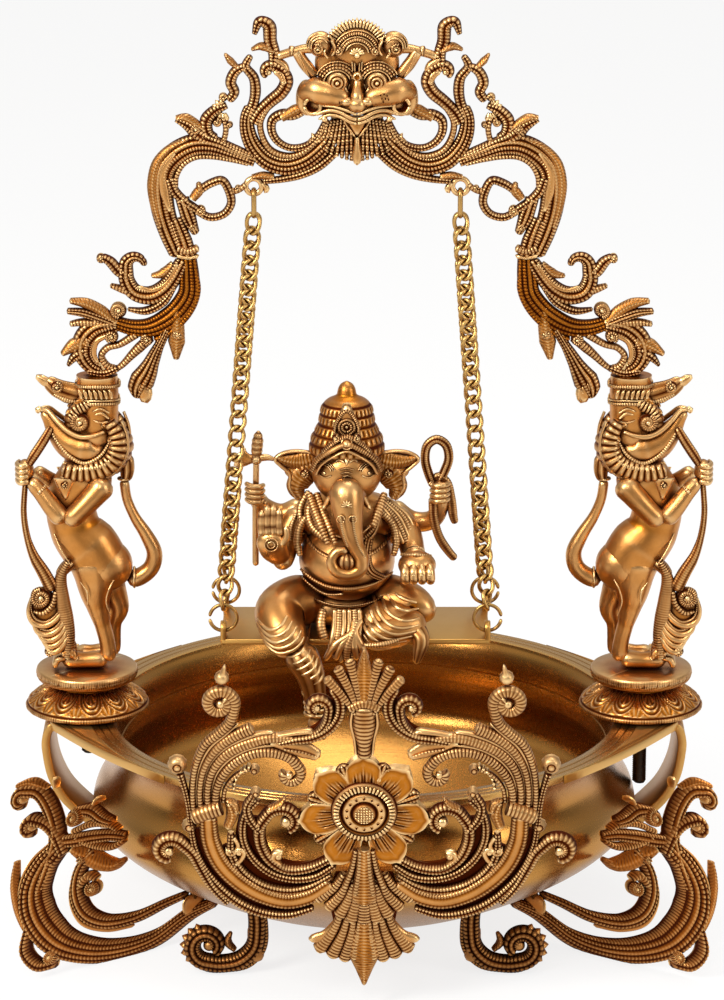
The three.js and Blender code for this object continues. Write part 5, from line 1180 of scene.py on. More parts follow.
for k in range(25):
    turn = math.radians(8 + 164 * k / 24)
    c, s = math.cos(turn), math.sin(turn)
    tall = 0.3 if k == 12 else 0
    root, middle, end = (189.7 + r * s for r in (13.8, 16.4, 18.9 + tall))
    face += strand([(13.8 * c, root), (16.6 * c, middle), (19.6 * c, end)], [0.85, 1.12, 1.0], "smooth",
                   y=-3.6, deep=2.8)
for radius, kind, thick in ((13.4, "smooth", 0.7), (11.8, "rope", 1.05), (10.1, "smooth", 0.6),
                            (8.5, "rope", 1.05), (6.7, "smooth", 0.7)):
    face += strand(arc_of((0, 188.6), radius, 12, 168, 13, 0.98), [thick], kind, y=on_the_dome(radius),
                   deep=1.7, cut=1.3)
for k in range(7):
    turn = math.radians(12 + 26 * k)
    ray = [(a * math.cos(turn), 189 + b * math.sin(turn)) for a, b in ((1.2, 1.2), (4.8, 4.2))]
    face += strand(ray, [0.5, 1.0, 0.9], "smooth", y=-10.0, deep=1.5)
face.append(boss((0, 188.4), [(0, 12.6), (1.3, 12.2), (1.9, 10.6, 0.8)], steps=12, back=-6))
half_face = []
half_face += blob((20.5, -2.6, 193.4), (7.2, 5.4, 7.6), 22, 12)
half_face += snail((22.2, 191.4), 3.9, -7.0, 1.5, 60, 1, 1.0, lift=0.5)
for radius, y in ((7.4, -3.0), (6.1, -5.0), (4.9, -6.6)):
    half_face += strand(arc_of((21.0, 192.6), radius, -10, 165, 11), [0.6, 0.85, 0.6], "smooth", y=y,
                        deep=1.8)
for shift in (0, 1.9, 3.8):
    half_face += strand([(15.4 - shift * 0.5, 199 - shift), (13.2 - shift * 0.3, 195.4 - shift),
                         (13.6, 191 - shift)], [0.5, 0.75, 0.5], "smooth", y=-6.6, deep=1.7)
half_face += strand([(14.4, 196.6), (12.2, 191.6), (14.6, 187.4)], [0.7, 1.0, 0.8], "smooth", y=-8.4,
                    deep=1.6)
half_face += snail((10.4, 190.4), 3.0, -9.2, 1.3, 90, 1, 0.9, lift=0.4)
half_face += strand([(16.6, 186.6), (18.4, 189.6), (17.8, 192)], [0.6, 0.9, 0.6], "smooth", y=-8.2,
                    deep=1.4)
half_face += blob((EYE_U, -7.4, EYE_V + 0.4), (7.6, 6.6, 7.4), 24, 14)
half_face.append(boss((EYE_U, EYE_V), [
    (0, 7.6, 0), (0.9, 7.2, 0), (1.4, 6.2, 1), (1.9, 6.3, 0.6), (2.5, 6.7, 0), (3.2, 6.4, 0),
    (3.6, 5.4, 1), (4.2, 5.6, 0.3), (5.2, 5.0, 0), (6.4, 3.0, 0.4),
], y=-8.4, back=3, steps=28))
for radius, kind, thick, y in ((7.7, "smooth", 0.7, -11.2), (9.2, "rope", 1.1, -10.2),
                               (10.8, "rope", 0.9, -9.0), (12.3, "smooth", 0.7, -7.8)):
    half_face += strand(arc_of((EYE_U, EYE_V - 0.5), radius, 22 if radius > 9 else 5, 168, 11, 0.96),
                        [thick * 0.7, thick, thick * 0.7], kind, y=y, deep=1.8)
half_face += strand(arc_of((EYE_U, EYE_V), 7.2, 190, 350, 9), [0.6, 0.9, 0.6], "smooth", y=-9.6, deep=1.6)
half_face += limb([(3.4, -11.6, 162.2), (9, -11.2, 164.4), (17, -10.0, 166.6), (24, -7.4, 167.6),
                   (29.4, -3.6, 164.6), (30.6, -1.0, 160.6)], [4.2, 6.2, 7.5, 8.0, 6.2, 4.0], flat=0.9,
                   around=26)
half_face += limb([(27, -6, 173), (29.4, -4, 168), (29.6, -3, 158), (25, -4, 154)], [3.0, 4.6, 4.6, 3.2],
                  around=16)
ring = arc_of((25.2, 159.4), 4.5, 0, 360, 17)
half_face += limb([(u, -10.6 + 0.22 * (u - 25.2), v) for u, v in ring], [1.25], around=10)
half_face.append(boss((25.2, 159.4), [(0, 0, 1), (2.4, 0.2, 1), (3.8, 1.6, 0.9), (4.4, 2.6, 0.5)], y=-7.0,
                      back=3, steps=20))
half_face += limb([(23.6, -11.4, 154.6), (16, -12.8, 157.4), (10, -13.8, 156.8), (4, -15.0, 153.8),
                   (0, -15.4, 152.6)], [0.9, 1.2, 1.3, 1.3], around=10)
half_face += limb([(22, -11.0, 151.9), (16, -11.8, 154.6), (10, -12.8, 154.0), (4, -14.2, 151.2),
                   (0, -14.6, 150.0)], [0.7, 1.1, 1.2, 1.2], around=10)
half_face += limb([(20, -12.2, 160.0), (12, -14.2, 159.6), (6, -15.4, 158.0), (0, -16.0, 155.6)],
                  [0.5, 0.9, 1.0], around=8)
half_face += limb([(18.6, -9.4, 154), (18.4, -11.4, 152.2), (16.8, -12.4, 151.2)], [1.6, 1.9, 1.0],
                  around=10)
half_face += blob((5.6, -14.4, 162.8), (3.9, 3.6, 2.9), 18, 10)
half_face += limb([(8.6, -11, 178), (7.4, -12.2, 171.6), (5.0, -12.6, 167.0)], [0.7, 0.9, 0.7], around=8)
for k, (u, v) in enumerate(((1.4, 180.6), (2.9, 181.4))):
    half_face += strand([(u, v + 3.4), (u * 0.8, v - 2.6)], [0.35, 0.6, 0.35], "smooth", y=-10.4,
                        deep=1.0)
for k in range(8):
    path = [(3.0 + 1.9 * k, 152.4 - 0.4 * k), (3.2 + 2.35 * k, 140 - 0.1 * k),
            (3.0 + 2.75 * k + 0.05 * k * k, 126.8 + 0.25 * k + 0.16 * k * k)]
    half_face += strand(path, [1.15, 1.42, 1.35], "rope", y=-5.4 + 0.5 * k, deep=2.6, cut=1.75, wave=0.28)
half_face += strand([(7.9, 152.6), (5.4, 147.6), (0.9, 141.4)], [0.55, 0.75, 0.6], "smooth", y=-9.6,
                    deep=1.3)
face += both_sides(half_face)
face += limb([(0, -11.4, 175.6), (0, -13.6, 170), (0, -15.6, 165), (0, -16.2, 161.4)],
             [2.0, 2.3, 3.6, 3.4], around=16)
face += blob((0, -15.6, 161.2), (5.0, 4.0, 4.4), 22, 12)
face.append(boss((0, 176.6), [(0, 1.4, 0.4), (1.2, 1.5, 0.6), (1.6, 2.3), (2.3, 2.0), (2.8, 0)], y=-12.0,
                 back=2, steps=16))
face += strand([(0, 153), (0, 149), (0, 141.8)], [7.4, 4.6, 0.6], "smooth", y=-8.6, deep=1.8)
face += strand([(0, 141.2), (0, 134), (0, 126.6), (0, 124.8)], [1.3, 2.0, 3.3, 1.6], "smooth", y=-8.0,
               deep=3.2, tip=0.8)
face += strand([(0, 152), (0, 140), (0, 129)], [15, 13.6, 9], "smooth", y=-1.0, deep=3.2)
# casting pits in the cheeks
for u, v, y in (
    (13.2, 167.0, -11.95), (15.2, 167.6, -11.95), (17.0, 166.6, -11.95), (14.0, 165.0, -11.95),
    (16.0, 164.8, -11.95), (17.8, 164.4, -11.95), (14.8, 163.0, -11.95), (-9.8, 162.4, -11.4),
):
    face.append(boss((u, v), [(0, 6.7, 1), (0.34, 6.75, 1), (0.42, 5, 1)], y=y, back=-3, steps=7))
crown += face
crown = cut_off(crown, COLLAR + 0.15, above=False)


def on_the_crown(points):
    return points + np.array([ARCH_LEAN, 0, ARCH_FOOT])


crown_piece = cast("lion_crown", crown, on_the_crown)
finish(crown_piece, cast_brass, nodes=["arch_crown"])


# Swing: drawn brass wire links hang in the arch's ears. Each carries two curb chains, bent and ground
# smooth, which end in split rings through the drilled tabs of a flat brass seat.
def wire_loop(line, radius, around=10, closed=True, steady=(0, 1, 0)):
    """Wire of one thickness along a line in space, closed on itself or with rounded ends"""
    line = np.array(line, float)
    if closed:
        ahead = np.roll(line, -1, axis=0) - np.roll(line, 1, axis=0)
    else:
        ahead = np.gradient(line, axis=0)
    ahead /= np.linalg.norm(ahead, axis=1)[:, None]
    side = np.cross(ahead, np.array(steady, float))
    side /= np.maximum(np.linalg.norm(side, axis=1), 1e-9)[:, None]
    front = np.cross(side, ahead)
    turns = np.linspace(0, 2 * math.pi, around, endpoint=False)
    c, s = np.cos(turns)[None, :, None], np.sin(turns)[None, :, None]
    out = side[:, None, :] * c + front[:, None, :] * s
    size = np.full(len(line), float(radius))
    if not closed:
        size[0] = size[-1] = radius * 0.55
    rows = line[:, None, :] + out * size[:, None, None]
    if not closed:
        return shell_of(rows)
    return rows.reshape(-1, 3), ring_faces(len(line), around), np.zeros(len(line) * around)


drawn_brass = brass("drawn_brass", "74461A", "E6BC72", "381806", satin=0.26, reach=4.0, strength=1.1,
                    mottle=0.15)
HANGER_TOP, HANGER_LOW, HANGER_R = 433.7, 415.5, 1.45
for side_name, side_sign in SIDES:
    hang_x = ARCH_LEAN + side_sign * EAR_U
    bend = 3.15
    line = []
    for t in np.linspace(0, 2 * math.pi, 40, endpoint=False):
        c, s = math.cos(t), math.sin(t)
        shift = (HANGER_TOP - HANGER_LOW) / 2 - HANGER_R - bend
        lift = shift if s >= 0 else -shift
        line.append((hang_x, bend * c, (HANGER_TOP + HANGER_LOW) / 2 + bend * s + lift))
    link = cast("hanging_wire_" + side_name, [wire_loop(line, HANGER_R, 12, steady=(1, 0, 0))])
    finish(link, drawn_brass, body="hangers", nodes=["hanging_link_" + side_name])

LINKS = 26
LINK_HALF, LINK_R = 5.2, 1.25
LINK_TWIST = 42
RING_RADIUS, RING_WIRE, RING_Z, RING_SPLIT = 7.9, 1.1, 184, 14
SEAT_X, SEAT_TOP, SEAT_THICK = -5.0, 172.2, 3.3
TAB_OUT, TAB_AT, TAB_HOLE_Z = 76.85, 26.5, 175.7


def curb_link(top, run, at, pitch, turn_top, turn_low):
    """One curb link: an oval of wire, twisted so that its two ends lie across each other"""
    half = pitch / 2 + LINK_R * 0.9
    down = np.array(run) / np.linalg.norm(run)
    side = np.array([1.0, 0.0, 0.0])
    side = side - down * side.dot(down)
    side /= np.linalg.norm(side)
    front = np.cross(down, side)
    line = []
    for t in np.linspace(0, 2 * math.pi, 26, endpoint=False):
        across = (LINK_HALF - LINK_R) * math.copysign(abs(math.cos(t)) ** 0.8, math.cos(t))
        along = half * math.sin(t)
        turn = math.radians(turn_top + (turn_low - turn_top) * (along / half + 1) / 2)
        outward = side * math.cos(turn) + front * math.sin(turn)
        line.append(np.array(top) + down * (at + along) + across * outward)
    return wire_loop(line, LINK_R, 9, steady=tuple(front * 0.9 + side * 0.3))


for side_name, side_sign in SIDES:
    hang_x = ARCH_LEAN + side_sign * EAR_U
    ring_x = SEAT_X + side_sign * TAB_OUT
    body = side_name + "_hanger"
    for row_name, row in (("front", -1), ("back", 1)):
        top = np.array([hang_x, row * 1.6, 418.2])
        bottom = np.array([ring_x, row * TAB_AT, 189.2])
        run = bottom - top
        length = np.linalg.norm(run)
        pitch = (length - 2 * LINK_R * 0.9) / LINKS
        shells = []
        for i in range(LINKS):
            start = 0 if i == 0 else LINK_TWIST
            stop = -LINK_TWIST if i < LINKS - 1 else 90
            shells.append(curb_link(top, run, LINK_R * 0.9 + pitch * (i + 0.5), pitch, row * start,
                                    row * stop))
        chain = cast("curb_chain_%s_%s" % (side_name, row_name), shells)
        finish(chain, drawn_brass, body=body, nodes=["chain_%s_%s" % (side_name, row_name)])
        gap = RING_SPLIT / 2 if side_sign > 0 else 180 + RING_SPLIT / 2
        line = []
        for turn in np.radians(np.linspace(gap, gap + 360 - RING_SPLIT, 44)):
            spot = (ring_x + RING_RADIUS * math.cos(turn), row * TAB_AT,
                    RING_Z + RING_RADIUS * math.sin(turn))
            line.append(spot)
        split = cast("split_ring_%s_%s" % (side_name, row_name), [wire_loop(line, RING_WIRE, 10, False)])
        finish(split, drawn_brass, body=body, nodes=["ring_%s_%s" % (side_name, row_name)])

clear()
bpy.ops.mesh.primitive_cube_add(size=1, location=(SEAT_X * MM, 0, (SEAT_TOP - SEAT_THICK / 2) * MM))
board = bpy.context.object
board.scale = (156.4 * MM, 62 * MM, SEAT_THICK * MM)
bpy.ops.object.transform_apply(location=True, rotation=False, scale=True)
rounding = board.modifiers.new("rounding", "BEVEL")
rounding.width = 0.6 * MM
rounding.segments = 3
bpy.ops.object.modifier_apply(modifier="rounding")
board_mesh = board.data
seat_shells = [(
    np.array([v.co[:] for v in board_mesh.vertices]) / MM,
    [tuple(p.vertices) for p in board_mesh.polygons],
    np.zeros(len(board_mesh.vertices)),
)]
bpy.data.objects.remove(board)

TAB_HALF, TAB_FOOT, TAB_ARC, HOLE = 4.5, 6.6, 2.0, 2.0
REACH_STEP = 0.05


def drilled_tab(x, y):
    """A tab bent up at the seat's corner, round at the top, with its hole"""
    turns = np.linspace(0, 2 * math.pi, 36, endpoint=False)
    edge = []
    for t in turns:
        c, s = math.cos(t), math.sin(t)
        reach = 0.0
        while True:
            u, v = (reach + REACH_STEP) * c, (reach + REACH_STEP) * s
            under_arc = v < TAB_ARC or math.hypot(u, v - TAB_ARC) < TAB_HALF
            if abs(u) >= TAB_HALF or v <= -TAB_FOOT or not under_arc:
                break
            reach += REACH_STEP
        edge.append((reach * c, reach * s))
    near, far = x - SEAT_THICK / 2, x + SEAT_THICK / 2
    points = []
    for (u, v), t in zip(edge, turns):
        p, q = HOLE * math.cos(t), HOLE * math.sin(t)
        section = [(far - 0.4, u, v), (far, u * 0.93, v * 0.93), (far, p * 1.12, q * 1.12),
                   (far - 0.3, p, q)]
        section += [(near + 0.3, p, q), (near, p * 1.12, q * 1.12), (near, u * 0.93, v * 0.93),
                    (near + 0.4, u, v)]
        points += [(a, y + b, TAB_HOLE_Z + c) for a, b, c in section]
    return np.array(points), ring_faces(len(turns), 8), np.zeros(len(points))


for tab_x in (-1, 1):
    for tab_y in (-1, 1):
        seat_shells.append(drilled_tab(SEAT_X + tab_x * TAB_OUT, tab_y * TAB_AT))
plank = cast("seat_board", seat_shells)
plank_brass = brass("plank_brass", "935A20", "D9A85C", "5C3410", satin=0.3, reach=10.0, strength=0.5,
                    mottle=0.06)
finish(plank, plank_brass, body="seat", nodes=["swing_plank"])


# Ganesha: a solid lost-wax casting, chased all over, in the same cast brass as the ornament. He
# sits on the seat with one leg over its front edge, and is held by two screws from below.
def ribbed(turn, dip):
    """Ten ribs that run up and down a lump"""
    lobe = np.abs(np.sin(5 * turn))
    return 0.3 * lobe, 0.85 * (1 - lobe)


def upright(shells, y):
    """Moves flat strands forward or back"""
    return [(points + np.array([0, y, 0]), faces, marks) for points, faces, marks in shells]


def on_front(path, half, y, kind="rope", deep=1.2):
    return strand(path, half, kind, y=y, deep=deep, cut=1.2)


def wrapped(shells, centre, radii, lift=0.0):
    """Lays flat strands over the front of a rounded body, so that they follow its skin"""
    cx, cy, cz = centre
    rx, ry, rz = radii
    found = []
    for points, faces, marks in shells:
        spot = points.copy()
        far = np.clip(1 - ((points[:, 0] - cx) / rx) ** 2 - ((points[:, 2] - cz) / rz) ** 2, 0.0, 1)
        spot[:, 1] = points[:, 1] + cy - ry * np.sqrt(far) - lift
        found.append((spot, faces, marks))
    return found


def skin_of(shells):
    """The shells as one surface that can be felt for from the front"""
    points, faces, start = [], [], 0
    for found, indices, _ in shells:
        points += found.tolist()
        faces += [tuple(i + start for i in face) for face in indices]
        start += len(found)
    return BVHTree.FromPolygons(points, faces)


def folds_on(skin, paths, radius):
    """Raised folds that lie on the skin, as far as each path meets it"""
    found = []
    for path in paths:
        line = []
        for u, v in smooth_line(path, 6):
            spot, facing = skin.ray_cast((u, -200, v), (0, 1, 0))[:2]
            if spot is not None and abs(facing[1]) > 0.22:
                line.append((u, spot[1] + 0.35, v))
        if len(line) > 4:
            found += limb(line[::2] + [line[-1]], [radius * 0.5, radius, radius, radius * 0.5], around=8,
                          parts=2)
    return found


figure = []
BELLY, BELLY_R = (0, -8, 42), (28, 29, 24)
CHEST, CHEST_R = (0, -3, 66), (29, 17, 17)
FACE, FACE_R = (0, -15, 98), (20.5, 19, 19.5)
figure += blob((0, 1, 13), (38, 24, 14), 40, 14)
figure += blob(BELLY, BELLY_R, 40, 22)
figure += blob(CHEST, CHEST_R, 40, 18)
figure += blob(FACE, FACE_R, 40, 22)
figure += blob((0, -22, 88), (12, 14, 12), 28, 14)
figure += blob((0, 4, 61), (36, 11, 20), 36, 16)
for side in (-1, 1):
    for k, (u, thick) in enumerate(((19, 2.4), (14.6, 2.0))):
        if side < 0 or k == 0:
            braid = [(side * (u + 3), -21, 86), (side * u, -28, 79), (side * (u - 4.4), -36, 70),
                     (side * (u - 8.4), -40, 60.6)]
            figure += limb(braid if side < 0 else braid[:3], [1.6, thick, thick, 1.2], "rope", around=14,
                           cut=1.9, deep=0.5)
# the trunk comes straight down, turns to the left under a sweet and closes over it
trunk = [(0, -30, 96), (0, -36, 90), (1, -40, 80), (2.5, -42, 70), (5, -43, 61), (8.6, -43.4, 53),
         (7.6, -43.6, 46.4), (1, -43.8, 43.6), (-6.4, -43.6, 46), (-8.6, -43.2, 52.4),
         (-4.6, -42.8, 57.4), (1.4, -43, 57.6)]
figure += limb(trunk, [10, 10.4, 9.2, 7.8, 6.4, 4.8, 4.2, 4.0, 3.8, 3.4, 3.0, 2.4], around=22,
               up=(0, 1, 0.2))
figure += blob((0, -42, 51), (5.6, 5, 5.4), 20, 12, ribbed)
figure += limb([(3.4, -50.6, 81), (4.4, -50.4, 72), (6.6, -49.4, 63), (10.6, -48.6, 55)],
               [0.35, 0.5, 0.5, 0.3], "rope", cut=1.1, deep=0.25, around=8)
figure += limb([(-3.6, -50.4, 80), (-2.0, -50.6, 70), (0.6, -49.8, 62)], [0.3, 0.45, 0.3], "rope",
               cut=1.1, deep=0.25, around=8)
for k in range(7):
    turn = math.radians(-6 + 32 * k)
    petal_line = [(0.6 * math.cos(turn), 86 + 0.6 * math.sin(turn)),
                  (3.4 * math.cos(turn), 86 + 3.4 * math.sin(turn))]
    figure += on_front(petal_line, [0.35, 0.75, 0.3], -48.6, "smooth", deep=0.8)
for side in (-1, 1):
    figure += on_front(arc_of((side * 3.4, 78.4), 2.2, 0, 340, 9), [0.4], -49.4, "smooth", deep=0.8)
# eyes, brow lines and the marks on the forehead
face_marks = []
for radius, thick in ((4.6, 0.5), (5.9, 0.4), (7.1, 0.4)):
    face_marks += strand(arc_of((13.2, 100.6), radius, 20, 165, 8, 0.9),
                         [thick * 0.6, thick, thick * 0.6], "smooth", deep=0.8)
face_marks += strand([(9.0, 99.6), (13.2, 97.6), (17.2, 99.4)], [0.4, 0.7, 0.4], "smooth", deep=0.9)
face_marks.append(boss((13.2, 100.2), [(0, 0.7), (0.7, 0.5), (1.1, 0.1, 0.8)], steps=10, back=1))
face_marks = both_sides(face_marks)
face_marks += strand([(0, 114), (0, 110), (0, 106)], [1.0, 1.8, 0.8], "smooth", deep=1.0)
face_marks += both_sides(strand([(1.6, 107.6), (4.6, 109), (6.6, 107)], [0.6, 1.0, 0.4], "smooth",
                                deep=0.9))
for v, half in ((103.4, 4.4), (101.2, 3.6), (99.2, 2.9), (97.4, 2.0)):
    face_marks += strand([(-half, v), (0, v + 0.9), (half, v)], [0.35, 0.5, 0.35], "rope", deep=0.7,
                         cut=0.9)
figure += wrapped(face_marks, FACE, FACE_R, 0.35)
for side in (-1, 1):
    figure += limb([(side * 9, -29, 86), (side * 12, -33, 82), (side * 13.6, -36, 80.6)], [2.4, 1.9, 1.1],
                   around=10)
    # ears: flat fans with a rolled corner, ridged like a leaf
    ear = strand([(side * 17, 104), (side * 27, 101.5), (side * 36, 102.5), (side * 41, 105)],
                 [4.6, 6.4, 4.4, 1.6], "leaf", deep=2.6, cut=1.9)
    ear += strand([(side * 19, 98), (side * 26, 92), (side * 29, 85), (side * 26, 79)],
                  [5.6, 7.4, 6.4, 2.2], "leaf", deep=2.8, cut=2.2)
    ear += strand([(side * 20, 107), (side * 29, 108), (side * 37, 106.6), (side * 41.5, 103),
                   (side * 38, 99), (side * 33, 94), (side * 33, 86), (side * 28, 78)],
                   [1.0, 1.2, 1.2, 1.0], "smooth", deep=2.0, y=-1.2)
    ear += strand([(side * 19, 101), (side * 25, 99), (side * 31, 96.6), (side * 34, 92)],
                  [5.0, 7.0, 6.0, 2.4], "leaf", deep=2.0, cut=2.2, y=1.0)
    ear += snail((side * 24.5, 95), 3.2, -3.2, 1.3, 90, side, 0.9)
    figure += upright(ear, -9)
# the crown: bands of cord and beads, stepped up to a finial
crown_line = smooth_line([
    (17, 104), (20.6, 107), (21.4, 111), (20.8, 115), (19.4, 118.6), (17.8, 121.4), (16.4, 124.6),
    (15.8, 127.4), (15.3, 130.4),
    (14.6, 133.6), (13.4, 136.6), (11, 138.8), (8, 140.2), (5.9, 141.6), (5.4, 143.4), (4.8, 145.6),
    (3.4, 147.8), (0.8, 149.4),
], 4)


def crown_relief(turn, run):
    tier = (run / 6.0) % 1.0
    bars = np.abs(np.sin(turn * 16)) * (tier < 0.5)
    line = np.exp(-((tier - 0.58) / 0.05) ** 2) + np.exp(-((tier - 0.94) / 0.05) ** 2)
    over = run > 47
    tall = np.where(over, 0, 0.7 * bars + 0.6 * line)
    return tall, np.where(over, 0, np.clip(0.9 - 1.1 * bars - line, 0, 1))


crown_shell = lathe(np.vstack([[(6, 104)], crown_line]), 160, crown_relief)
crown_points = crown_shell[0].copy()
crown_points[:, 1] = crown_points[:, 1] * 0.95 - 11 + 0.5 * (crown_points[:, 2] - 105) * 0.1
figure.append((crown_points, crown_shell[1], crown_shell[2]))
tiara = strand([(-20.5, 100), (-17, 108), (-9, 114.6), (0, 118.5), (9, 114.6), (17, 108), (20.5, 100)],
               [1.2, 1.5, 1.7, 1.7, 1.7, 1.5, 1.2], "rope", deep=1.8, cut=1.5)
tiara += strand([(-18.2, 98), (-14.8, 105.4), (-8, 111), (0, 114.6), (8, 111), (14.8, 105.4), (18.2, 98)],
                [0.7, 0.9, 0.9], "smooth", deep=1.4)
tiara += strand([(-14, 113), (-8, 118.6), (0, 122.5), (8, 118.6), (14, 113)], [1.0, 1.3, 1.4, 1.3, 1.0],
                "rope", deep=1.6, cut=1.3)
tiara.append(boss((0, 119), [(0, 2.8), (1.6, 2.5), (2.4, 1.2, 0.8), (3.2, 1.5), (4.0, 0)], steps=16,
                  back=2))
for side in (-1, 1):
    tiara += snail((side * 6.2, 121.6), 2.6, 0, 1.2, 90, side, 0.8)
figure += wrapped(tiara, (0, -12, 104), (24.6, 23.4, 33), 0.2)
figure += on_front([(0, 117), (0, 123), (0, 129), (0, 134), (0, 139.6)], [4.6, 7.2, 6.8, 4.8, 1.6], -24.6,
                   "smooth", deep=2.6)
figure += on_front([(-7, 120), (-6, 129), (0, 136.4), (6, 129), (7, 120)], [0.8, 1.1, 1.3, 1.1, 0.8],
                   -26.4, "rope", deep=1.4)
for radius, y in ((4.4, -27.2), (2.6, -27.8)):
    figure += on_front(arc_of((0, 127), radius, -90, 270, 16), [0.85], y, "rope", deep=1.2)
figure.append(boss((0, 127), [(0, 1.6), (0.8, 1.2), (1.3, 0.3, 0.8)], y=-27, back=1, steps=12))
figure.append(boss((0, 137.6), [(0, 2.4), (1.4, 2.0), (2.2, 0.8, 0.8), (2.9, 0)], y=-24.4, back=2,
                   steps=16))
# arms, with their cuffs and armlets
figure += limb([(-25, -2, 70), (-32.6, -5, 59), (-36.4, -11, 47.4), (-37.4, -18, 44), (-38, -22, 45)],
               [8.4, 8.0, 7.6, 7.0, 5.6], around=24)
palm = limb([(-37.2, -19, 43.6), (-39.4, -24, 48.6), (-42.2, -27, 54), (-43.6, -28, 60),
             (-44, -28.4, 66)], [6.0, 6.6, 8.4, 9.2, 8.4], flat=0.55, around=28, up=(0, 1, 0))
for k, (u, tip_v) in enumerate(((-49.2, 74), (-45.9, 77.6), (-42.4, 77.8), (-39.2, 75.2))):
    palm += limb([(u * 0.985, -29.6, 62), (u, -30, 70), (u + 0.2, -29.6, tip_v + 4)], [2.3, 2.2, 1.7],
                 "rope", around=12, cut=6.4, deep=0.3)
palm += limb([(-38.4, -29.6, 56), (-34.6, -30.4, 63), (-35.4, -30.6, 69)], [3.0, 2.3, 1.7], around=12)
palm += on_front(arc_of((-43.6, 58), 3.8, 0, 360, 14), [0.45], -32.6, "smooth", deep=0.9)
palm += on_front(arc_of((-43.6, 58), 2.0, 0, 360, 10), [0.45], -32.8, "smooth", deep=0.9)
figure += palm
figure += limb([(25, -2, 70), (35, -6, 58), (38.5, -16, 48), (40, -28, 46)], [8.4, 8.0, 7.2, 6.8],
               around=18)
figure += blob((40.6, -33, 46), (11.0, 9.6, 8.2), 32, 16)
for k in range(4):
    u = 33.4 + 4.8 * k
    figure += limb([(u, -38.6, 48.6), (u + 0.2, -43.0, 44.4), (u + 0.4, -42.6, 40), (u + 0.6, -38, 38.4)],
                   [2.0, 2.8, 2.9, 2.0], around=14)
    figure += limb([(u - 1.4, -45.2, 42.4), (u + 0.2, -45.8, 43.8), (u + 1.8, -45.2, 42.4)],
                   [0.3, 0.5, 0.3], around=8)
figure += limb([(31, -32, 52), (40, -38, 53.6), (49, -32, 51)], [0.7, 0.9, 0.7], "rope", around=8)
figure += limb([(-24, 6, 70), (-38, 8, 64), (-49, 5, 70), (-53, 1, 78)], [7.4, 6.8, 5.8, 5.0], around=16)
figure += blob((-53.6, -1.5, 80), (5.2, 5.6, 5.4), 18, 10)
figure += limb([(24, 6, 70), (38, 8, 60), (50, 5, 62), (54.6, 1, 72), (55, -1, 80)],
               [7.4, 6.6, 5.8, 5.2, 4.6], around=16)
figure += blob((54, -2, 82), (5.4, 5.4, 5.8), 18, 10)
for hand_u, tilt in ((-53.6, 0.5), (54, -0.5)):
    for k in range(4):
        v = 76.6 + 3.1 * k
        bend = [(hand_u - 5.4, -3, v + tilt), (hand_u - 2, -7.6, v), (hand_u + 2.6, -7.4, v - tilt),
                (hand_u + 5.6, -3, v - tilt)]
        figure += limb(bend, [1.4, 1.8, 1.8, 1.4], around=12)
for side in (-1, 1):
    figure += limb([(side * 29.5, -10, 70), (side * 32.6, -13, 62), (side * 33, -16, 55)],
                   [1.0, 1.2, 1.0], "rope", around=8)
    figure += limb([(side * 20, -17, 73), (side * 26.4, -17.5, 66), (side * 28.6, -20, 56),
                    (side * 27, -23, 48)], [1.6, 2.0, 2.2, 1.4], "rope", around=10, cut=1.6)
# the axe on its shaft, and the noose
figure += limb([(-53.4, -3, 36), (-53.2, -3, 70), (-52.6, -3, 101)], [1.9, 1.9, 1.8], around=12,
               up=(1, 0, 0))
figure += limb([(-52.6, -3, 101), (-52.2, -3, 107), (-51.6, -3, 113), (-51.2, -3, 118)],
               [2.4, 3.0, 3.0, 1.4], "rope", around=12, cut=3.2, deep=0.5, up=(1, 0, 0))
figure.append(boss((-52.6, 101), [(0, 4.6), (1.7, 4.2), (2.6, 2.6, 0.6), (3.4, 1.0)], y=-3, back=4,
                   steps=18))
figure += strand([(-52, 101.6), (-46, 102), (-41, 100.4)], [2.4, 2.0, 0.8], "smooth", y=-3, deep=2.0)
figure += strand([(-53, 101.4), (-58, 101), (-61, 101.6), (-64, 103.4)], [2.4, 3.2, 6.0, 8.0], "smooth",
                 y=-3, deep=1.4, tip=0.3)
figure += strand([(-57, 76), (-52.6, 77.6), (-46, 75.4)], [1.4, 1.8, 1.0], "rope", y=-6.4, deep=1.6)
noose = [(50.6, 0, 84), (47.6, 0, 91), (45.4, 0, 100), (46.8, 0, 108.4), (52, 0, 112), (57.4, 0, 109),
         (59.4, 0, 101), (57, 0, 93), (53.6, 0, 86)]
figure += limb(noose, [2.3], "cords", around=20, fold=5, cut=1.3, deep=0.3)
figure += limb([(50.4, 0, 88.6), (54, 0, 89.6), (58.4, 0, 86), (60.8, 0, 76), (62, 0, 66), (63.4, 0, 61)],
               [2.2, 2.2, 2.3, 2.5, 2.6, 1.8], "cords", around=18, fold=4, cut=1.3, deep=0.25)
figure += limb([(47.8, -4, 87), (52, -5.6, 84.6), (57.6, -3.6, 84)], [1.4, 1.7, 1.4], "rope", around=10)
figure += limb([(50, -2, 78), (50.6, -4, 66), (54, -5, 54), (60, -6, 45), (63.6, -6, 41)],
               [2.4, 2.4, 2.4, 2.4, 2.0], "cords", around=18, fold=4, cut=1.3, deep=0.25)
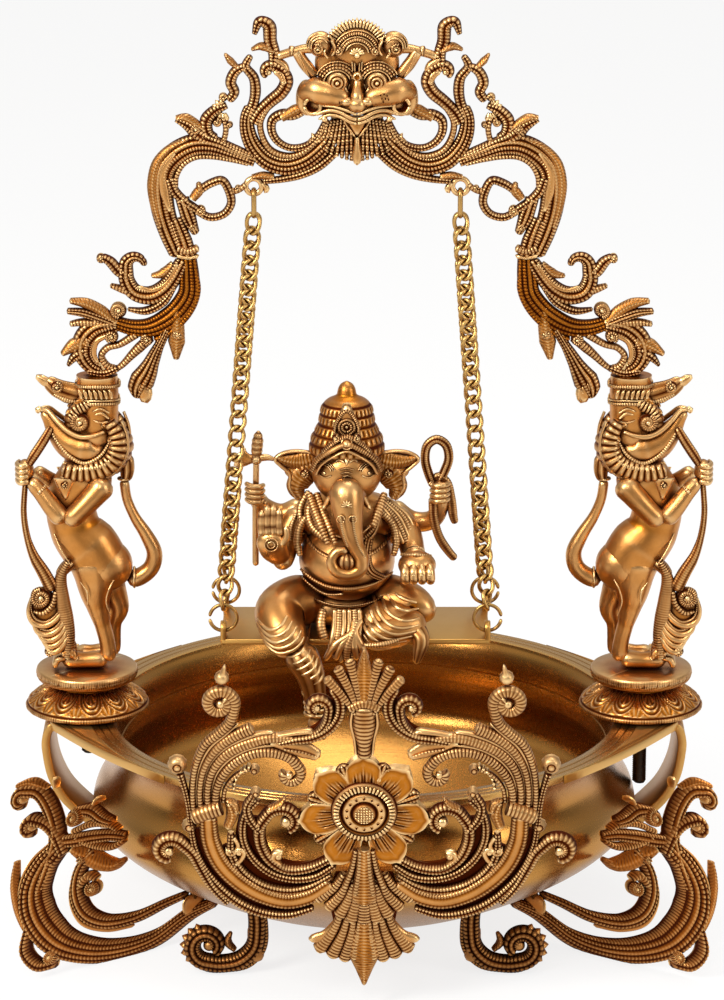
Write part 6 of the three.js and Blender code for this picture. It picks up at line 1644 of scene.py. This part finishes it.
# necklaces, the cord across the belly and the pleated scarf on one shoulder
chains_on = []
for drop, thick, kind in ((60, 1.3, "rope"), (56.5, 1.0, "rope"), (64, 0.8, "smooth")):
    chains_on += strand([(-21, 78), (-16, drop + 6), (-8, drop - 1), (0, drop - 3), (8, drop - 1),
                         (16, drop + 6), (21, 78)], [thick], kind, deep=1.6, cut=1.5)
figure += wrapped(chains_on, (0, -4, 62), (31, 23, 34), 0.4)
belly_lines = strand([(-26, 58), (-14, 52.6), (0, 50), (14, 52.6), (26, 57)], [0.9, 1.1, 0.9], "rope",
                     deep=1.6, cut=1.4)
belly_lines += strand([(-27, 40), (-14, 34), (0, 32.4), (14, 34), (27, 38)], [1.0, 1.3, 1.0], "rope",
                      deep=1.6, cut=1.4)
belly_lines += strand([(-26, 34.6), (-13, 27.4), (-2, 29)], [0.9, 1.2, 0.9], "rope", deep=1.6, cut=1.4)
belly_lines += strand([(18, 70), (12, 56), (13, 44), (22, 36)], [1.6, 2.6, 2.8, 2.0], "3", deep=1.5,
                      cut=1.4)
figure += wrapped(belly_lines, BELLY, (30, 30, 26), 0.2)
for k in range(5):
    lean = 2.3 * k
    figure += limb([(17 + lean * 0.7, -16 + lean * 0.9, 80 - lean * 0.2),
                    (26 + lean, -16 + lean * 0.8, 68), (33 + lean, -18 + lean * 0.7, 54 - lean * 0.3)],
                    [1.0, 1.5, 1.3], "rope" if k % 2 else "smooth", around=10, cut=1.5)
figure += limb([(-18, -14, 82), (-22, -17, 74), (-20, -22, 66), (-12, -29, 60)], [1.6, 2.4, 2.4, 1.6],
               "rope", around=12, cut=1.8)
figure += limb([(-22, -10, 84), (-27, -12, 74), (-26, -17, 64)], [1.4, 2.0, 1.4], "rope", around=10,
               cut=1.8)
# the belt and the sash
belt = strand([(-26, 24), (-14, 20.6), (0, 19.4), (14, 20.6), (26, 24)], [1.8, 2.2, 1.8], "3", deep=1.8,
              cut=1.4)
figure += wrapped(belt, BELLY, (31, 31, 30), 1.2)
for k, (u, low_u, low_v) in enumerate(((-7, -10, -6), (-4.4, -6.6, -9), (-1.6, -3.4, -11), (1.4, 0, -11),
                                       (4.4, 3.2, -9), (7.2, 6.8, -6))):
    figure += limb([(u, -35, 20), (u * 1.05, -38, 10), ((u + low_u) / 2, -40.4, 3),
                    (low_u, -40.6, low_v)], [1.4, 1.7, 1.9, 1.3], "rope" if k in (1, 4) else "smooth",
                    around=10, cut=1.5)
figure += limb([(-13.6, -34, 20), (-15, -38.6, 11), (-12.6, -41, 3)], [2.0, 2.6, 2.2], "rope", around=12,
               cut=1.9)
# the leg that hangs in front, with its folds, anklet and foot
thigh = limb([(-16, -6, 17), (-32, -18, 18), (-39, -28, 15), (-36, -40, 7), (-28, -45, -4)],
             [15, 15.5, 15, 12.8, 10.8], around=36)
figure += thigh
left_skin = skin_of(thigh + limb([(-30, -43, 0), (-22, -46, -14), (-18.6, -47, -28), (-17.6, -48, -40)],
                                 [10.6, 8.6, 6.6, 5.4]))
left_folds = [[
    (-53 + 0.5 * k + 0.14 * k * k, 15.5 - 3.0 * k), (-45.4 + 1.3 * k, 11.6 - 3.4 * k),
    (-39 + 2.4 * k, 13.6 - 3.1 * k), (-34 + 3.0 * k - 0.1 * k * k, 19.4 - 2.8 * k),
] for k in range(14)]
figure += folds_on(left_skin, left_folds, 1.3)
figure += limb([(-30, -43, 0), (-22, -46, -14), (-18.6, -47, -28), (-17.6, -48, -40)],
               [10.6, 8.6, 6.6, 5.4], "folds", around=40, fold=9, deep=0.5)
for v, radius in ((-33, 6.6), (-36, 6.2), (-39.4, 6.4)):
    ring = [(-17.8 + radius * math.cos(t), -47.8 + radius * math.sin(t), v)
            for t in np.linspace(0, 2 * math.pi, 20, endpoint=False)]
    figure += [wire_loop(ring, 1.1, 8, True, (0, 0, 1))]
figure += limb([(-17.6, -46, -42), (-17.4, -52, -46.4), (-17.2, -58, -48.6), (-17, -62, -49.2)],
               [5.4, 5.4, 4.8, 3.0], around=16)
for k in range(5):
    figure += blob((-20.8 + 1.9 * k, -62.6 + 0.25 * (k - 2) ** 2, -49.8), (1.2, 1.8, 1.2), 10, 6)
# the folded leg, wrapped in the pleats of the cloth
lap = limb([(14, -4, 16), (30, -14, 18), (42.5, -22, 14.6), (44, -28, 11)], [14.6, 15, 12.6, 9.4],
           around=36)
lap += limb([(5, -19, 8), (19, -25, 7), (32, -27.5, 9), (43, -26, 11.4)], [14, 15.6, 13.6, 9.4],
            around=36)
lap += limb([(44, -26, 10), (34, -33.4, 8.6), (22, -37, 6.8), (10, -38.4, 5.6)], [9.4, 9.0, 7.8, 6.2],
            around=32)
figure += lap
right_folds = [[
    (27.7 - 4.6 * k + 0.16 * k * k, 26.5 - 0.8 * k),
    (31 - 3.9 * k + 0.08 * k * k, 24.4 - 3.3 * k + 0.14 * k * k),
    (37 - 2.4 * k - 0.04 * k * k, 22.4 - 4.2 * k + 0.11 * k * k),
    (41 + 1.6 * k - 0.43 * k * k, 21.4 - 3.4 * k + 0.03 * k * k),
] for k in range(9)]
figure += folds_on(skin_of(lap), right_folds, 1.35)
figure += limb([(30, -44, 4), (20, -47.6, 2.2), (10, -47, 1.6)], [1.0, 1.6, 1.2], "rope", around=10,
               cut=1.5)
for k in range(5):
    fall = [(9 - 1.2 * k, -37, 14), (5 - 0.4 * k, -41, 8), (8 - 3.6 * k, -42.6, 0.6),
            (12 - 6.2 * k, -42, -9)]
    figure += limb(fall, [1.4, 2.2, 2.6, 1.4], "rope" if k == 2 else "smooth", around=12, cut=1.6)
figure += limb([(36, -28, 10), (43, -38, 3), (41.6, -40, -6), (40, -39, -12)], [7.4, 5.4, 3.8, 1.6],
               "folds", around=30, fold=8, deep=0.5)


def on_the_seat(points):
    """Placed on the seat, cut flat where it sits, and open only in front of the seat's edge"""
    found = points.copy()
    over = (points[:, 1] > -31.6) & (points[:, 2] < 0.3)
    found[over, 2] = 0.3
    return found + np.array([-10.0, 0, SEAT_TOP])


figure_piece = cast("seated_ganesha", figure, on_the_seat)
finish(figure_piece, cast_brass, body="seat", nodes=["ganesha"])


# Yalis: solid cast beasts with an elephant's head, polished smooth on the body and chased on the head,
# ruff and vine. Each stands on its hind legs and pulls a vine out of its own mouth. They are riveted
# through the pedestals.
beast = []
# body: chest, waist and haunch, with the skin flowing from one to the next
beast += limb([(-8, 0, 128), (-2, 0, 116), (7, 0, 102), (5, 0, 84), (-5, 0, 70), (-10, 0, 58),
               (-8, 0, 46)], [15, 16, 14.6, 14.8, 17.4, 17, 11], around=44, flat=0.86, parts=10)
beast += blob((-11, 0, 62), (17, 14.4, 16), 36, 18)
beast += limb([(-1, 3, 84), (-4, 0.6, 70), (-6, -2.4, 57), (-6.6, -5, 44), (-9.4, -6, 30),
               (-12.4, -6, 17), (-13, -6, 9), (-11.6, -6, 4.6)], [5, 12, 14, 11.0, 7.0, 4.8, 4.6, 5.0],
               around=32, parts=8)
beast += limb([(-11, 6, 54), (-16, 7, 42), (-18.6, 7, 33), (-15.6, 7, 24), (-15.4, 7, 12), (-14, 7, 4)],
              [12, 8.6, 6.6, 5.0, 4.4, 5.0], around=24)
for y, reach in ((-6, 13.6), (7, 6.4)):
    beast += limb([(-13, y, 6.4), (-7, y, 5.6), (2, y, 5.0), (reach * 0.8, y, 5.4), (reach + 1, y, 5.0)],
                  [5.0, 5.2, 4.8, 5.4, 4.6], around=24)
    for k in range(4):
        toe = y - 4.5 + 3 * k
        beast += limb([(reach - 2, toe, 7.6), (reach + 2.2, toe, 7.0), (reach + 4.2, toe, 4.0),
                       (reach + 4.0, toe, 1.4)], [1.5, 2.1, 2.1, 1.5], around=12)
# the cuff above the front foot
beast += limb([(9.6, -6, 8), (9.2, -6, 13), (9.6, -6, 18)], [4.4, 3.8, 3.4], "rope", around=18, cut=1.8)
# lines cut round the haunch and the knee
for path in (
    [(-20, -9, 60), (-15, -14.4, 52), (-13, -14.8, 44), (-15.4, -12.6, 34)],
    [(2, -14.6, 56), (-2, -16, 50), (-2, -15.4, 42)],
    [(17.4, -8, 84), (12.6, -12.4, 74), (7, -15, 66)],
):
    beast += limb(path, [0.2, 0.55, 0.2], around=8)
# tail with its bud
beast += limb([(-24, 4, 52), (-31, 4, 53), (-38.6, 4, 59), (-40.6, 4, 68), (-36, 4, 79), (-29.4, 4, 90),
               (-25, 4, 101), (-23.4, 4, 113)], [5.6, 5.2, 4.8, 4.4, 3.6, 3.0, 2.9, 2.9], around=20)
beast += limb([(-24.4, 3.4, 112), (-25.4, 3, 118), (-25, 2.6, 125), (-23.2, 2, 131)],
              [2.6, 4.0, 4.2, 1.4], "folds", around=24, fold=6, deep=0.5)
turns = np.linspace(0, 2 * math.pi, 20, endpoint=False)
root_ring = [(-28.6, 4 + 5.8 * math.sin(t), 53 + 5.8 * math.cos(t)) for t in turns]
bud_ring = [(-23.6 + 3.4 * math.cos(t), 4 + 3.4 * math.sin(t), 113.4) for t in turns]
beast.append(wire_loop(root_ring, 0.8, 8, steady=(1, 0, 0)))
beast.append(wire_loop(bud_ring, 0.8, 8, steady=(0, 0, 1)))
# head: a smooth column, a bowl of a lower jaw with a lipped rim, and the rolled trunk between
beast += limb([(-8.6, 0, 132), (-9.4, 0, 146), (-9.8, 0, 158), (-9.2, 0, 170), (-9, 0, 178),
               (-9, 0, 190)], [13, 11.4, 11.2, 12.0, 12.0, 12.0], around=40, flat=0.92)
beast += limb([(-12, 0, 140), (-9, 0, 134.6), (-1, 0, 133.4), (8, 0, 137), (15, 0, 144), (19.6, 0, 151),
               (23.4, 0, 155.6)], [9.6, 11.2, 11.4, 9.6, 7.0, 4.4, 2.2], around=34, flat=1.05)
for y in (-1, 1):
    rim = [(-14, y * 11.4, 146), (-7, y * 12.4, 143.6), (1, y * 11.6, 143), (9, y * 9.4, 146.6),
           (15, y * 6.4, 152), (19.6, y * 3.4, 156.4), (24, y * 1.0, 156.6)]
    beast += limb(rim, [1.1, 1.5, 1.6, 1.5, 1.2], around=12)
    low = [(-17, y * 8.8, 140), (-11, y * 11.4, 131.4), (-2, y * 12.0, 127), (7, y * 10.6, 131),
           (14, y * 7.6, 138.6), (18.4, y * 5.0, 146)]
    beast += limb(low, [0.7, 1.0, 1.0, 0.7], "rope", around=8, cut=1.5)
beast += limb([(23, 0, 155), (25.6, 0, 156.6), (25.4, 0, 153.6)], [2.2, 1.8, 1.0], around=12)
roll = [(-6, 0, 160), (0, 0, 156.6), (5.4, 0, 152.4), (6.4, 0, 147.4), (2.6, 0, 144.4), (-1.4, 0, 146.4),
        (-1.0, 0, 150), (2.2, 0, 150.4)]
beast += limb(roll, [8.4, 6.6, 5.0, 4.0, 3.2, 2.6, 2.0, 1.4], "pleat", around=24, cut=2.9, deep=0.5)
for y in (-1, 1):
    beast += upright(snail((0.6, 151.0), 6.4, 0, 1.5, 75, -1, 1.9), -8.8 if y < 0 else 8.0)
    beast += upright(strand([(-6, 163), (-1.6, 160.4), (3.4, 157.6), (6.6, 153)], [2.6, 3.6, 3.2, 2.0],
                            "pleats", deep=2.4, cut=2.2), y * 8.0)
    beast += upright(strand([(-2, 166), (1.6, 160), (5.0, 157), (9, 156.4)], [2.0, 3.4, 3.0, 1.2], "leaf",
                            deep=1.6), y * 7.4)
    beast += upright(strand([(-16, 153.4), (-12, 156.4), (-7.4, 155.6)], [0.5, 1.3, 0.5], "smooth",
                            deep=1.2), y * 9.8)
    beast += upright(strand([(-16.4, 157), (-11.4, 159.4), (-6.4, 157.6)], [0.5, 0.9, 0.4], "smooth",
                            deep=1.2), y * 10.2)
    beast += upright(strand([(-15.4, 151.6), (-11, 151.2), (-7, 152.6)], [0.4, 0.8, 0.4], "smooth",
                            deep=1.0), y * 10.4)
    beast += upright(strand([(-12, 150), (-17, 148.6), (-18.6, 143.6), (-15.6, 139.6)],
                            [1.6, 3.6, 3.2, 1.4], "leaf", deep=2.0), y * 9.6)
# the band at the top of the column: a cord, a line and engraved leaves
for v, radius, thick, kind in ((162.4, 12.0, 0.9, "rope"), (164.4, 12.2, 0.6, "smooth"),
                               (172.6, 12.3, 0.9, "rope")):
    loop = []
    for t in np.linspace(0, 2 * math.pi, 48):
        c, s = math.cos(t), math.sin(t)
        loop.append((-9.4 + radius * c, radius * 0.95 * s, v + 1.6 * s ** 2 - 1.6 * (s < 0)))
    beast += limb(loop, [thick], kind, around=8, cut=1.4, deep=0.3, up=(0, 0, 1))
for k in range(7):
    leaf = strand([(u + 2.9 * k, v) for u, v in ((-18, 165.6), (-17.4, 168.6), (-16.4, 171))],
                  [0.6, 1.3, 0.5], "smooth", deep=1.0)
    beast += upright(leaf, -10.6 - 1.3 * math.sin(math.pi * (k + 0.5) / 7))
# the horn: a leaf with a rolled tip, outward
beast += limb([(-2, 0, 164), (6, 0, 166), (14, 0, 169), (21, 0, 174.4)], [6.6, 6.2, 5.2, 3.4], "folds",
              around=28, flat=0.62, fold=8, deep=0.4)
beast += limb([(18, 0, 171), (23.4, 0, 174.8), (24.8, 0, 176.6), (22, 0, 178)], [3.2, 3.0, 2.4, 1.4],
              around=14, flat=0.8)
beast += upright(snail((14, 170.6), 4.2, 0, 1.5, 90, 1, 1.1), -3.0)
beast += limb([(2, -3, 161), (9, -3, 162.6), (16, -2, 166)], [1.2, 1.6, 0.8], "rope", around=8)
# the pleated ruff under the jaw
RUFF = [(-16.4, 152), (-20.6, 144), (-21.0, 134.6), (-16.6, 126.8), (-8, 122.2), (2, 121), (11.6, 123)]
for y in (-1, 1):
    beast += upright(strand(RUFF, [3.4, 5.0, 5.8, 6.0, 6.0, 5.6, 4.4], "pleats", deep=3.4, cut=3.7,
                            tip=0.3), y * 10.8)
    outer = [(-23.6, 152), (-26.4, 143), (-26.2, 132.6), (-20.6, 122.8), (-9.4, 116.6), (2, 115.6),
             (12.6, 118.6)]
    beast += upright(strand(outer, [0.9, 1.2, 1.2], "smooth", deep=2.2), y * 10.4)
beast += limb([(-21, 0, 144), (-21.6, 0, 134), (-17, 0, 126), (-8, 0, 121.8), (2, 0, 120.6),
               (10, 0, 123)], [6, 7.4, 7.6, 7.6, 7.0, 5.4], "pleat", around=30, flat=1.45, cut=3.7,
               deep=0.9)
for y in (-1, 1):
    edge = [(-17, y * 12.2, 142), (-18.6, y * 13.4, 134), (-14.6, y * 14, 127.4), (-6, y * 14, 124.6),
            (4, y * 12.6, 124.6), (11, y * 9.6, 127)]
    beast += limb(edge, [0.8, 1.1, 0.8], "rope", around=8, cut=1.5)
    beast += upright(strand([(10, 118), (10, 112), (9.6, 105)], [6.4, 3.8, 0.8], "smooth", deep=1.6),
                     y * 12.0)
    beast += upright(snail((10.2, 114.4), 2.6, 0, 1.2, 90, 1, 0.7), -13.4 if y < 0 else 12.6)
# arms and fists on the vine
beast += limb([(-15, -10, 117), (-6, -14, 107), (4, -16.4, 97), (10, -16.4, 92.6)], [8.6, 7.0, 6.2, 5.8],
              around=26)
beast += limb([(10, -16.2, 92.6), (17, -15, 101), (24, -13, 110), (31, -10.6, 117.6)],
              [6.0, 5.6, 4.8, 4.4], around=24)
beast += limb([(-13, 10, 117), (-4, 13, 108), (6, 12, 104), (18, 8, 110), (29, 3.4, 119)],
              [8.2, 6.4, 5.6, 4.8, 4.2], around=22)
beast += blob((34.2, -8, 121.4), (6.4, 7.4, 7.0), 24, 14)
for k in range(4):
    beast += limb([(30.6, -14.4, 117 + 3.2 * k), (36.8, -15.0, 116.4 + 3.2 * k),
                   (40.0, -9.6, 116.6 + 3.1 * k), (38.4, -3.6, 117 + 3.1 * k)], [1.7, 2.0, 1.9, 1.4],
                   around=10)
beast += limb([(26.4, -13.6, 107.6), (24.0, -17.6, 111.6), (20.8, -13.0, 114)], [0.8, 1.0, 0.8], "rope",
              around=8)
# the vine and the shell scroll that it ends in
beast += limb([(17.6, -5, 147), (22, -7, 139.6), (27.4, -9, 131.6), (32, -9.6, 125)],
              [2.0, 2.5, 2.6, 2.4], "cords", around=24, fold=5, cut=1.5, deep=0.25)
beast += limb([(33.6, -9.6, 117), (34.8, -10.4, 108), (35.6, -11, 97), (34, -11.4, 85), (29.6, -12, 72),
               (23.4, -12.4, 61), (18, -12.6, 50)], [1.9, 2.0, 2.1, 2.3, 2.8, 3.6, 4.0], "cords",
               around=26, fold=6, cut=1.5, deep=0.25)
scroll = strand([(9, 68), (13.4, 58), (13, 46), (11, 34), (9.6, 22), (10.4, 8)],
                [2.0, 3.6, 4.4, 4.4, 3.8, 2.8], "rope", deep=3.4, cut=1.5)
scroll += snail((25.2, 46), 7.0, -1.6, 1.8, 90, -1, 1.7, lift=1.0)
scroll += snail((21, 12.6), 3.4, -1.0, 1.4, 90, 1, 1.1)
SHELL_LINES = (
    [(31.6, 45), (33.6, 37), (30.4, 30.6), (23.4, 28.6), (16, 33), (10.6, 43)],
    [(30.8, 30.8), (27, 24.6), (20.4, 23.4), (14, 28), (9.8, 37)],
    [(28, 25.4), (23.8, 20.2), (18.2, 20.2), (12.8, 25), (9.4, 33)],
    [(25.4, 20.6), (21.4, 16.4), (16.8, 17), (12.2, 21.6), (9.4, 29)],
    [(23, 16), (19.4, 12.6), (15.6, 13.8), (12, 18), (9.6, 24)],
)
for k, path in enumerate(SHELL_LINES):
    scroll += strand(path, [1.0, 2.2, 2.3, 2.0, 1.0], "smooth", y=-0.3 * k, deep=3.4)
    inner = [(0.86 * a + 2.6, b + 2.4) for a, b in path]
    scroll += strand(inner, [0.6, 1.0, 1.0, 0.6], "rope", y=-0.2, deep=3.6, cut=1.2)
scroll += strand([(23, 50), (24, 40), (21, 30), (19, 22), (15, 12)], [4.0, 8.6, 9.0, 7.4, 4.4], "smooth",
                 y=1.4, deep=1.6)
scroll += strand([(16.6, 50), (18.4, 42), (24, 36.6), (30, 37.4)], [1.4, 2.2, 2.0, 1.0], "rope", y=-0.6,
                 deep=3.2)
scroll += strand([(5, 8), (9, 12), (14, 11)], [1.6, 3.0, 2.0], "leaf", y=-0.4, deep=2.6)
beast += upright(scroll, -11.6)
beast += limb([(15, -11.6, 58), (11, -10, 63), (6, -8, 67)], [2.6, 3.4, 3.4], "folds", around=18, fold=6,
              deep=0.4)


YALI_FOOT, YALI_TALL = 146.1, 176.9
ARM_REACH, ARM_SQUEEZE = 30, 0.76


def on_the_pedestal(side):
    """Stands the beast on its pedestal. What reaches out past its arm is drawn in"""
    def move(points):
        found = points.copy()
        past = points[:, 0] - ARM_REACH
        out = np.where(past > 0, ARM_REACH + past * ARM_SQUEEZE, points[:, 0])
        found[:, 0] = side * (out + PEDESTAL_X)
        found[:, 2] = np.clip(points[:, 2], 0, YALI_TALL) + YALI_FOOT
        return found
    return move


for side_name, side_sign in SIDES:
    yali = cast("makara_yali_" + side_name, beast, on_the_pedestal(side_sign))
    finish(yali, cast_brass, nodes=["yali_" + side_name])


# Legs and feet: dark scroll castings. The feet's brass is darker still, as painted shade under the bowl. The
# side legs stand in planes turned a little to the front. Two small curled feet carry the bowl's front, and a
# third leg stands behind.
dark_brass = brass("dark_brass", "B8681F", "FFD892", "481C08", satin=0.26, reach=5.0, strength=1.2,
                   mottle=0.2)
# The feet's brass is painted darker, as painted shade from the bowl that hangs over them
foot_brass_painted_shade = brass("foot_brass_painted_shade", "7C441A", "CC9658", "2C0F04", satin=0.34, reach=5.0, strength=1.1,
                   mottle=0.25)


def leg_band(path, half, cords, deep=5.0, **more):
    return strand(path, half, str(cords), deep=deep, cut=2.4, **more)


leg = []
leg += leg_band([(208, 76), (217, 68), (224, 54), (222, 38), (209, 19.6), (188, 8.6), (165, 4.8),
                 (143, 7), (121, 16.6), (104, 20)], [6, 9.4, 11.4, 11, 9, 7.6, 6.4, 5.6, 5, 3.4], 5,
                 deep=5.4)
leg += strand([(214, 80), (226, 72), (233, 60), (233.6, 46), (228, 32), (218, 20)], [1.2, 1.6, 1.8, 1.6],
              "smooth", deep=4.4)
leg += strand([(236, 74), (237.4, 60), (235, 44), (228, 28.6), (219, 19.4)], [1.4, 2.8, 3.0, 2.8, 1.6],
              "leaf", deep=3.4, cut=1.9)
leg += leg_band([(221, 52), (214, 68), (209, 84), (213, 102), (220, 112.6), (228, 115)],
                [3.0, 4.4, 5.0, 5.0, 4.6, 3.6], 3, curl=(5.0, 3.2, -200), eye=2.6)
leg += strand([(214, 114), (224, 119.6), (234, 119)], [1.4, 2.6, 1.6], "leaf", y=-1.0, deep=3.8)
leg += strand([(210, 113), (209.4, 117), (211.4, 119)], [1.6, 2.0, 1.4], "smooth", deep=3.4)
leg += leg_band([(203, 72), (209, 86), (215, 93), (222, 96.6)], [3.6, 4.4, 4.2, 3.4], 2, y=-0.8,
                curl=(4.6, 3.0, -230), eye=2.4)
leg += leg_band([(184, 70), (193, 62), (196.4, 48), (191, 33), (178, 24.4), (158, 22.6), (138, 26.6),
                 (124, 29)], [3.4, 4.0, 4.4, 4.6, 4.4, 3.8, 3.2, 2.6], 3)
leg += strand([(190, 62), (198.6, 56), (201, 42), (194, 27), (178, 19), (160, 17.6)],
              [1.2, 1.5, 1.6, 1.5, 1.2], "smooth", deep=3.8)
leg += strand([(208, 80), (196, 78.6), (184, 78), (172, 76.4), (163, 73.6)], [3.6, 4.6, 4.4, 3.8, 3.2],
              "3", y=-1.2)
leg += strand([(199, 84), (186, 86), (174, 83), (168, 78)], [2.0, 2.4, 2.4, 2.0], "rope", deep=4.4)
leg += strand([(196, 96), (186, 94), (179, 88), (172, 84)], [3.0, 4.6, 4.2, 3.0], "3", deep=4.2)
leg += snail((196, 92.6), 6.4, -3.4, 1.7, 90, 1, 1.5)
leg += strand([(186, 96), (182, 100), (178, 99)], [1.6, 2.2, 1.6], "smooth", deep=3.8)
leg += strand([(198, 74), (188, 67), (178, 60.5), (170, 58), (164, 60)], [3.0, 5.6, 5.8, 4.4, 1.6],
              "leaf", y=-0.8, deep=4.4, cut=2.4)
leg += strand([(196, 80), (184, 73), (172, 69.5), (164, 72)], [2.4, 2.8, 2.6, 1.8], "rope", y=-0.6,
              deep=4.0)
leg += snail((184.6, 47), 5.4, -3.0, 1.7, 60, -1, 1.4)
leg += strand([(183, 52), (188, 55), (194, 50)], [2.0, 3.4, 2.6], "rope", y=-0.8, deep=4.4)
leg += snail((190.6, 66), 3.2, -4.4, 1.3, 0, 1, 1.0)
leg += snail((212.6, 11.8), 5.2, -4.0, 1.7, 180, 1, 1.4)
leg += leg_band([(229, 33), (230.6, 18), (222, 7.4), (211, 6.4)], [2.2, 3.2, 3.6, 3.0], 2, y=-0.4)
leg += limb([(119, 0, 13), (120, 0, 22), (120, 0, 29)], [6.4, 6.4, 6.4], around=24)


def in_the_plane(angle, squeeze=1.0):
    """Turns a leg, drawn flat, into its own plane through the bowl's middle"""
    turn = math.radians(angle)

    def move(points):
        out = points[:, 0].copy()
        if squeeze != 1.0:
            out = np.where(out > 160, 160 + (out - 160) * squeeze, out)
        across = points[:, 1]
        x = out * math.cos(turn) + across * math.sin(turn) * (-1 if math.cos(turn) < 0 else 1)
        y = out * math.sin(turn) + across * abs(math.cos(turn))
        return np.stack([x, y, np.maximum(points[:, 2], 0.0)], -1)
    return move


BOWL_SKIN = np.array([(0, 4), (72, 9), (100, 19), (132, 36), (152, 50), (160.5, 60), (161, 70)])


def under_the_bowl(shells):
    """What would run into the bowl is pressed out to its skin"""
    found = []
    for points, faces, marks in shells:
        spot = points.copy()
        ceiling = np.interp(spot[:, 0], BOWL_SKIN[:, 0], BOWL_SKIN[:, 1]) - 0.5
        inside = (spot[:, 0] < 160) & (spot[:, 2] > ceiling)
        spot[inside, 2] = ceiling[inside]
        high = (spot[:, 2] >= 58) & (spot[:, 2] < 80) & (spot[:, 0] < 161.8)
        spot[high, 0] = 161.8
        found.append((spot, faces, marks))
    return found


leg = under_the_bowl(leg)
for leg_name, node_name, angle, squeeze in (
    ("scroll_leg_left", "side_leg_left", 180 + 34, 1.0),
    ("scroll_leg_right", "side_leg_right", -34, 1.0),
    ("scroll_leg_back", "back_leg", 90, (198.7 - 160) / 78),
):
    finish(cast(leg_name, leg, in_the_plane(angle, squeeze)), dark_brass, nodes=[node_name])

foot = []
foot += leg_band([(0, 44), (-1, 29), (1, 16), (9, 8), (20, 5.6), (28, 6.6)],
                 [5.4, 5.2, 5.4, 5.4, 5.0, 4.4], 3, deep=5.2, curl=(10.4, 4.4, 330), eye=3.4)
foot += strand([(-4.6, 40), (-6, 28), (-4.4, 14), (4, 4.6), (16, 1.8), (28, 2.0), (38, 8)],
               [0.9, 1.5, 1.7, 1.6, 1.4], "rope", deep=4.6)
for k in range(6):
    turn = math.radians(-40 + 22 * k)
    spike = [(29 + a * math.cos(turn), 16 + b * math.sin(turn)) for a, b in ((9, 9), (14.6, 14.4))]
    foot += strand(spike, [1.6, 2.2, 1.2], "smooth", deep=3.6)
foot += strand([(12, 14), (16, 19), (14, 25)], [1.6, 2.6, 1.0], "leaf", deep=4.0)
foot += limb([(0, 0, 6), (0, 0, 20), (0, 0, 30)], [4.8, 4.8, 4.8], around=20)
FOOT_X, FOOT_Y = 62, -117
low = []
for points, faces, marks in foot:
    spot = points.copy()
    away = np.hypot(FOOT_X + spot[:, 0], FOOT_Y + spot[:, 1])
    ceiling = np.interp(away, BOWL_SKIN[:, 0], BOWL_SKIN[:, 1]) - 0.5
    spot[:, 2] = np.clip(spot[:, 2], 0.0, ceiling)
    low.append((spot, faces, marks))


def under_the_front(side):
    """Sets the foot down at its place under the bowl, at the left or the right"""
    def move(points):
        found = points.copy()
        found[:, 0] = side * (points[:, 0] + FOOT_X)
        found[:, 1] += FOOT_Y
        return found
    return move


for side_name, side_sign in SIDES:
    curl = cast("curled_foot_" + side_name, low, under_the_front(side_sign))
    finish(curl, foot_brass_painted_shade, nodes=["curl_foot_" + side_name])


# Screws: small brass cheese-head screws, slotted and filed smooth. They hold the legs and feet through
# the bowl's floor, the ornament through its wall and the figure through the seat.
def slotted(name):
    """A cheese head with a rounded edge and a slot, on a threaded shank, laid over its CAD node"""
    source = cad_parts[name]
    corners = np.array([source.matrix_world @ v.co for v in source.data.vertices]) / MM
    lengths = np.ptp(corners, axis=0)
    axis = int(np.argmax(lengths))
    middle = (corners.max(axis=0) + corners.min(axis=0)) / 2
    near_low = np.abs(corners[:, axis] - corners[:, axis].min()) < 2.5
    head_low = np.ptp(corners[near_low][:, (axis + 1) % 3]) > 5.5
    total = lengths[axis]
    run = [(0.01, 0), (3.2, 0), (3.75, 0.2), (3.95, 0.6), (3.95, 2.2), (3.8, 2.4), (2.0, 2.4)]
    pitch = 0.7
    deep = np.arange(2.6, total - 0.6, pitch / 2)
    run += [(1.98 if i % 2 else 1.72, d) for i, d in enumerate(deep)]
    run += [(1.5, total - 0.25), (0.01, total - 0.2)]
    turns = np.linspace(0, 2 * math.pi, 28, endpoint=False)
    rows = np.array([[(r * math.cos(t), r * math.sin(t), d) for t in turns] for r, d in run])
    in_slot = (np.abs(rows[:, :, 1]) < 0.5) & (rows[:, :, 2] < 0.3)
    rows[:, :, 2] += np.where(in_slot, 1.0, 0)
    along = rows[:, :, 2] if head_low else total - rows[:, :, 2]
    spot = np.zeros_like(rows)
    spot[:, :, axis] = along + corners[:, axis].min()
    spot[:, :, (axis + 1) % 3] = rows[:, :, 0] + middle[(axis + 1) % 3]
    spot[:, :, (axis + 2) % 3] = rows[:, :, 1] + middle[(axis + 2) % 3]
    return cast("slotted_" + name, [shell_of(spot)])


for name in sorted(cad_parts):
    if "screw" in name:
        owner = "seat" if name.startswith("seat") else "stand"
        finish(slotted(name), drawn_brass, [name], owner)
